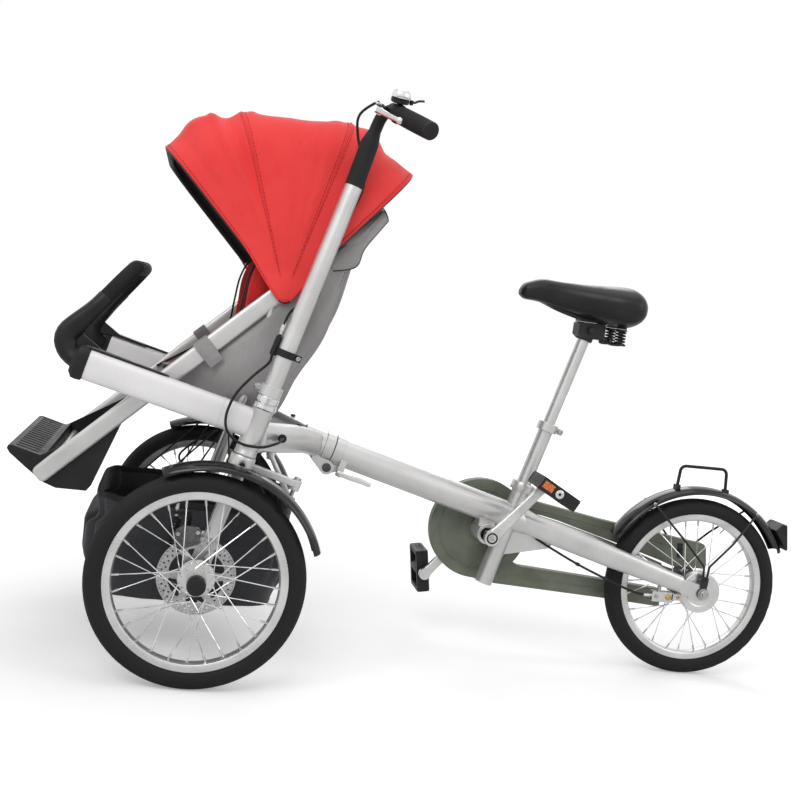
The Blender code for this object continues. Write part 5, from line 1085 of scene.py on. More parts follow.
def bell_lever_shape():
    p = BELL_LEVER_PIVOT
    s = Shape()
    s.turned([(0.0, -0.0042), (0.0032, -0.0042), (0.0034, -0.0036), (0.0034, 0.0036), (0.0032, 0.0042),
              (0.0, 0.0042)], p, BELL_UP, 20)
    tip = p + X * 0.016 + BELL_UP * 0.006
    line = smooth([p, p + X * 0.006 + BELL_UP * 0.001, p + X * 0.012 + BELL_UP * 0.0045, tip + X * 0.0055], 5)
    n = len(line) - 1
    s.tube(line, [0.0018] * (n + 1), [0.0030 + 0.0026 * (i / n) ** 2 for i in range(n + 1)], 16, BELL_UP,
           power=3)
    return s


def headset_shape():
    """Chrome cups, locknut and spacer stack on the head tube. m0 chrome, m1 silver."""
    s = Shape()
    s.turned([(0.0162, 0.0002), (0.0226, 0.0002), (0.0232, 0.0012), (0.0232, 0.0050), (0.0226, 0.0058),
              (0.0226, 0.0100), (0.0212, 0.0112), (0.0196, 0.0118), (0.0196, 0.0132), (0.0218, 0.0138),
              (0.0218, 0.0228), (0.0206, 0.0240), (0.0162, 0.0240)], FOOT, STEER_AXIS, 64, closed=True)
    s.turned([(0.0155, 0.0244), (0.0205, 0.0244), (0.0210, 0.0250), (0.0210, 0.0436), (0.0204, 0.0442),
              (0.0155, 0.0442)], FOOT, STEER_AXIS, 64, 1, closed=True)
    return s


def post_fittings_shape():
    """Bolt and cable band on the post. m0 black, m1 steel."""
    s = Shape()
    at = FOOT + STEER_AXIS * 0.035
    s.bar(at - STEER_REAR * 0.028, at - STEER_REAR * 0.014, 0.011, 0.012, STEER_AXIS, 1)
    s.screw(at - STEER_REAR * 0.0215 - Y * 0.006, -Y, 0.0044, 0.0040, 1)
    s.hex(at - STEER_REAR * 0.0270, at - STEER_REAR * 0.0305, 0.0048, 1)
    band = FOOT + STEER_AXIS * 0.105
    s.hoop(band, STEER_AXIS, POST_R + 0.0001, POST_R + 0.0030, 0.0130, 56, 0, 0.0007)
    s.bar(band + STEER_REAR * 0.0165 - Y * 0.0028, band + STEER_REAR * 0.0290 - Y * 0.0028, 0.0120, 0.0034,
          STEER_AXIS)
    s.bar(band + STEER_REAR * 0.0165 + Y * 0.0028, band + STEER_REAR * 0.0290 + Y * 0.0028, 0.0120, 0.0034,
          STEER_AXIS)
    s.screw(band + STEER_REAR * 0.0235 - Y * 0.0045, -Y, 0.0042, 0.0036, 1)
    s.hex(band + STEER_REAR * 0.0235 + Y * 0.0045, band + STEER_REAR * 0.0235 + Y * 0.0078, 0.0044, 1)
    guide = band - STEER_REAR * 0.0215 + STEER_AXIS * 0.008
    s.hoop(guide, STEER_AXIS, 0.0030, 0.0056, 0.0360, 28, 0, 0.0008)
    s.bar(band - STEER_REAR * 0.0150, band - STEER_REAR * 0.0190, 0.0115, 0.008, STEER_AXIS)
    return s


def cable_shape():
    """Brake cable; m0 black outer, m1 bright barrel adjuster and ferrules."""
    inner, outer = adjuster_ends()
    run = (outer - inner).normalized()
    tip = outer + run * 0.0006
    off = STEER_REAR * 0.0215
    inside = -STEER_REAR * 0.0150 - Y * 0.0152
    end = CALIPER_SPRING + Z * 0.0723
    route = [tip, tip + run * 0.010, Vector((0.188, -0.2500, 1.0350)), Vector((0.190, -0.2440, 1.0000)),
             steer_point(0.925) - inside * 1.04, steer_point(0.85) - inside, steer_point(0.75) - inside,
             steer_point(0.705) - inside, steer_point(0.690) + Y * 0.0215,
             steer_point(0.676) - STEER_REAR * 0.0152 + Y * 0.0152, steer_point(0.660) - off,
             steer_point(0.625) - off, steer_point(0.590) - off]
    s = Shape().tube(smooth(route, 8), 0.0024, sides=14, up=X)
    below = [Vector((0.098, -0.2000, 0.4190)), Vector((0.075, -0.2150, 0.3950)),
             Vector((0.020, -0.2380, 0.3850)),
             end + Z * 0.030, end]
    s.tube(smooth(below, 8), 0.0024, sides=14, up=X)
    for at in (steer_point(0.640) - off,):
        s.turned([(0.0, -0.0120), (0.0030, -0.0120), (0.0034, -0.0060), (0.0046, -0.0055), (0.0046, 0.0055),
                  (0.0034, 0.0060), (0.0030, 0.0120), (0.0, 0.0120)], at, STEER_AXIS, 20, 1)
    s.turned([(0.0, 0.0), (0.0030, 0.0), (0.0036, 0.002), (0.0036, 0.010), (0.0030, 0.012), (0.0, 0.012)],
             end - Z * 0.0002, Z, 18, 1)
    s.turned([(0.0, 0.0), (0.0032, 0.0), (0.0032, 0.008), (0.0028, 0.010), (0.0, 0.010)], tip, run, 18, 1)
    return s


def cable_loop(name, side):
    """The free loop of brake cable from the clamp band into the frame's slot."""
    start = steer_point(0.5905) - STEER_REAR * 0.0215
    route = [start, start - STEER_AXIS * 0.016, Vector((0.0560, -0.2860, 0.5560)),
             Vector((0.0300, -0.2925, 0.5220)),
             Vector((0.0180, -0.2940, 0.4850)), Vector((0.0230, -0.2940, 0.4560)), Vector((0.0480, -0.2930,
                                                                                           0.4370)),
             Vector((0.0850, -0.2880, 0.4330)), Vector((0.1130, -0.2700, 0.4400)), Vector((0.1240, -0.2400,
                                                                                           0.4430)),
             Vector((0.1270, -0.2120, 0.4440))]
    line = even(smooth(route, 10), 0.005)
    loop = make("cable_loop_" + name, Shape().tube(line, 0.0024, sides=14, up=X).sided(side), [SOFT_BLACK],
                angle=40)
    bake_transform(loop)
    grommet = Shape()
    into = (line[-1] - line[-3]).normalized()
    at = line[-1] - into * 0.0085
    grommet.turned([(0.0030, 0.0), (0.0075, 0.0), (0.0082, 0.0008), (0.0080, 0.0020), (0.0050, 0.0034),
                    (0.0030, 0.0034)],
                   at, -into, 28, closed=True)
    piece("cable_grommet_" + name, "root", grommet.sided(side), SOFT_BLACK, "rubber", angle=35)


def add_bars():
    for name, side in SIDES.items():
        body = name + "_steer"
        piece("post_tube_" + name, body, post_shape().sided(side), SILVER, "silver",
                     ["handlebar_post_" + name], angle=30)
        piece("post_sleeve_" + name, body, upper_bar_shape().sided(side), SOFT_BLACK, "black", angle=40)
        piece("headset_" + name, body, headset_shape().sided(side), [CHROME, SILVER], "alloy", angle=30)
        piece("post_band_" + name, body, post_fittings_shape().sided(side), [BLACK, STEEL], "black",
              bevel=0.0004)
        piece("grip_ribbed_" + name, body, grip_shape().sided(side), SOFT_BLACK, "rubber", ["grip_" + name],
              angle=35)
        piece("lever_bracket_" + name, body, bracket_shape().sided(side), [BLACK, BRASS, STEEL], "black",
              ["brake_bracket_" + name])
        piece("lever_blade_" + name, name + "_lever", lever_shape().sided(side), ALLOY, "alloy",
              ["brake_lever_" + name], angle=50)
        piece("cable_run_" + name, body, cable_shape().sided(side), [SOFT_BLACK, ALLOY], "black",
                      ["brake_cable_" + name])
        cable_loop(name, side)
    piece("bell_dome", "left_steer", bell_shape(), [CHROME, BLACK], "alloy", ["bell"])
    piece("bell_thumb", "bell_lever", bell_lever_shape(), BLACK, "black", ["bell_lever"], angle=45)


RAIL_FRONT = Vector((-0.228, -STEER_Y, 0.541))
RAIL_REAR = Vector((0.058, -STEER_Y, 0.4725))
RAIL_DIR = (RAIL_FRONT - RAIL_REAR).normalized()
RAIL_UP = (Z - RAIL_DIR * RAIL_DIR.z).normalized()
RAIL_H, RAIL_W = 0.054, 0.030
MAIN_R = 0.029
LUG_INNER, LUG_OUTER = 0.0125, 0.0205


def weld(s, points, radius=0.0022, m=0):
    """A stacked weld bead: a tube whose radius ripples along its length."""
    line = even(points, 0.0016)
    radii = [radius * (0.82 + 0.18 * math.cos(math.pi * i)) for i in range(len(line))]
    return s.tube(line, radii, radii, 8, X, m)


def front_side_shape():
    s = Shape()
    s.turned([(0.0160, 0.0), (0.0195, 0.0), (0.0203, 0.0010), (0.0203, 0.0040), (0.0199, 0.0048),
              (0.0199, 0.0832), (0.0203, 0.0840), (0.0203, 0.0870), (0.0195, 0.0880), (0.0160, 0.0880)],
             steer_point(0.4135), STEER_AXIS, 64, closed=True)
    route = smooth([(0.0750, -0.2680, 0.4475), (0.0900, -0.2350, 0.4445), (0.1200, -0.1700, 0.4370),
                    (0.1500, -0.1120, 0.4310), (0.1800, -0.0600, 0.4245), (0.2130, -0.0180, 0.4150)], 6)
    n = len(route) - 1
    tall = [0.0278 if i / n < 0.62 else 0.0278 - 0.0034 * ((i / n - 0.62) / 0.38) for i in range(n + 1)]
    wide = [0.0200 if i / n < 0.70 else 0.0200 - 0.0045 * ((i / n - 0.70) / 0.30) for i in range(n + 1)]
    s.tube(route, tall, wide, 56, Z, power=2.6)
    weld(s, oval(route[0] + Vector((0.0085, 0.0150, 0)), Z, Vector((0.45, -0.9, 0)).normalized(), 0.0282,
                 0.0206, 40,
                 2.6), 0.0020)
    return s


def rail_shape():
    """Upper rail: an oval bar with a slightly eased square front end and a thin collar near its rear."""
    s = Shape()
    rear = RAIL_REAR - RAIL_DIR * 0.006
    line = [RAIL_FRONT - RAIL_DIR * 0.0002, RAIL_FRONT - RAIL_DIR * 0.0018, rear]
    rings = []
    for i, p in enumerate(line):
        ease = 0.0008 if i == 0 else 0.0
        rings.append(oval(p, RAIL_UP, Y, RAIL_H / 2 - ease, RAIL_W / 2 - ease, 64, 3.4))
    s.loft(rings)
    collar = RAIL_REAR + RAIL_DIR * 0.052
    grow = 0.0011
    ring = [oval(collar + RAIL_DIR * t, RAIL_UP, Y, RAIL_H / 2 + g, RAIL_W / 2 + g, 64, 3.4)
            for t, g in ((-0.0012, -0.0004), (-0.0008, grow), (0.0008, grow), (0.0012, -0.0004))]
    s.loft(ring)
    return s


def fold_lug_outline(direction, top):
    arc_points = [(0.0145 * math.cos(a), 0.0145 * math.sin(a))
                  for a in (math.radians(d) for d in range(-110, 91, 10))]
    web = arc_points + [(-0.0003, 0.0145), (-0.0003, top), (-0.036, top), (-0.036, 0.006)]
    points = [fold_point(direction * along, above) for along, above in web]
    return [(p.x, p.z) for p in points]


def add_front_frame():
    s = Shape()
    for side in (-1, 1):
        s.add(front_side_shape().sided(side))
    s.rod(main_point(0.186), fold_point(-0.0006, 0.038), MAIN_R, 64)
    stub = fold_point(-0.0110, 0.038)
    s.turned([(MAIN_R - 0.001, -0.0100), (MAIN_R + 0.0016, -0.0090), (MAIN_R + 0.0016, 0.0095),
              (MAIN_R + 0.0010, 0.0103), (MAIN_R - 0.001, 0.0103)], stub, MAIN_DIR, 64, closed=True)
    for side in (-1, 1):
        near, far = sorted((side * LUG_INNER, side * LUG_OUTER))
        s.prism(fold_lug_outline(1, 0.030), near, far)
    piece("front_yoke", "root", s, SILVER, "silver", ["front_frame"], bevel=0.0008, angle=32)
    rails = Shape()
    for side in (-1, 1):
        rails.add(rail_shape().sided(side))
    # The rails take the paler copy of the silver paint, a painted highlight.
    piece("upper_rails", "root", rails, LIT_SILVER_PAINT, "silver", angle=40)
    pin = Shape()
    for side in (-1, 1):
        base = FOLD_PIN + Y * side * (LUG_OUTER + 0.0003)
        pin.turned([(0.0, 0.0), (0.0084, 0.0), (0.0090, 0.0008), (0.0090, 0.0030), (0.0078, 0.0042),
                    (0.0044, 0.0043),
                    (0.0040, 0.0022), (0.0, 0.0020)], base, Y * side, 32)
    pin.rod(FOLD_PIN - Y * 0.021, FOLD_PIN + Y * 0.021, 0.0050, 24)
    piece("fold_bolt", "root", pin, DARK_STEEL, "steel", ["fold_pin"])
    trim = Shape()
    for side in (-1, 1):
        small = Shape()
        small.screw(Vector((0.1700, -0.0780, 0.4545)), Z, 0.0052, 0.0036)
        small.screw(Vector((0.0860, -0.2430, 0.4725)), Z, 0.0046, 0.0032)
        trim.add(small.sided(side))
    piece("frame_bolts", "root", trim, DARK_STEEL, "steel")


SIDE_TOP = Vector((0.086, 0, 0.7025))
SIDE_LOW = Vector((-0.295, 0, 0.330))
SIDE_Y, SIDE_W, SIDE_T = 0.222, 0.032, 0.016
SIDE_DIR = (SIDE_TOP - SIDE_LOW).normalized()
CROSS_C = Vector((0.036, 0, 0.468))
CROSS_B = Vector((-0.130, 0, 0.482))
CANOPY_PIVOT = Vector((0.097, 0, 0.702))


def add_seat_frame():
    s = Shape()
    for side in (-1, 1):
        h = Shape()
        lean = Y * -SIDE_Y
        ends, tall, thick = [], [], []
        for along, w, t in ((0.0, 0.62, 0.90), (0.0010, 0.72, 0.97), (0.0035, 0.86, 1.0), (0.0080, 0.97, 1.0),
                            (0.0130, 1.0, 1.0)):
            ends.append(SIDE_LOW + lean + SIDE_DIR * along)
            tall.append(SIDE_W / 2 * w)
            thick.append(SIDE_T / 2 * t)
        ends += [SIDE_TOP + lean - SIDE_DIR * 0.0008, SIDE_TOP + lean]
        tall += [SIDE_W / 2, SIDE_W / 2 - 0.0008]
        thick += [SIDE_T / 2, SIDE_T / 2 - 0.0008]
        h.tube(ends, tall, thick, 48, Z, power=4)
        h.rod(CANOPY_PIVOT - Y * (SIDE_Y + 0.008), CANOPY_PIVOT - Y * (SIDE_Y - 0.008), 0.0155, 48)
        h.rod(CANOPY_PIVOT - Y * (SIDE_Y + 0.0116), CANOPY_PIVOT - Y * (SIDE_Y), 0.0060, 24)
        strut = smooth([SIDE_TOP + lean - SIDE_DIR * 0.012, (0.072, -0.2200, 0.600), CROSS_C - Y * 0.217], 8)
        h.tube(strut, 0.0075, sides=24)
        at = RAIL_REAR + RAIL_DIR * 0.1711
        h.rod((at.x, -SIDE_Y, at.z), (at.x, -STEER_Y + RAIL_W / 2 - 0.0003, at.z), 0.012, 32)
        s.add(h.sided(side))
    s.rod(CROSS_C - Y * 0.2497, CROSS_C + Y * 0.2497, 0.009, 32)
    s.rod(CROSS_B - Y * 0.218, CROSS_B + Y * 0.218, 0.009, 32)
    for sgn in (-1, 1):
        s.bar(CROSS_B + Y * sgn * 0.218, Vector((-0.108, sgn * 0.218, 0.512)), 0.014, 0.006)
    for sgn in (-1, 1):
        route = [CROSS_C + Y * sgn * 0.200, Vector((0.060, sgn * 0.200, 0.4700)),
                 Vector((0.078, sgn * 0.200, 0.4740)),
                 Vector((0.108, sgn * 0.200, 0.4970)), Vector((0.1405, sgn * 0.200, 0.5800))]
        s.tube(smooth(route, 8), 0.0065, sides=20, up=X)
    toe = SIDE_LOW + SIDE_DIR * 0.030
    s.rod(toe - Y * SIDE_Y, toe + Y * SIDE_Y, 0.007, 24)
    out = Vector((math.cos(math.radians(50)), 0, math.sin(math.radians(50))))
    for sgn in (-1, 1):
        at = CANOPY_PIVOT + Y * sgn * 0.226
        s.bar(at + out * 0.006, at + out * 0.072, 0.007, 0.006, Y)
    s.add(bow_shape("rear"))
    piece("seat_tubes", "root", s, SILVER, "silver", ["seat_frame"], angle=35)


BOW_ANGLES = {"front": 135.0, "second": 109.5, "third": 75.0, "rear": 50.0}
BOW_RADII = {"front": 0.336, "second": 0.338, "third": 0.342, "rear": 0.332}
CANOPY_HALF, CANOPY_CORNER, BOW_START, BOW_IN = 0.236, 0.085, 0.066, 0.0065
EYE_T = 0.0009


def canopy_out(angle):
    return Vector((math.cos(angle), 0, math.sin(angle)))


def canopy_section(radius, half, corner, foot, straight=3, steps=8):
    """(y, reach) points of a hood's section from its left foot over the top to the right one."""
    left = []
    for i in range(straight):
        left.append((-half, foot + (radius - corner - foot) * i / straight))
    for i in range(steps + 1):
        a = math.pi / 2 * i / steps
        left.append((-half + corner * (1 - math.cos(a)), radius - corner * (1 - math.sin(a))))
    inner = -half + corner
    top = [(inner * (1 - k / 4), radius) for k in (1, 2, 3)]
    return left + top + [(0.0, radius)] + [(-y, r) for y, r in reversed(left + top)]


def bow_shape(name):
    angle = math.radians(BOW_ANGLES[name])
    section = canopy_section(BOW_RADII[name] - BOW_IN, CANOPY_HALF - BOW_IN, CANOPY_CORNER - BOW_IN,
                             BOW_START)
    path = [CANOPY_PIVOT + canopy_out(angle) * r + Y * y for y, r in section]
    return Shape().tube(path, 0.0042, sides=14, up=Vector((-math.sin(angle), 0, math.cos(angle))))


def add_bows():
    for k, name in enumerate(("third", "second", "front")):
        s = bow_shape(name)
        out = canopy_out(math.radians(BOW_ANGLES[name]))
        for side in (-1, 1):
            layer = 0.0003 + k * (EYE_T + 0.0003) + EYE_T / 2
            at = CANOPY_PIVOT + Y * side * (SIDE_Y + SIDE_T / 2 + layer)
            s.hoop(at, Y, 0.0066, 0.0105, EYE_T, 32)
            s.bar(at + out * 0.0088, at + out * 0.072, EYE_T, 0.006, Y)
        piece("hood_bow_" + name, "canopy_" + name, s, STEEL, "steel", ["canopy_bow_" + name])
    boss = Shape()
    for side in (-1, 1):
        at = CANOPY_PIVOT + Y * side * 0.2350
        boss.turned([(0.0, 0.0), (0.0140, 0.0), (0.0150, 0.0010), (0.0146, 0.0045), (0.0110, 0.0062),
                     (0.0, 0.0066)], at, Y * side, 36)
    piece("hood_pivot_caps", "root", boss, BLACK, "black", angle=35)


STAY_ROUTE = [(0.640, 0.0080), (0.700, 0.0188), (0.750, 0.0273), (0.860, 0.0460), (0.950, 0.0555),
              (1.013, 0.0610)]
CASE_CENTRE = Vector((0.588, 0, 0.265))
CASE_R, CASE_NEAR_Y, CASE_FAR_Y = 0.1065, 0.0362, 0.0600
RING_R, COG_R, CHAIN_Y = 0.0815, 0.036, 0.0455
CRANK_ANGLE, CRANK_L, CRANK_IN_Y, CRANK_T = math.radians(50.6), 0.153, 0.0625, 0.012
PEDAL_Y = 0.126


def stay_point(x, side=-1, above=0.0):
    for (x0, y0), (x1, y1) in zip(STAY_ROUTE, STAY_ROUTE[1:]):
        if x <= x1:
            break
    y = y0 + (y1 - y0) * (x - x0) / (x1 - x0)
    return Vector((x, side * y, main_point(x).z + above))


def rear_frame_shape():
    s = Shape()
    start = fold_point(0.0006, 0.038)
    route = [start, start.lerp(main_point(0.560), 0.5), main_point(0.560), main_point(0.620),
             main_point(0.668),
             main_point(0.700)]
    radii = [MAIN_R, MAIN_R, MAIN_R, MAIN_R, 0.0270, 0.0215]
    s.tube(route, radii, radii, 64, Z)
    ring_at = fold_point(0.0110, 0.038)
    s.turned([(MAIN_R - 0.001, -0.0103), (MAIN_R + 0.0010, -0.0103), (MAIN_R + 0.0016, -0.0095),
              (MAIN_R + 0.0016, 0.0090), (MAIN_R - 0.001, 0.0100)], ring_at, MAIN_DIR, 64, closed=True)
    s.prism(fold_lug_outline(-1, 0.028), -LUG_INNER + 0.0003, LUG_INNER - 0.0003)
    low, high = 0.159, 0.366
    s.turned([(0.0164, 0.0), (0.0178, 0.0), (0.0185, 0.0008), (0.0185, (high - low) / math.cos(LEAN)),
              (0.0164, (high - low) / math.cos(LEAN))], seat_point(low), STEER_AXIS, 56, closed=True)
    s.turned([(0.0164, -0.006), (0.0240, -0.006), (0.0245, -0.005), (0.0245, 0.0115), (0.0240, 0.0125),
              (0.0164, 0.0125)], seat_point(0.366), STEER_AXIS, 56, closed=True)
    mid = seat_point(0.369)
    for y in (-0.0048, 0.0048):
        s.bar(mid + STEER_REAR * 0.020 + Y * y, mid + STEER_REAR * 0.037 + Y * y, 0.014, 0.0055, STEER_AXIS)
    s.turned([(0.0150, -0.034), (0.0200, -0.034), (0.0210, -0.033), (0.0210, 0.033), (0.0200, 0.034),
              (0.0150, 0.034)], BB, Y, 56, closed=True)
    s.turned([(0.0150, -0.0348), (0.0172, -0.0348), (0.0172, 0.0348), (0.0150, 0.0348)], BB, Y, 40,
             closed=True)
    s.bar(BB + Z * 0.010, main_point(0.588), 0.034, 0.038, X)
    s.prism([(0.625, 0.280), (0.745, 0.258), (0.733, 0.244), (0.636, 0.222)], -0.002, 0.002)
    s.bar(fold_point(0.028, 0.030, -0.0235), fold_point(0.028, -0.008, -0.0235), 0.014, 0.006, MAIN_DIR)
    for side in (-1, 1):
        points = [stay_point(x, side) for x, _ in STAY_ROUTE]
        marks = smooth(points, 6)
        tall, wide = [], []
        heights = [0.0200, 0.0215, 0.0232, 0.0225, 0.0198, 0.0175]
        widths = [0.0120, 0.0145, 0.0148, 0.0140, 0.0132, 0.0115]
        for i in range(len(marks)):
            k, t = divmod(i, 6)
            if k >= 5:
                k, t = 4, 6
            tall.append(heights[k] + (heights[k + 1] - heights[k]) * t / 6)
            wide.append(widths[k] + (widths[k + 1] - widths[k]) * t / 6)
        s.tube(marks, tall, wide, 44, Z, power=2.8)
        ring = [(REAR_AXLE.x + 0.0165 * math.cos(a), REAR_AXLE.z + 0.0165 * math.sin(a))
                for a in (math.radians(d) for d in range(-90, 91, 12))]
        outline = ring + [(1.018, 0.2195), (0.992, 0.2230), (0.985, 0.2100), (0.992, 0.1985), (1.018, 0.1880)]
        s.prism(outline, side * 0.064 - 0.003, side * 0.064 + 0.003)
    return s


def tangent_loop(ca, ra, cb, rb, steps=24):
    d = cb - ca
    heading = math.atan2(d.z, d.x)
    spread = math.asin((ra - rb) / d.length)
    up, down = heading + math.pi / 2 - spread, heading - math.pi / 2 + spread
    loop = []
    for i in range(steps + 1):
        a = up + (down + math.tau - up) * i / steps
        loop.append(Vector((ca.x + ra * math.cos(a), CHAIN_Y, ca.z + ra * math.sin(a))))
    for i in range(steps + 1):
        a = down + (up - down) * i / steps
        loop.append(Vector((cb.x + rb * math.cos(a), CHAIN_Y, cb.z + rb * math.sin(a))))
    return loop


def chain_shape():
    """Roller chain: figure-eight plates on alternating links with rollers between them."""
    loop = tangent_loop(BB, RING_R, REAR_AXLE, COG_R)
    line = even(loop + [loop[0]], 0.0127)[:-1]
    if len(line) % 2:
        line = even(loop + [loop[0]], 0.0127 * len(line) / (len(line) + 1))[:-1]
    s = Shape()
    n = len(line)
    for i in range(n):
        a, b = line[i], line[(i + 1) % n]
        s.rod(a - Y * 0.0034, a + Y * 0.0034, 0.0036, 10)
        reach = 0.0029 if i % 2 else 0.0018
        along = (b - a).normalized()
        upward = Y.cross(along)
        outline = []
        for k in range(7):
            t = math.pi / 2 + math.pi * k / 6
            outline.append(a + (along * math.cos(t) + upward * math.sin(t)) * 0.0038)
        outline.append((a + b) / 2 - upward * 0.0026)
        for k in range(7):
            t = -math.pi / 2 + math.pi * k / 6
            outline.append(b + (along * math.cos(t) + upward * math.sin(t)) * 0.0038)
        outline.append((a + b) / 2 + upward * 0.0026)
        for sign in (-1, 1):
            s.slab([p + Y * sign * reach for p in outline], Y, 0.0009)
    return s


def case_arc(start, end, steps, radius=CASE_R):
    return [(CASE_CENTRE.x + radius * math.cos(a), CASE_CENTRE.z + radius * math.sin(a))
            for a in (math.radians(start + (end - start) * i / steps) for i in range(steps + 1))]


def case_outline():
    outline = case_arc(58, 262, 40)
    outline += [(0.604, 0.1560), (0.636, 0.150), (0.884, 0.139), (1.012, 0.1312), (1.018, 0.134),
                (1.018, 0.1670),
                (1.012, 0.1695), (0.878, 0.1795), (0.690, 0.1915), (0.676, 0.1960)]
    outline += case_arc(-38, 18, 14)
    outline += [(0.700, 0.3075), (0.720, 0.3065), (0.760, 0.2985), (0.800, 0.2878), (0.900, 0.2620),
                (1.000, 0.2350), (1.035, 0.2240), (1.108, 0.2240), (1.114, 0.229), (1.107, 0.2720),
                (1.101, 0.2785), (0.858, 0.3100), (0.714, 0.3330), (0.670, 0.3440)]
    return outline


def chain_case_shape():
    """Two-part cover with a raised rim, a round step and a rib along each arm."""
    outline = case_outline()
    pts = [(x, z) for x, z in outline]
    s = Shape()
    y0, y1 = CASE_NEAR_Y, CASE_FAR_Y

    def inset(points, wall):
        count = len(points)
        area = sum(a[0] * b[1] - b[0] * a[1] for a, b in zip(points, points[1:] + points[:1]))
        turn = math.copysign(1, area)
        out = []
        for i, (x, z) in enumerate(points):
            before = Vector((x - points[i - 1][0], z - points[i - 1][1])).normalized()
            after = Vector((points[(i + 1) % count][0] - x, points[(i + 1) % count][1] - z)).normalized()
            n0, n1 = Vector((-before.y, before.x)) * turn, Vector((-after.y, after.x)) * turn
            mid = (n0 + n1).normalized()
            out.append((x + mid.x * wall / max(mid.dot(n0), 0.5), z + mid.y * wall / max(mid.dot(n0), 0.5)))
        return out

    layers = [(0.0012, y0), (0.0, y0 + 0.0012), (0.0, (y0 + y1) / 2 - 0.0006),
              (0.0007, (y0 + y1) / 2 - 0.0005),
              (0.0007, (y0 + y1) / 2 + 0.0005), (0.0, (y0 + y1) / 2 + 0.0006), (0.0, y1 - 0.0012), (0.0012,
                                                                                                    y1)]
    rings = []
    for wall, y in layers:
        ring = inset(pts, wall) if wall else pts
        rings.append([Vector((x, y, z)) for x, z in ring])
    s.loft(rings)
    for sign, y in ((-1, y0), (1, y1)):
        at = Vector((BB.x, y, BB.z))
        s.turned([(0.0840, -0.0004), (0.0842, 0.0000), (0.0850, 0.0012), (0.0862, 0.0012), (0.0870, 0.0),
                  (0.0872, -0.0004)], Vector((CASE_CENTRE.x, y, CASE_CENTRE.z)), Y * sign, 96, closed=True)
        s.turned([(0.0300, -0.0004), (0.0303, 0.0006), (0.0330, 0.0010), (0.0350, 0.0), (0.0352, -0.0004)],
                 at,
                 Y * sign, 64, closed=True)
        for route in ([(0.690, 0.3215), (0.858, 0.2960), (1.094, 0.2590)],
                      [(0.665, 0.1690), (0.880, 0.1590), (1.006, 0.1505)]):
            line = [Vector((x, y, z)) for x, z in route]
            s.tube(even(line, 0.02), 0.0010, 0.0020, 10, Y, 0)
    return s


def crank_tip(side):
    sign = 1 if side < 0 else -1
    reach = Vector((math.cos(CRANK_ANGLE), 0, math.sin(CRANK_ANGLE))) * CRANK_L * sign
    return BB + reach + Y * side * (CRANK_IN_Y + CRANK_T)


def crank_arm_shape(side):
    """Forged arm: a tapering bar, round boss with a dust cap and a pedal eye. m1 dark, m2 steel."""
    s = Shape()
    middle = Y * side * (CRANK_IN_Y + CRANK_T / 2)
    end = crank_tip(side) - Y * side * CRANK_T / 2
    a = BB + middle
    line = [a.lerp(end, t) for t in (0.0, 0.06, 0.15, 0.3, 0.5, 0.7, 0.85, 0.94, 1.0)]
    tall = [0.0150, 0.0148, 0.0130, 0.0118, 0.0108, 0.0100, 0.0098, 0.0104, 0.0108]
    across = (end - a).normalized().cross(Y)
    s.tube(line, tall, [CRANK_T / 2] * 9, 36, across, power=4.2)
    s.turned([(0.0, -CRANK_T / 2), (0.0158, -CRANK_T / 2), (0.0165, -CRANK_T / 2 + 0.0008),
              (0.0165, CRANK_T / 2 - 0.001), (0.0155, CRANK_T / 2), (0.0, CRANK_T / 2)], a, Y * side, 48)
    s.turned([(0.0, -CRANK_T / 2), (0.0120, -CRANK_T / 2), (0.0125, -CRANK_T / 2 + 0.0006),
              (0.0125, CRANK_T / 2 - 0.0008), (0.0117, CRANK_T / 2), (0.0, CRANK_T / 2)], end, Y * side, 40)
    face = BB + Y * side * (CRANK_IN_Y + CRANK_T)
    s.turned([(0.0, -0.001), (0.0118, -0.001), (0.0118, 0.0002), (0.0105, 0.0006), (0.0086, 0.0006),
              (0.0082, -0.0004),
              (0.0, -0.0004)], face, Y * side, 40, 1)
    s.hex(face - Y * side * 0.0006, face + Y * side * 0.0022, 0.0062, 2)
    tip = crank_tip(side)
    s.rod(tip - Y * side * 0.004, tip + Y * side * 0.0775, 0.0052, 24, m=2)
    s.hex(tip + Y * side * 0.0004, tip + Y * side * 0.0062, 0.0082, 2)
    return s


def chainring_object():
    centre = BB + Y * CHAIN_Y
    teeth = 40
    ring = Shape()
    loops = []
    for y in (-0.0012, 0.0012):
        outer, inner = [], []
        for i in range(teeth * 6):
            a = math.tau * i / (teeth * 6)
            wave = math.cos(a * teeth)
            r = 0.0790 + 0.0024 * max(-0.55, wave)
            outer.append(centre + Vector((math.cos(a), 0, math.sin(a))) * r + Y * y)
            inner.append(centre + Vector((math.cos(a), 0, math.sin(a))) * 0.0680 + Y * y)
        loops.append((outer, inner))
    (o0, i0), (o1, i1) = loops
    ids = [ring.ring(r) for r in (o0, o1, i1, i0)]
    n = len(o0)
    for k in range(4):
        a, b = ids[k], ids[(k + 1) % 4]
        for j in range(n):
            ring.face((a[j], a[(j + 1) % n], b[(j + 1) % n], b[j]))
    for i in range(4):
        a = math.tau * i / 4 + 0.3
        out = Vector((math.cos(a), 0, math.sin(a)))
        ring.bar(centre + out * 0.010, centre + out * 0.0715, 0.003, 0.013, Y)
    ring.rod(BB + Y * 0.0425, BB + Y * (CRANK_IN_Y + 0.004), 0.0172, 40)
    ring.rod(BB - Y * (CRANK_IN_Y + 0.006), BB + Y * (CRANK_IN_Y + 0.004), 0.0078, 28)
    return ring


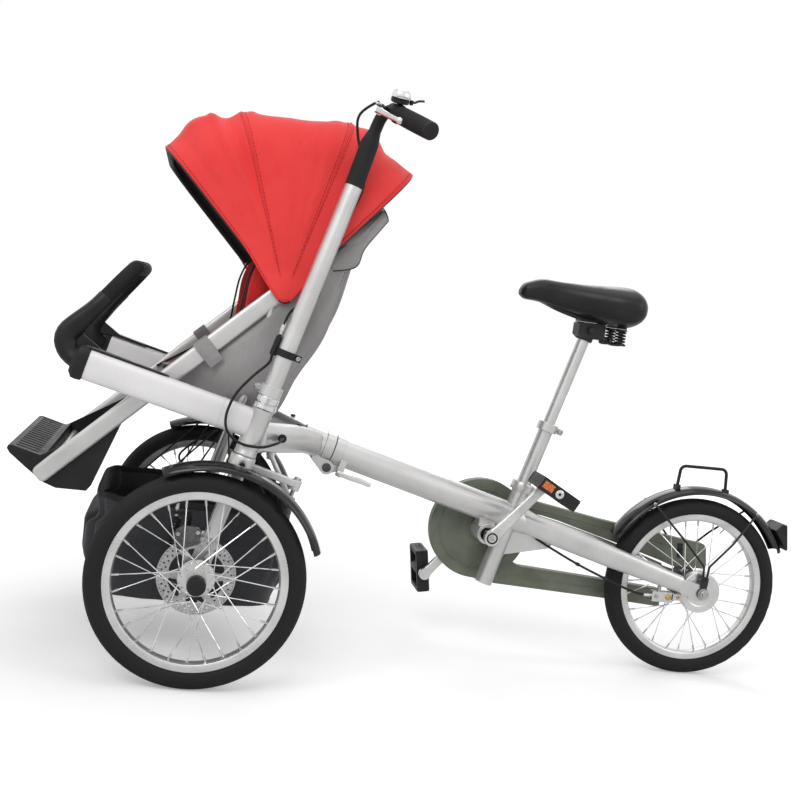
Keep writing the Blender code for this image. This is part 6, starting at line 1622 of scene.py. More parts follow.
def pedal_shapes(side, pitch):
    """Platform pedal: outer cage with toothed edges, barrel, two windows and amber reflectors."""
    centre = crank_tip(side)
    centre = Vector((centre.x, side * PEDAL_Y, centre.z))
    hl, hw, ht = 0.045, 0.039, 0.013
    cage = Shape()
    outline = [(-hl, -ht + 0.004), (-hl + 0.004, -ht), (hl - 0.004, -ht), (hl, -ht + 0.004), (hl, ht - 0.004),
               (hl - 0.004, ht), (-hl + 0.004, ht), (-hl, ht - 0.004)]
    for y0, y1 in ((-hw, -hw + 0.0095), (hw - 0.0095, hw)):
        cage.prism([(centre.x + x, centre.z + z) for x, z in outline], centre.y + y0, centre.y + y1)
    for s in (-1, 1):
        a, b = sorted((s * 0.0352, s * hl))
        cage.box((centre.x + a, centre.y - hw + 0.002, centre.z - ht), (centre.x + b, centre.y + hw - 0.002,
                                                                        centre.z + ht))
        for k in range(7):
            y = centre.y + (k - 3) * 0.0095
            x0, x1 = sorted((s * 0.0365, s * 0.0435))
            for zs in (-1, 1):
                z0, z1 = sorted((zs * (ht - 0.001), zs * (ht + 0.0)))
                cage.box((centre.x + x0, y - 0.0020, centre.z + z0),
                         (centre.x + x1, y + 0.0020, centre.z + z1))
    cage.turned([(0.0058, -0.034), (0.0125, -0.034), (0.0135, -0.030), (0.0135, 0.030), (0.0125, 0.034),
                 (0.0058, 0.034)], centre, Y, 36, closed=True)
    for s in (-1, 1):
        for y in (-0.012, 0.012):
            cage.bar(centre + Y * y + X * s * 0.010, centre + Y * y + X * s * 0.038, 0.010, 0.0035, Z)
    lens = Shape()
    for s in (-1, 1):
        a, b = sorted((s * 0.0442, s * 0.0450))
        lens.box((centre.x + a, centre.y - 0.024, centre.z - 0.0075), (centre.x + b, centre.y + 0.024,
                                                                      centre.z + 0.0075))
    y0, y1 = sorted((side * (hw - 0.0004), side * (hw + 0.0009)))
    lens.box((centre.x - 0.0400, centre.y + y0, centre.z - 0.0075), (centre.x - 0.0160, centre.y + y1,
                                                                    centre.z + 0.0075))
    caps = Shape()
    caps.turned([(0.0, 0.0), (0.0085, 0.0), (0.0090, 0.0006), (0.0088, 0.0022), (0.0070, 0.0030),
                 (0.0030, 0.0030),
                 (0.0028, 0.0016), (0.0, 0.0016)], centre + Y * side * (hw - 0.0022), Y * side, 32)
    for shape in (cage, lens, caps):
        shape.turn(pitch, centre)
    return cage, lens, caps


def post_mid_shape():
    s = Shape()
    low, top = 0.235, 0.505
    run = (top - low) / math.cos(LEAN)
    s.turned([(0.0133, 0.0), (0.0150, 0.0), (0.0155, 0.0006), (0.0155, run), (0.0133, run)], seat_point(low),
             STEER_AXIS, 48, closed=True)
    s.turned([(0.0133, -0.0142), (0.0208, -0.0142), (0.0215, -0.0134), (0.0215, 0.0034), (0.0208, 0.0041),
              (0.0133, 0.0041)], seat_point(top), STEER_AXIS, 48, closed=True)
    ear = seat_point(top - 0.005)
    for y in (-0.0045, 0.0045):
        s.bar(ear + STEER_REAR * 0.018 + Y * y, ear + STEER_REAR * 0.034 + Y * y, 0.013, 0.0050, STEER_AXIS)
    return s


def clamp_bolts(z, reach, length):
    """Clamp bolt with a socket head on one side and a nut on the other, all m0 steel."""
    s = Shape()
    at = seat_point(z) + STEER_REAR * reach
    s.rod(at - Y * length, at + Y * length, 0.0030, 18)
    s.screw(at - Y * (length - 0.003), -Y, 0.0055, 0.0050)
    s.hex(at + Y * (length - 0.003), at + Y * (length + 0.001), 0.0055)
    return s


def post_top_shape():
    """Upper post, saddle clamp cradle, bolts and the two coil springs. m1 black, m2 black as well."""
    s = Shape()
    s.rod(seat_point(0.385), seat_point(0.705), 0.0125, 48)
    head = seat_point(0.705)
    s.turned([(0.0, -0.016), (0.0168, -0.016), (0.0178, -0.014), (0.0178, 0.004), (0.0160, 0.008),
              (0.0, 0.008)],
             head, STEER_AXIS, 40, 2)
    s.prism([(head.x - 0.024, 0.7010), (head.x - 0.016, 0.6940), (head.x + 0.026, 0.6940),
             (head.x + 0.034, 0.7010),
             (head.x + 0.034, 0.7240), (head.x + 0.030, 0.7275), (head.x - 0.020, 0.7275), (head.x - 0.024,
                                                                                            0.7240)],
            -0.019, 0.019, 2)
    s.rod((head.x + 0.002, -0.0235, 0.712), (head.x + 0.002, 0.0235, 0.712), 0.0085, 32, m=2)
    s.hex(Vector((head.x + 0.002, -0.0220, 0.712)), Vector((head.x + 0.002, -0.0290, 0.712)), 0.0072, 2)
    s.hex(Vector((head.x + 0.002, 0.0220, 0.712)), Vector((head.x + 0.002, 0.0290, 0.712)), 0.0072, 2)
    for side in (-1, 1):
        foot = Vector((0.812, side * 0.030, 0.688))
        s.tube(smooth([(head.x + 0.020, side * 0.010, 0.7030), (head.x + 0.044, side * 0.0145, 0.6980),
                       (foot.x - 0.020, side * 0.026, 0.6900), (foot.x, foot.y,
                                                                0.6900)], 6), 0.0032, 0.0055, 12, Z,
               m=1)
        s.turned([(0.0, 0.0), (0.0122, 0.0), (0.0130, 0.0010), (0.0130, 0.0035), (0.0, 0.0048)], foot, Z,
                 32, 1)
        s.coil(foot + Z * 0.0038, 0.0098, 0.0019, 4.5, 0.0270, 24, 2)
        s.turned([(0.0, 0.0), (0.0124, 0.0), (0.0124, 0.0030), (0.0115, 0.0042), (0.0, 0.0042)],
                 foot + Z * 0.0302, Z,
                 32, 1)
        s.rod(foot, foot + Z * 0.032, 0.0030, 14, m=1)
    return s


def saddle_shapes():
    """Sprung saddle: crowned cover with a centre channel and a stitched skirt, on a dark pan with rails."""
    rows = [(0.594, 0.7655, 0.7785, 0.012), (0.600, 0.7610, 0.7880, 0.0185), (0.608, 0.7580, 0.7935, 0.022),
            (0.640, 0.7560, 0.8035, 0.028), (0.690, 0.7450, 0.8040, 0.038), (0.742, 0.7360, 0.8045, 0.058),
            (0.790, 0.7270, 0.8075, 0.086), (0.829, 0.7240, 0.8090, 0.096), (0.850, 0.7310, 0.8020, 0.091),
            (0.862, 0.7430, 0.7890, 0.076), (0.867, 0.7520, 0.7790, 0.062)]
    fine = []
    for k in range(len(rows) - 1):
        for i in range(4):
            t = i / 4
            p = [rows[max(k - 1, 0)], rows[k], rows[k + 1], rows[min(k + 2, len(rows) - 1)]]
            fine.append(tuple(0.5 * (2 * p[1][j] + (p[2][j] - p[0][j]) * t
                                     + (2 * p[0][j] - 5 * p[1][j] + 4 * p[2][j] - p[3][j]) * t * t
                                     + (3 * p[1][j] - p[0][j] - 3 * p[2][j]
                                        + p[3][j]) * t ** 3) for j in range(4)))
    fine.append(rows[-1])
    cover = Shape()
    rings = []
    for x, low, top, half in fine:
        ring = []
        count = 48
        for i in range(count):
            a = math.tau * (i + 0.5) / count
            c, s_ = math.cos(a), math.sin(a)
            c = math.copysign(abs(c) ** (2 / 2.7), c)
            s_ = math.copysign(abs(s_) ** (2 / 2.7), s_)
            z = (low + top) / 2 + (top - low) / 2 * c
            y = half * s_
            if c > 0.5 and 0.655 < x < 0.85:
                fade = min(1, (x - 0.655) / 0.03, (0.85 - x) / 0.03)
                z -= 0.0050 * fade * math.exp(-(y / 0.011) ** 2)
            if -0.25 < c < -0.05:
                y *= 0.985
            ring.append(Vector((x, y, z)))
        rings.append(ring)
    cover.loft(rings)
    line = Shape()
    for side in (-1, 1):
        path = []
        for x, low, top, half in fine[3:-3]:
            path.append(Vector((x, side * (half * 0.995 + 0.0002), low + (top - low) * 0.47)))
        marks = even(path, 0.0042)
        for i in range(0, len(marks) - 1):
            a, b = marks[i], marks[i].lerp(marks[i + 1], 0.62)
            line.tube([a, b], 0.00055, sides=5, up=Z)
    head = seat_point(0.705)
    pan = Shape()
    pan.box((head.x - 0.022, -0.017, 0.7280), (head.x + 0.034, 0.017, 0.750))
    for side in (-1, 1):
        top = Vector((0.812, side * 0.030, 0.7228))
        pan.rod(top, top + Z * 0.014, 0.011, 28)
        pan.tube(smooth([(0.640, side * 0.010, 0.7600), (0.690, side * 0.0165, 0.7440),
                         (head.x, side * 0.0165, 0.7320),
                         (0.800, side * 0.030, 0.7350)], 8), 0.0034, sides=12, up=Z)
    for shape in (cover, line):
        for v in shape.verts:
            v.x = 0.594 + (v.x - 0.594) * 0.935
    return cover, line, pan


def rear_fender_shape():
    """Rear mudguard, its black wire stays and stay brackets. m1 steel screws, m2 black."""
    s = fender_shape(REAR_AXLE, 0.2190, 153, 27, 64)
    for side in (-1, 1):
        at = REAR_AXLE + Y * side * 0.0688
        s.hoop(at, Y, 0.0063, 0.0125, 0.0032, 40, 2, 0.0004)
        outline = [(-0.0070, 0.008), (0.0070, 0.008), (0.0085, 0.030), (0.0060, 0.037), (-0.0060, 0.037),
                   (-0.0085, 0.030)]
        s.prism([(at.x + x, at.z + z) for x, z in outline], at.y - 0.0015, at.y + 0.0015, 2)
        for degrees in (56, 124):
            a = math.radians(degrees)
            rim = REAR_AXLE + Vector((math.cos(a), 0, math.sin(a))) * 0.2105 + Y * side * (FENDER_HALF
                                                                                           - 0.002)
            knee = at + Z * 0.033 + X * (0.0040 if degrees < 90 else -0.0040)
            rise = knee + Z * 0.026 + X * (0.0020 if degrees < 90 else -0.0020)
            bend = rise.lerp(rim, 0.45)
            bend.y = side * 0.0600
            s.tube(bent([knee, rise, bend, rim], 0.008, 5), 0.0024, sides=12, up=Y, m=2)
            s.screw(rim + Y * side * 0.0010, Y * side, 0.0034, 0.0022, 1)
            s.hex(knee - Y * side * 0.001, knee + Y * side * 0.0042, 0.0042, 2)
    loop = bent([Vector((1.000, 0, 0.3995)), Vector((1.003, 0, 0.451)), Vector((1.108, 0, 0.453)),
                 Vector((1.112, 0, 0.4010))], 0.014, 8)
    s.tube(loop, 0.0035, sides=18, up=Y, m=2)
    for x in (1.000, 1.112):
        s.bar(Vector((x, 0, 0.4100)), Vector((x, 0, 0.3995)), 0.010, 0.016, X, 2)
    return s


def reflector_shapes():
    housing, lens = Shape(), Shape()
    outline = []
    for degrees in (41, 38.5, 36, 33.5, 31):
        a = math.radians(degrees)
        outline.append((REAR_AXLE.x + 0.2193 * math.cos(a), REAR_AXLE.z + 0.2193 * math.sin(a)))
    front = outline + [(1.2600, 0.2940), (1.2625, 0.2975), (1.2535, 0.3500), (1.2500, 0.3510),
                       (1.2420, 0.3510)]
    housing.prism(front, -0.030, 0.030)
    rows = []
    for t in (0.0, 0.15, 0.85, 1.0):
        row = []
        p = Vector((1.2618, 0, 0.2990)).lerp(Vector((1.2530, 0, 0.3492)), t)
        for k in range(13):
            y = -0.0285 + 0.057 * k / 12
            bulge = 0.0050 * (1 - (y / 0.0285) ** 4) * (1 if 0 < t < 1 else 0.15)
            row.append(p + Vector((bulge + 0.0002, y, bulge * 0.17)))
        rows.append(row)
    back = [[p - X * 0.0035 for p in row] for row in rows]
    lens.loft([f + b[::-1] for f, b in zip(rows, back)])
    return housing, lens


def rear_hub_object():
    s = Shape()
    c = REAR_AXLE
    s.turned([(0.0, -0.0577), (0.0118, -0.0577), (0.0128, -0.0565), (0.0130, -0.0520), (0.0375, -0.0520),
              (0.0380, -0.0515), (0.0380, -0.0365), (0.0370, -0.0355), (0.0172, -0.0330), (0.0172, 0.0320),
              (0.0130, 0.0325), (0.0130, 0.0575), (0.0, 0.0577)], c, Y, 56)
    s.hoop(c - Y * 0.0285, Y, 0.0165, FLANGE_R, 0.0030, 56, edge=0.0006)
    s.hoop(c + Y * 0.0255, Y, 0.0165, FLANGE_R, 0.0030, 56, edge=0.0006)
    hub = make("rear_hub_shell", s, [ALLOY])
    cutter = holes(c - Y * 0.0285, 0.0292, 14, 0.00185, 0.004)
    cutter.add(holes(c + Y * 0.0255, 0.0292, 14, 0.00185, 0.004, phase=0.5))
    return drilled(hub, cutter)


def sprocket_shape():
    s = Shape()
    teeth, c = 18, REAR_AXLE + Y * CHAIN_Y
    rings = []
    for y in (-0.0012, 0.0012):
        ring = []
        for i in range(teeth * 6):
            a = math.tau * i / (teeth * 6)
            ring.append(c + Vector((math.cos(a), 0, math.sin(a))) * (0.0345
                                                                     + 0.0023 * max(-0.5,
                                                                                    math.cos(a * teeth)))
                        + Y * y)
        rings.append(ring)
    return s.loft(rings)


def band_brake_shape():
    """Band with its outer plate, actuating box, brass pivot and hanger. m1 brass, m2 steel."""
    s = Shape()
    x, z = REAR_AXLE.x, REAR_AXLE.z
    s.turned([(0.0392, -0.038), (0.0428, -0.038), (0.0440, -0.0392), (0.0440, -0.0560), (0.0428, -0.0574),
              (0.0300, -0.0574), (0.0290, -0.0566), (0.0200, -0.0566), (0.0190, -0.0575), (0.0150, -0.0575),
              (0.0150, -0.0545), (0.0392, -0.0545)], REAR_AXLE, Y, 72, closed=True)
    s.box((x - 0.106, -0.0565, z - 0.028), (x - 0.059, -0.0400, z - 0.006))
    s.box((x - 0.063, -0.0565, z - 0.022), (x - 0.038, -0.0420, z - 0.008))
    s.rod((x - 0.091, -0.0520, z - 0.008), (x - 0.091, -0.0520, stay_point(x - 0.091).z - 0.0205), 0.0042,
          20, m=2)
    s.turned([(0.0, 0.0), (0.0062, 0.0), (0.0062, 0.0030), (0.0045, 0.0042), (0.0, 0.0042)],
             Vector((x - 0.070, -0.0560, z - 0.0165)), -Y, 24, 1)
    s.screw(Vector((x - 0.096, -0.0563, z - 0.0165)), -Y, 0.0042, 0.0034, 2)
    s.screw(Vector((x - 0.048, -0.0563, z - 0.0150)), -Y, 0.0036, 0.0030, 1)
    return s


def rear_cable_shape():
    route = [Vector((0.700, -0.0100, main_point(0.700).z - 0.0245)), Vector((0.735, -0.0200, 0.2480)),
             Vector((0.790, -0.0370, 0.2240)), Vector((0.850, -0.0500, 0.2020)), Vector((0.905, -0.0520,
                                                                                         0.1830)),
             Vector((0.940, -0.0490, 0.1750)), Vector((0.9567, -0.0480, 0.1750))]
    s = Shape().tube(smooth(route, 10), 0.0024, sides=14, up=Z)
    s.rod(Vector((0.940, -0.0490, 0.1750)), Vector((0.9567, -0.0480, 0.1750)), 0.0036, 18, m=1)
    for at, along in ((Vector((0.790, -0.0370, 0.2240)), Vector((0.06, -0.015, -0.022))),
                      (Vector((0.850, -0.0500, 0.2020)), Vector((0.055, -0.006, -0.02)))):
        s.hoop(at, along, 0.0023, 0.0038, 0.0075, 20, 0, 0.0004)
    return s


def axle_shape():
    s = Shape()
    s.rod(REAR_AXLE - Y * 0.0830, REAR_AXLE + Y * 0.0830, 0.0056, 24)
    for side in (-1, 1):
        s.hex(REAR_AXLE + Y * side * 0.0583, REAR_AXLE + Y * side * 0.0607, 0.0112)
        seat = REAR_AXLE + Y * side * 0.0709
        s.rod(seat, seat + Y * side * 0.0012, 0.0120, 32)
        s.hex(seat + Y * side * 0.0010, seat + Y * side * 0.0084, 0.0100)
        s.turned([(0.0, 0.0), (0.0062, 0.0), (0.0060, 0.0030), (0.0035, 0.0040), (0.0, 0.0042)],
                 seat + Y * side * 0.0080, Y * side, 20)
    return s


def latch_shape():
    s = Shape()
    at = fold_point(0.028, -0.002, 0)
    eye_y = -0.0235 - 0.003 - 0.0003
    s.turned([(0.0, 0.0), (0.0066, 0.0), (0.0070, 0.0005), (0.0070, 0.0045), (0.0062, 0.0052), (0.0, 0.0052)],
             at + Y * eye_y, -Y, 32)
    s.rod(at + Y * (eye_y - 0.0050), at + Y * (eye_y + 0.0085), 0.0028, 18)
    s.screw(at + Y * (eye_y - 0.0048), -Y, 0.0040, 0.0022)
    start = fold_point(0.028, -0.002, eye_y - 0.0028)
    line = smooth([start, fold_point(0.050, -0.0020, eye_y - 0.0030), fold_point(0.072, -0.0005, -0.0302),
                   fold_point(0.096, -0.002, -0.0292)], 8)
    n = len(line) - 1
    s.tube(line, [0.0044 + 0.0014 * math.sin(math.pi * (i / n) ** 1.6) for i in range(n + 1)], 0.0026, 20,
           MAIN_UP,
           power=3)
    return s


def add_rear_parts():
    piece("main_tube_and_stays", "rear", rear_frame_shape(), SILVER, "silver", ["rear_frame"], bevel=0.0007,
          angle=32)
    piece("fold_lever", "latch", latch_shape(), ALLOY, "alloy", ["fold_latch"], angle=45)
    bolts = clamp_bolts(0.369, 0.030, 0.0125)
    piece("seat_clamp_bolt", "rear", bolts, STEEL, "steel")
    piece("mid_clamp_bolt", "seat_mid", clamp_bolts(0.500, 0.028, 0.0115), STEEL, "steel")
    piece("chain_cover", "rear", chain_case_shape(), OLIVE, "olive", ["chain_case"], angle=30)
    clip = Shape()
    clip.bar(Vector((1.048, CASE_NEAR_Y - 0.0012, 0.2450)), Vector((1.044, CASE_NEAR_Y - 0.0012, 0.2760)),
             0.012, 0.0024,
             X)
    clip.screw(Vector((1.046, CASE_NEAR_Y - 0.0022, 0.2600)), -Y, 0.0040, 0.0024)
    piece("cover_clip", "rear", clip, BLACK, "black", bevel=0.0005)
    piece("roller_chain", "rear", chain_shape(), DARK_STEEL, "steel", ["chain"], angle=30)
    piece("mudguard_rear", "rear", rear_fender_shape(), [GLOSS, STEEL, BLACK], "gloss_black", ["rear_fender"],
          angle=50)
    housing, lens = reflector_shapes()
    piece("reflector_housing", "rear", housing, BLACK, "black", ["reflector"], bevel=0.0008)
    piece("reflector_lens", "rear", lens, LENS_RED, "lens", angle=50)
    piece("band_brake_parts", "rear", band_brake_shape(), [ALLOY, BRASS, STEEL], "alloy", ["band_brake"],
          bevel=0.0009)
    piece("axle_and_nuts", "rear", axle_shape(), STEEL, "steel", ["rear_axle"])
    piece("rear_cable_run", "rear", rear_cable_shape(), [SOFT_BLACK, ALLOY], "black", ["rear_cable"])
    piece("tyre_tread_rear", "rear_wheel", tyre_shape(REAR_AXLE), TYRE, "rubber", ["rear_tyre"], angle=28)
    piece("rim_polished_rear", "rear_wheel", rim_shape(REAR_AXLE), RIM_ALLOY, "alloy", ["rear_rim"], angle=30)
    piece("spokes_rear", "rear_wheel", spokes_shape(REAR_AXLE, [(-0.0285, 0.0292), (0.0255, 0.0292)]),
          [CHROME, ALLOY], "alloy", angle=40)
    hub = rear_hub_object()
    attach(hub, "rear_wheel")
    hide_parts("rear_hub")
    piece("rear_sprocket", "rear_wheel", sprocket_shape(), DARK_STEEL, "steel")
    for name, side in SIDES.items():
        arm = crank_arm_shape(side)
        piece("crank_arm_" + name, "crank", arm, [ALLOY, BLACK, STEEL], "alloy", ["crank_" + name], angle=35)
        cage, lens, caps = pedal_shapes(side, math.radians(28 if side < 0 else 80))
        piece("pedal_cage_" + name, name + "_pedal", cage, BLACK, "black", ["pedal_" + name], bevel=0.0006)
        piece("pedal_reflector_" + name, name + "_pedal", lens, LENS_AMBER, "lens")
        piece("pedal_cap_" + name, name + "_pedal", caps, ALLOY, "alloy")
    piece("chainring", "crank", chainring_object(), [ALLOY], "alloy")
    piece("post_middle", "seat_mid", post_mid_shape(), SILVER, "alloy", ["seat_post_mid"], bevel=0.0005)
    piece("post_upper", "seat_top", post_top_shape(), [SILVER, BLACK, BLACK], "alloy", ["seat_post_top"])
    cover, line, pan = saddle_shapes()
    piece("saddle_cover", "seat_top", cover, HIDE, "black", ["saddle"], angle=60)
    piece("saddle_stitching", "seat_top", line, PIPING, "black")
    piece("saddle_rails", "seat_top", pan, BLACK, "black", bevel=0.0006)


def grown(obj, levels=1):
    """One round of subdivision, applied."""
    mod = obj.modifiers.new("round", "SUBSURF")
    mod.levels = levels
    mod.render_levels = levels
    return applied(obj)


def thickened(obj, thickness, offset=-1.0):
    mod = obj.modifiers.new("thickness", "SOLIDIFY")
    mod.thickness = thickness
    mod.offset = offset
    return applied(obj)


def simulated(obj, pressure, cap, frames=20, quality=5):
    """Blows a closed pad up with cloth pressure, keeping each point within cap of its start."""
    start = [v.co.copy() for v in obj.data.vertices]
    mod = obj.modifiers.new("cloth", "CLOTH")
    settings = mod.settings
    settings.quality = quality
    settings.mass = 0.3
    settings.tension_stiffness = 18
    settings.compression_stiffness = 18
    settings.bending_stiffness = 0.6
    settings.use_pressure = True
    settings.uniform_pressure_force = pressure
    settings.effector_weights.gravity = 0
    mod.point_cache.frame_start = 1
    mod.point_cache.frame_end = frames
    scene = bpy.context.scene
    for number in range(1, frames + 1):
        scene.frame_set(number)
    applied(obj)
    scene.frame_set(1)
    for vert, home in zip(obj.data.vertices, start):
        move = vert.co - home
        if move.length > cap:
            vert.co = home + move * (cap / move.length)
    return obj


def remeshed(obj, voxel):
    mod = obj.modifiers.new("voxels", "REMESH")
    mod.mode = "VOXEL"
    mod.voxel_size = voxel
    mod.use_smooth_shade = True
    return applied(obj)


def seam_line(points, radius=0.0008, dash=0.0052, gap=0.0022):
    """A run of stitches along a line."""
    s = Shape()
    line = even(points, dash + gap)
    for a, b in zip(line, line[1:]):
        s.tube([a, a.lerp(b, dash / (dash + gap))], radius, sides=5, up=X)
    return s


def ease(x, low, high):
    t = max(0.0, min(1.0, (x - low) / (high - low)))
    return t * t * (3 - 2 * t)


def hood_profile(reach, count=128):
    """Evenly spaced (y, reach) points from the left foot over the top to the right foot."""
    section = canopy_section(reach, CANOPY_HALF, CANOPY_CORNER, 0.060, 6, 12)
    foot = [(-0.2438, 0.0), (-0.2438, 0.012), (-0.2428, 0.020), (-0.2390, 0.034), (-0.2368, 0.047)]
    section = foot + section + [(-y, r) for y, r in reversed(foot)]
    line = even([(0, y, r) for y, r in section], 0.0001)
    return [(line[round(k * (len(line) - 1) / count)].y, line[round(k * (len(line) - 1) / count)].z)
            for k in range(count + 1)]


HOOD_PROFILES = {name: hood_profile(BOW_RADII[name]) for name in BOW_RADII}


def hood_edge(name):
    """The cloth's line along one bow; at its feet it covers the pivot with a rounded tip."""
    angle = BOW_ANGLES[name]
    out = canopy_out(math.radians(angle))
    turn = math.radians(225 + 95 * (135 - angle) / 85)
    toward = canopy_out(turn)
    far = 0.13 if name in ("front", "rear") else 0.035
    return [CANOPY_PIVOT + out * r + toward * (0.0125 * (1 - ease(r, 0.0, far))) + Y * y
            for y, r in HOOD_PROFILES[name]]


def hood_panel(first, last, spans, slack, crests):
    """One gore of the hood, stretched straight between two bows with slack folds in between."""
    a, b = hood_edge(first), hood_edge(last)
    grid = []
    for i in range(spans + 1):
        t = i / spans
        row = []
        for p, q in zip(a, b):
            base = p.lerp(q, t)
            out = base - CANOPY_PIVOT
            reach = Vector((out.x, 0, out.z)).length
            high = ease(reach, 0.06, 0.30)
            flat = 1 - ease(abs(base.y), 0.150, 0.232)
            push = slack * math.sin(math.pi * t) * high
            for at, wide, size, drift, low, top in crests:
                centre = at + drift * (1 - high)
                bell = max(0.0, 1 - abs(t - centre) / wide)
                bell = bell * bell * (3 - 2 * bell)
                push += size * bell * ease(reach, low, top) * (1.0 if size > 0 else 1 - 0.75 * flat)
            ripple = noise.noise(Vector((base.x * 16, base.y * 5, base.z * 16))) * 0.0030
            ripple += noise.noise(Vector((base.x * 42, base.y * 12, base.z * 42 + 7))) * 0.0009
            push += ripple * math.sin(math.pi * t) * ease(reach, 0.02, 0.10)
            radial = Vector((out.x, 0, out.z)).normalized() if reach > 0.001 else Z
            face = (radial * flat + Y * math.copysign(1 - flat, base.y)).normalized()
            row.append(base + face * push * (1.0 if flat > 0.5 else 0.55 + 0.45 * flat))
        grid.append(row)
    return grid


def add_hood():
    plan = [("front", "second", "canopy_second", "canopy_front", 36, 0.003,
             [(0.46, 0.46, 0.019, -0.05, 0.08, 0.26), (0.80, 0.17, -0.012, 0.10, 0.12, 0.22),
              (0.66, 0.10, 0.006, 0.14, 0.10, 0.18), (0.22, 0.12, -0.004, 0.10, 0.10, 0.30)]),
            ("second", "third", "canopy_third", "canopy_second", 32, -0.003,
             [(0.10, 0.08, 0.004, 0.02, 0.03, 0.10), (0.55, 0.14, -0.003, 0.0, 0.03, 0.16),
              (0.86, 0.10, 0.003, 0.0, 0.04, 0.20)]),
            ("third", "rear", "root", "canopy_third", 28, -0.002,
             [(0.30, 0.28, 0.016, 0.0, 0.22, 0.33), (0.62, 0.16, -0.003, 0.0, 0.05, 0.20)])]
    for first, last, held, moving, spans, slack, crests in plan:
        grid = hood_panel(first, last, spans, slack, crests)
        obj = make("hood_cloth_" + first, Shape().sheet(grid), [RED, DARK_CLOTH], angle=0)
        mod = obj.modifiers.new("thickness", "SOLIDIFY")
        mod.thickness = 0.0014
        mod.offset = -1.0
        mod.material_offset = 1
        applied(obj)
        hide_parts("canopy_panel_" + first)
        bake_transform(obj)
        for body, at in ((moving, 1), (held, spans - 1)):
            lines = [p + Vector((p.x - CANOPY_PIVOT.x, 0, p.z - CANOPY_PIVOT.z)).normalized() * 0.0004
                     * (1 - ease(abs(p.y), 0.15, 0.23)) + Y * math.copysign(0.0004,
                                                                            p.y) for p in grid[at][5:-5]]
            piece("hood_stitching_%s_%s" % (first, "fore" if at == 1 else "aft"), body,
                  seam_line(lines, 0.00055),
                  RED_THREAD, "red", angle=0)
    for name, body in (("front", "canopy_front"), ("rear", "root")):
        edge = hood_edge(name)
        across = Vector((-math.sin(math.radians(BOW_ANGLES[name])), 0,
                         math.cos(math.radians(BOW_ANGLES[name]))))
        inward = [p - (p - CANOPY_PIVOT).normalized() * 0.0008 for p in edge]
        piece("hood_hem_" + name, body, Shape().tube(inward, 0.0028, 0.0015, 10, across),
              RED_BINDING, "red", angle=60)
    for name, body in (("second", "canopy_second"), ("third", "canopy_third")):
        edge = hood_edge(name)[4:-4]
        across = Vector((-math.sin(math.radians(BOW_ANGLES[name])), 0,
                         math.cos(math.radians(BOW_ANGLES[name]))))
        piece("hood_seam_" + name, body, Shape().tube(edge, 0.0017, 0.0008, 8, across), RED_BINDING, "red",
              angle=60)
    for name, body in (("front", "canopy_front"), ("second", "canopy_second"), ("third", "canopy_third"),
                       ("rear", "root")):
        angle = math.radians(BOW_ANGLES[name])
        section = canopy_section(BOW_RADII[name] - BOW_IN, CANOPY_HALF - BOW_IN, CANOPY_CORNER - BOW_IN,
                                 0.078)
        path = [CANOPY_PIVOT + canopy_out(angle) * r + Y * y for y, r in section]
        sleeve = Shape().tube(path, 0.0050, 0.0050, 20, Vector((-math.sin(angle), 0, math.cos(angle))))
        piece("hood_sleeve_" + name, body, sleeve, PIPING, "dark_grey", angle=40)


SHELL_LOW = [(-0.120, 0.4985), (-0.020, 0.4783), (0.070, 0.4773), (0.112, 0.5060), (0.143, 0.5800),
             (0.183, 0.6800), (0.229, 0.8000), (0.261, 0.8720)]
SHELL_TOP = [(-0.120, 0.5150), (-0.020, 0.5850), (0.050, 0.6550), (0.075, 0.6900), (0.100, 0.7200),
             (0.150, 0.7600), (0.210, 0.8300), (0.258, 0.8760)]


SHELL_LINES = [smooth([(x, 0, z) for x, z in rows], 8) for rows in (SHELL_LOW, SHELL_TOP)]


def shell_at(t):
    """(bottom corner, rim) of the seat's fabric tub at t from 0 to 1 along it."""
    ends = []
    for pts in SHELL_LINES:
        k = max(0.0, min(1.0, t)) * (len(pts) - 1)
        i = min(int(k), len(pts) - 2)
        ends.append(pts[i].lerp(pts[i + 1], k - i))
    low = ends[0]
    swell = 0.013 * math.exp(-((low.z - 0.630) / 0.065) ** 2) - 0.009 * math.exp(-((low.z
                                                                                    - 0.775) / 0.045) ** 2)
    return low + X * swell, ends[1]


def tub_shape(spans=64):
    """The grey fabric tub: floor, back and two side walls that billow past the struts and crease."""
    grid = []
    for i in range(spans + 1):
        t = i / spans
        low, rim = shell_at(t)
        past = ease(low.x, -0.050, 0.050) * (1 - 0.80 * ease(rim.z, 0.735, 0.80))
        foot = 0.185 + 0.0205 * ease(low.x, 0.02, 0.11)
        walls = []
        for side in (-1, 1):
            wall = []
            for k in range(23):
                v = k / 22
                p = rim.lerp(low, v)
                y = 0.2045 + (foot - 0.2045) * v ** 2.2
                bulge = 0.0250 * past * ease(v, 0.02, 0.16) * (1 - ease(v, 0.72, 1.0))
                belly = 0.0030 * math.sin(math.pi * v)
                swing = math.sin(math.pi * v) * 0.9
                crease = noise.noise(Vector((p.x * 13 + 3 * side, v * 2.2, p.z * 17))) * 0.0042 * swing
                pulled = math.sin(34 * (p.x * 0.75 + p.z * 0.66) + 2.6 * v) * 0.0011 * swing
                wall.append(Vector((p.x, side * (y + bulge + belly + crease + pulled), p.z)))
            walls.append(wall)
        floor = []
        for k in range(1, 12):
            v = k / 12
            floor.append(Vector((low.x, foot * (2 * v - 1), low.z)))
        grid.append(walls[0] + floor + walls[1][::-1])
    return grid


def normal_at(t):
    a, _ = shell_at(max(0.0, t - 0.02))
    b, _ = shell_at(min(1.0, t + 0.02))
    along = (b - a).normalized()
    return Vector((-along.z, 0, along.x)), along


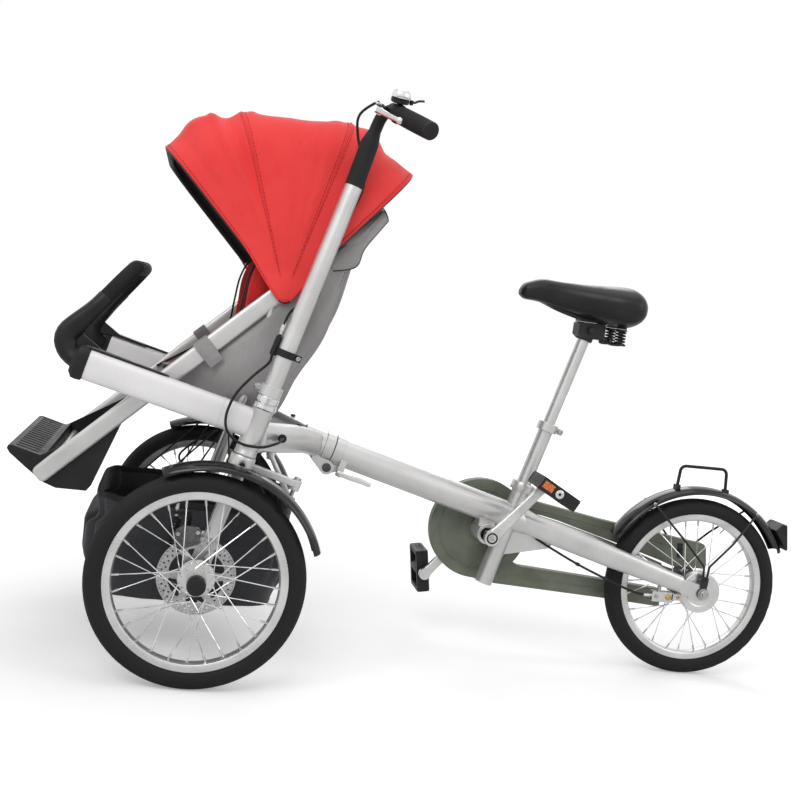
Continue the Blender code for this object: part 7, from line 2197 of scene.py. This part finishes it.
def cushion_shape(half_t=0.0105, half_w=0.155, spans=40, sides=40):
    """The lining's pad, slimmer than its place so that it can swell."""
    rings = []
    for i in range(spans + 1):
        t = 0.012 + 0.976 * i / spans
        low, _ = shell_at(t)
        n = normal_at(t)[0]
        end = (2 * i / spans - 1) ** 6
        centre = low + n * (0.0040 + half_t)
        rings.append(oval(centre, n, Y, half_t * (1 - 0.55 * end), half_w - 0.014 * end, sides, 4.0))
    return rings


def wing_outline():
    """The rounded red wing that the lining turns up beside the child's head and shoulder."""
    pts = [(-0.020, 0.5900), (0.020, 0.6250), (0.028, 0.6700), (0.034, 0.7250), (0.054, 0.7680),
           (0.090, 0.7860),
           (0.126, 0.7750), (0.150, 0.7500), (0.160, 0.7100), (0.150, 0.6600), (0.130, 0.6100), (0.100,
                                                                                                 0.5500),
           (0.060, 0.5250), (0.010, 0.5400)]
    return pts


def add_seat():
    grid = tub_shape()
    tub = make("seat_tub_fabric", Shape().sheet(grid), [GREY], angle=0)
    thickened(tub, 0.0022, 1.0)
    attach(tub, "root")
    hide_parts("seat_shell")
    piping = Shape()
    for side in (0, -1):
        piping.tube([row[side] for row in grid], 0.0024, sides=10, up=Y)
    piece("tub_piping", "root", piping, PIPING, "grey", angle=0)
    stitches = Shape()
    for side in (0, -1):
        for k in (2, 20):
            index = k if side == 0 else -1 - k
            out = -1 if side == 0 else 1
            stitches.add(seam_line([row[index] + Y * out * 0.0028 for row in grid], 0.0006))
    piece("tub_stitching", "root", stitches, PIPING, "grey", angle=0)
    back = [(0.078, 0.474), (0.108, 0.497), (0.1405, 0.580), (0.1880, 0.680), (0.2130, 0.790),
            (0.2480, 0.866)]
    left = [Vector((x, -0.2000, z)) for x, z in back]
    hem = Shape()
    run = smooth(left + [Vector((0.2590, -0.1800, 0.8790)), Vector((0.2600, -0.090, 0.8800)),
                         Vector((0.2600, 0.090, 0.8800)),
                         Vector((0.2590, 0.1800, 0.8790))] + [Vector((p.x, -p.y, p.z))
                                                              for p in left[::-1]], 8)
    hem.tube(run, 0.0078, 0.0074, 20, X)
    piece("seat_back_hem", "root", hem, GREY_BINDING, "grey", angle=0)
    for side in (-1, 1):
        name = "left" if side < 0 else "right"
        top = smooth([Vector((x, 0, z)) for x, z in ((0.1750, 0.7850), (0.2050, 0.8150), (0.2350, 0.8480),
                                                     (0.2600, 0.8790))], 8)
        low = smooth([Vector((x, 0, z)) for x, z in ((0.1740, 0.7560), (0.2200, 0.7700), (0.2330, 0.8060),
                                                     (0.2690, 0.8610))], 8)
        rows = []
        for i in range(13):
            v = i / 12
            row = []
            for a, b in zip(top, low):
                q = a.lerp(b, v)
                wave = noise.noise(Vector((q.x * 25, v * 1.5, q.z * 25 + side))) * 0.0026
                row.append(Vector((q.x, side * (0.2125 + 0.0050 * math.sin(math.pi * v * 0.8) + wave), q.z)))
            rows.append(row)
        flap = make("seat_back_flap_" + name, Shape().sheet(rows), [GREY], angle=0)
        thickened(flap, 0.0018, 0.0)
        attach(flap, "root")
        edge = rows[-1] + [row[-1] for row in rows[-2:0:-1]]
        piece("flap_piping_" + name, "root", Shape().tube(edge, 0.0014, sides=8, up=Y), PIPING, "grey",
              angle=0)
    pad = make("seat_lining_pad", Shape().loft(cushion_shape()), [RED_LINING], angle=0)
    remeshed(pad, 0.005)
    simulated(pad, 4.0, 0.006)
    stations = [(k / 80, shell_at(k / 80)[0], normal_at(k / 80)[0]) for k in range(81)]
    for vert in pad.data.vertices:
        home = vert.co + Vector((ORIGIN_X, 0, 0))
        t_best, low, n = min(stations, key=lambda row: (row[1].x - home.x) ** 2 + (row[1].z - home.z) ** 2)
        above = (home - low).dot(n)
        if above > 0.014:
            run = t_best * 0.62
            groove = math.exp(-((abs(home.y) - 0.062) / 0.0045) ** 2)
            for line in (0.16, 0.30, 0.44, 0.56):
                groove = max(groove, math.exp(-((run - line) / 0.0048) ** 2))
            vert.co -= n * 0.0050 * groove
    grown(pad)
    pad.data.shade_smooth()
    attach(pad, "root")
    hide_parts("seat_liner")
    for side in (-1, 1):
        name = "left" if side < 0 else "right"
        outline = smooth(list(Vector((x, 0, z)) for x, z in wing_outline()) + [Vector((-0.020, 0, 0.5900))],
                         5)
        centre = Vector((0.075, 0, 0.665))
        rings = []
        for y, shrink in ((0.1780, 0.90), (0.1815, 0.975), (0.1880, 1.0), (0.1945, 0.975), (0.1985, 0.90)):
            rings.append([Vector((centre.x + (p.x - centre.x) * shrink, side * y,
                                  centre.z + (p.z - centre.z) * shrink))
                          for p in outline[:-1]])
        wing = make("lining_wing_" + name, Shape().loft(rings), [RED_LINING], angle=0)
        remeshed(wing, 0.0045)
        simulated(wing, 3.0, 0.004)
        grown(wing)
        wing.data.shade_smooth()
        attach(wing, "root")
        edge = [Vector((p.x, side * 0.1880, p.z)) for p in outline]
        out = [(p - Vector((centre.x, p.y, centre.z))).normalized() for p in edge]
        loop = [p + o * 0.0032 for p, o in zip(edge, out)]
        piece("wing_piping_" + name, "root", Shape().tube(loop[:-1], 0.0020, sides=10, up=Y, closed=True),
              PIPING, "red",
              angle=0)


def strap_shape(points, width, thick=0.0018, up=Y):
    """Flat webbing along a path."""
    line = even(smooth(points, 8), 0.006)
    return Shape().tube(line, width / 2, thick / 2, 14, up, power=3.5)


def add_straps():
    for side in (-1, 1):
        name = "left" if side < 0 else "right"
        at = SIDE_LOW + SIDE_DIR * 0.372 + Y * side * SIDE_Y
        normal = Vector((-SIDE_DIR.z, 0, SIDE_DIR.x))
        loop = []
        count = 36
        for i in range(count):
            a = math.tau * i / count
            c, s_ = math.cos(a), math.sin(a)
            c = math.copysign(abs(c) ** 0.45, c)
            s_ = math.copysign(abs(s_) ** 0.55, s_)
            loop.append(at + normal * c * 0.0185 + Y * s_ * 0.0104)
        s = Shape().tube(loop, 0.0150, 0.0011, 12, SIDE_DIR, closed=True, power=4)
        tail = [at + normal * 0.0190, at + normal * 0.0060 + Y * side * 0.0120,
                at - normal * 0.0180 + Y * side * 0.0125,
                at - normal * 0.0320 + Y * side * 0.0090]
        s.add(Shape().tube(smooth(tail, 6), 0.0145, 0.0012, 12, SIDE_DIR, power=4))
        piece("velcro_strap_" + name, "root", s, GREY_BINDING, "grey", angle=40)
    belts = Shape()
    for side in (-1, 1):
        path = [Vector((0.045, side * 0.182, 0.512)), Vector((0.010, side * 0.150, 0.528)),
                Vector((-0.040, side * 0.085, 0.530)), Vector((-0.075, side * 0.030, 0.526)),
                Vector((-0.085, side * 0.012, 0.525))]
        belts.add(strap_shape(path, 0.024, 0.0020, Z.cross(X)))
    path = [Vector((-0.088, 0, 0.526)), Vector((-0.100, 0, 0.520)), Vector((-0.108, 0, 0.508))]
    belts.add(strap_shape(path, 0.026, 0.0022))
    for side in (-1, 1):
        path = [Vector((0.215, side * 0.060, 0.790)), Vector((0.188, side * 0.070, 0.700)),
                Vector((0.150, side * 0.085, 0.600)), Vector((0.085, side * 0.110, 0.530)),
                Vector((0.020, side * 0.120, 0.522))]
        belts.add(strap_shape([p + Vector((-0.030, 0, 0.012)) for p in path], 0.025, 0.0020))
    piece("harness_webbing", "root", belts, WEBBING, "black", angle=40)
    buckle = Shape()
    buckle.tube([Vector((-0.085, 0, 0.5285)), Vector((-0.085, 0, 0.5300)), Vector((-0.085, 0, 0.5375)),
                 Vector((-0.085, 0, 0.5395))], [0.026, 0.028, 0.027, 0.022], [0.020, 0.022, 0.021,
                                                                              0.016], 32, Y,
                power=3)
    buckle.turned([(0.0, 0.0), (0.0090, 0.0), (0.0100, 0.0010), (0.0080, 0.0024), (0.0, 0.0026)],
                  Vector((-0.085, 0, 0.5390)), Z, 32, 1)
    piece("harness_buckle", "root", buckle, [BLACK, RED_PLASTIC], "black", angle=40)


BAG_HALF = 0.184


def bag_ring(depth, count=96):
    """One level of the sack: a rounded rectangle, loose and lumpy, from the rim (0) to the floor (1)."""
    z = 0.292 - 0.178 * depth
    tier = ease(depth, 0.20, 0.30)
    x0, x1 = -0.196 - 0.020 * tier + 0.034 * ease(depth, 0.55,
                                                  1.0), 0.172 + 0.006 * tier - 0.026 * ease(depth, 0.6, 1.0)
    half = BAG_HALF - 0.010 + 0.010 * tier - 0.013 * ease(depth, 0.6, 1.0)
    points = oval(Vector(((x0 + x1) / 2, 0, 0)), X, Y, (x1 - x0) / 2, half, count, 6.5)
    ring = []
    for k, p in enumerate(points):
        around = math.tau * k / count
        loose = math.sin(math.pi * min(1.0, depth * 1.08)) ** 0.7
        fold = 0.0075 * noise.noise(Vector((math.cos(around) * 3.2, math.sin(around) * 3.2, depth * 1.6)))
        fold += 0.0042 * math.sin(15 * around + 3.5 * math.sin(2.2 * depth + around)) * loose
        out = Vector((p.x - (x0 + x1) / 2, p.y, 0)).normalized()
        slump = 0.0075 * noise.noise(Vector((math.cos(around) * 2, math.sin(around) * 2, 9))) * (1 - depth)
        inside = min(0.0, fold) * 1.6 + fold * 0.35 - 0.004
        ring.append(Vector((p.x, p.y, z + slump)) + out * inside * (0.35 + 0.65 * loose))
    return ring


def add_bag():
    rows = [bag_ring(i / 26) for i in range(27)]
    floor = rows[-1]
    centre = sum(floor, Vector()) / len(floor)
    for k, drop in ((0.93, 0.0045), (0.80, 0.0075), (0.55, 0.0095), (0.28, 0.0105)):
        rows.append([centre.lerp(p, k) - Z * (drop + 0.002 * noise.noise(p * 30)) for p in floor])
    closed = [row + [row[0].copy()] for row in rows]
    s = Shape().sheet(closed)
    obj = make("storage_sack", s, [DARK_CLOTH], angle=0)
    bm = bmesh.new()
    bm.from_mesh(obj.data)
    bmesh.ops.remove_doubles(bm, verts=bm.verts, dist=0.00001)
    loops = [e for e in bm.edges if e.is_boundary and sum(v.co.z for v in e.verts) / 2 < 0.15]
    bmesh.ops.contextual_create(bm, geom=loops)
    bmesh.ops.recalc_face_normals(bm, faces=bm.faces)
    bm.to_mesh(obj.data)
    bm.free()
    thickened(obj, 0.0020, 0.0)
    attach(obj, "root")
    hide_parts("storage_bag")
    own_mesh(obj)
    rim = Shape()
    rim.tube([p + Z * 0.001 for p in rows[0]], 0.0062, 0.0022, 12, Z, closed=True)
    rim.tube([p + Z * 0.0005 for p in bag_ring(0.10)], 0.0008, sides=6, up=Z, closed=True)
    for side in (-1, 1):
        for k, foot in enumerate((-0.125, -0.060, 0.060, 0.130)):
            y = side * (0.1560 + 0.0035 * k)
            at = Vector((CROSS_C.x, y, CROSS_C.z))
            low = Vector((foot, side * 0.1700, 0.291))
            away = (low - at).normalized()
            rim.tube([low, at + away * 0.0100], 0.0017, sides=10, up=Y)
            rim.ball(low + Z * 0.002, 0.0040, steps=12)
            ring = [at + X * math.cos(a) * 0.0106 + Z * math.sin(a) * 0.0106 for a in
                    (math.tau * i / 28 for i in range(28))]
            rim.tube(ring, 0.0016, sides=8, up=Y, closed=True)
    piece("sack_binding", "root", rim, BLACK_BINDING, "dark_grey", angle=40)


def add_footrest():
    """Moulded foot tray: a toe block with a ribbed top, a sunk floor and low side walls."""
    half = SIDE_Y - SIDE_T / 2 - 0.0003
    outline = [(-0.3497, 0.3788), (-0.3515, 0.3735), (-0.3460, 0.3655), (-0.3170, 0.3430), (-0.2840, 0.3190),
               (-0.2620, 0.3110), (-0.2090, 0.3110), (-0.2010, 0.3220), (-0.1640, 0.4280), (-0.1760, 0.4400),
               (-0.2890, 0.3690), (-0.2940, 0.3670), (-0.3430, 0.3800)]
    tray = make("foot_tray", Shape().prism(outline, -half, half), [BLACK], angle=30)
    well = [(-0.2830, 0.3590), (-0.2640, 0.3225), (-0.2220, 0.3200), (-0.2165, 0.3240), (-0.1800, 0.4290),
            (-0.1760, 0.4800), (-0.2830, 0.4800)]
    drilled(tray, Shape().prism(well, -half + 0.005, half - 0.005))
    toe = SIDE_LOW + SIDE_DIR * 0.030
    drilled(tray, Shape().rod(toe - Y * 0.23, toe + Y * 0.23, 0.0076, 24))
    mod = tray.modifiers.new("edges", "BEVEL")
    mod.width = 0.0024
    mod.segments = 3
    mod.limit_method = "ANGLE"
    mod.angle_limit = math.radians(30)
    applied(tray)
    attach(tray, "root")
    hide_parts("footrest")
    ribs = Shape()
    for k in range(17):
        y = -0.192 + 0.024 * k
        ribs.tube([Vector((-0.3385, y, 0.3790)), Vector((-0.2990, y, 0.3685))], 0.0014, sides=8, up=Y)
        ribs.tube([Vector((-0.2580, y, 0.3220)), Vector((-0.2260, y, 0.3203))], 0.0016, sides=8, up=Y)
    piece("foot_tray_ribs", "root", ribs, BLACK, "black")


def add_bumper():
    """Foam-covered bar with moulded ends, inner flanges and the channel strip on each rail."""
    foot = RAIL_FRONT + RAIL_DIR * 0.016 + Y * 0.010
    left = [foot, Vector((-0.262, -0.250, 0.556)), Vector((-0.271, -0.250, 0.584)),
            Vector((-0.220, -0.250, 0.645)),
            Vector((-0.166, -0.235, 0.716))]
    path = bent(left + [Vector((p.x, -p.y, p.z)) for p in left[::-1]], 0.055, 10)
    line = even(path, 0.007)
    low = [p for p in line if p.y < 0 and p.z < 0.660]
    foam = [p for p in line if p.z > 0.650]
    s = Shape().tube(foam, [0.0122] + [0.0134] * (len(foam) - 2) + [0.0122], sides=40, up=X)
    piece("bumper_foam", "root", s, FOAM, "rubber", ["bumper_bar"], angle=45)
    ends = Shape()
    for side in (-1, 1):
        h = Shape()
        n = len(low)
        wide = [0.0168 + 0.0036 * ease(i / n, 0.05, 0.30) * (1 - ease(i / n, 0.40, 0.80))
                - 0.0028 * ease(i / n, 0.4, 0.9)
                for i in range(n)]
        h.tube(low, wide, [0.0165 - 0.0025 * min(1, i / (n * 0.6)) for i in range(n)], 40, X, power=2.3)
        end = Vector((RAIL_FRONT.x, -STEER_Y, RAIL_FRONT.z))
        rings = []
        for t, g in ((0.0004, 0.0006), (0.0012, 0.0026), (0.0080, 0.0036), (0.0180, 0.0030), (0.0250, 0.0)):
            rings.append(oval(end + RAIL_DIR * t, RAIL_UP, Y, RAIL_H / 2 + g - (0.006 if t > 0.02 else 0),
                              RAIL_W / 2 + g * 0.7 - (0.004 if t > 0.02 else 0), 48, 3.4))
        h.loft(rings)
        top = end + RAIL_UP * (RAIL_H / 2 * 0.985 + 0.0022)
        mid = top + Y * 0.002
        strip = []
        for t, wide, tall in ((0.012, 0.0070, 0.0034), (0.0, 0.0095, 0.0030), (-0.030, 0.0100, 0.0022),
                              (-0.128, 0.0092, 0.0020), (-0.138, 0.0060, 0.0012)):
            strip.append(oval(mid + RAIL_DIR * t, RAIL_UP, Y, tall, wide, 20, 4))
        h.loft(strip)
        web = [(-0.250, 0.566), (-0.266, 0.585), (-0.259, 0.606), (-0.238, 0.590), (-0.205, 0.5675),
               (-0.150, 0.5535),
               (-0.150, 0.5490), (-0.222, 0.5655)]
        h.prism(web, -0.2540, -0.2470)
        ends.add(h.sided(side))
    piece("bumper_ends", "root", ends, BLACK, "black", bevel=0.0006, angle=40)


def add_soft_goods():
    add_footrest()
    add_bumper()
    add_hood()
    add_seat()
    add_straps()
    add_bag()


def add_camera():
    """The photograph's view: pinhole fitted to the wheels, slightly rolled."""
    yaw, pitch, roll = 0.1864, 0.0838, 0.1333
    d = Vector((math.sin(yaw) * math.cos(pitch), math.cos(yaw) * math.cos(pitch), -math.sin(pitch)))
    r = Vector((math.cos(yaw), -math.sin(yaw), 0))
    u = r.cross(d)
    r2 = r * math.cos(roll) + u * math.sin(roll)
    u2 = -r * math.sin(roll) + u * math.cos(roll)
    data = bpy.data.cameras.new("photo_camera")
    data.lens = 52.56
    data.sensor_width = 36
    data.sensor_fit = "HORIZONTAL"
    camera = bpy.data.objects.new("photo_camera", data)
    matrix = Matrix((r2, u2, -d)).transposed().to_4x4()
    matrix.translation = Vector((-0.5234, -2.3345, 0.7198))
    camera.matrix_world = matrix
    bpy.context.scene.collection.objects.link(camera)
    bpy.context.scene.camera = camera


def white_for_camera(tree, surface, output):
    """Shows plain white to the camera, reflections and glass, and the given shader to all else."""
    path = tree.nodes.new("ShaderNodeLightPath")
    seen = maths(tree, "MAXIMUM", path.outputs["Is Camera Ray"], path.outputs["Is Glossy Ray"])
    seen = maths(tree, "MAXIMUM", seen, path.outputs["Is Transmission Ray"])
    white = tree.nodes.new("ShaderNodeEmission" if output.type == "OUTPUT_MATERIAL"
                           else "ShaderNodeBackground")
    white.inputs["Strength"].default_value = 1.0
    white.inputs["Color"].default_value = (1, 1, 1, 1)
    mix = tree.nodes.new("ShaderNodeMixShader")
    link(tree, seen, mix.inputs["Fac"])
    link(tree, surface, mix.inputs[1])
    link(tree, white.outputs[0], mix.inputs[2])
    link(tree, mix.outputs[0], output.inputs["Surface"])


def add_stage():
    scene = bpy.context.scene
    scene.view_settings.view_transform = "Standard"
    floor_shape = Shape()
    floor_shape.ring([Vector((x + ORIGIN_X, y, 0)) for x, y in ((-9, -9), (9, -9), (9, 9), (-9, 9))])
    floor_shape.face((0, 1, 2, 3))
    material, tree, shader = new_material("pale_floor")
    tone = noise_node(tree, coords(tree), 1.2, 2)
    link(tree, ramp(tree, tone, [(0.3, (0.90, 0.90, 0.90)), (0.7, (0.93, 0.93, 0.93))]),
         shader.inputs["Base Color"])
    shader.inputs["Roughness"].default_value = 0.9
    shader.inputs["Specular IOR Level"].default_value = 0.1
    path = tree.nodes.new("ShaderNodeLightPath")
    lift = tree.nodes.new("ShaderNodeEmission")
    lift.inputs["Color"].default_value = (1, 1, 1, 1)
    place = coords(tree)
    split = tree.nodes.new("ShaderNodeVectorMath")
    split.operation = "LENGTH"
    link(tree, place, split.inputs[0])
    link(tree, span(tree, split.outputs["Value"], 0.30, 0.80, 1.3, 3.6), lift.inputs["Strength"])
    both = tree.nodes.new("ShaderNodeAddShader")
    mix = tree.nodes.new("ShaderNodeMixShader")
    surface = next(n for n in tree.nodes if n.type == "OUTPUT_MATERIAL").inputs["Surface"]
    link(tree, shader.outputs[0], both.inputs[0])
    link(tree, lift.outputs[0], both.inputs[1])
    link(tree, path.outputs["Is Camera Ray"], mix.inputs["Fac"])
    link(tree, shader.outputs[0], mix.inputs[1])
    link(tree, both.outputs[0], mix.inputs[2])
    link(tree, mix.outputs[0], surface)
    floor = make("floor", floor_shape, [material], outward=False)
    world = bpy.data.worlds.new("studio")
    scene.world = world
    world.use_nodes = True
    tree = world.node_tree
    background = tree.nodes["Background"]
    background.inputs["Color"].default_value = (1, 1, 1, 1)
    background.inputs["Strength"].default_value = 0.45
    white_for_camera(tree, background.outputs[0], tree.nodes["World Output"])

    def lamp(name, at, target, size, power):
        data = bpy.data.lights.new(name, "AREA")
        data.shape = "RECTANGLE"
        data.size, data.size_y = size
        data.energy = power
        obj = bpy.data.objects.new(name, data)
        obj.location = at
        obj.rotation_euler = (Vector(target) - Vector(at)).to_track_quat("-Z", "Y").to_euler()
        scene.collection.objects.link(obj)

    lamp("key", (-1.6, -2.6, 2.9), (0, 0, 0.45), (2.2, 1.6), 46)
    lamp("fill", (2.6, -2.0, 1.8), (0, 0, 0.45), (1.8, 1.8), 18)
    lamp("back", (0.4, 2.8, 2.4), (0, 0, 0.6), (2.4, 1.4), 26)
    lamp("top", (0.0, 0.0, 3.2), (0, 0, 0), (2.6, 2.0), 16)


add_camera()
add_stage()
add_front_wheels()
add_forks()
add_bars()
add_front_frame()
add_seat_frame()
add_bows()
add_rear_parts()
add_soft_goods()
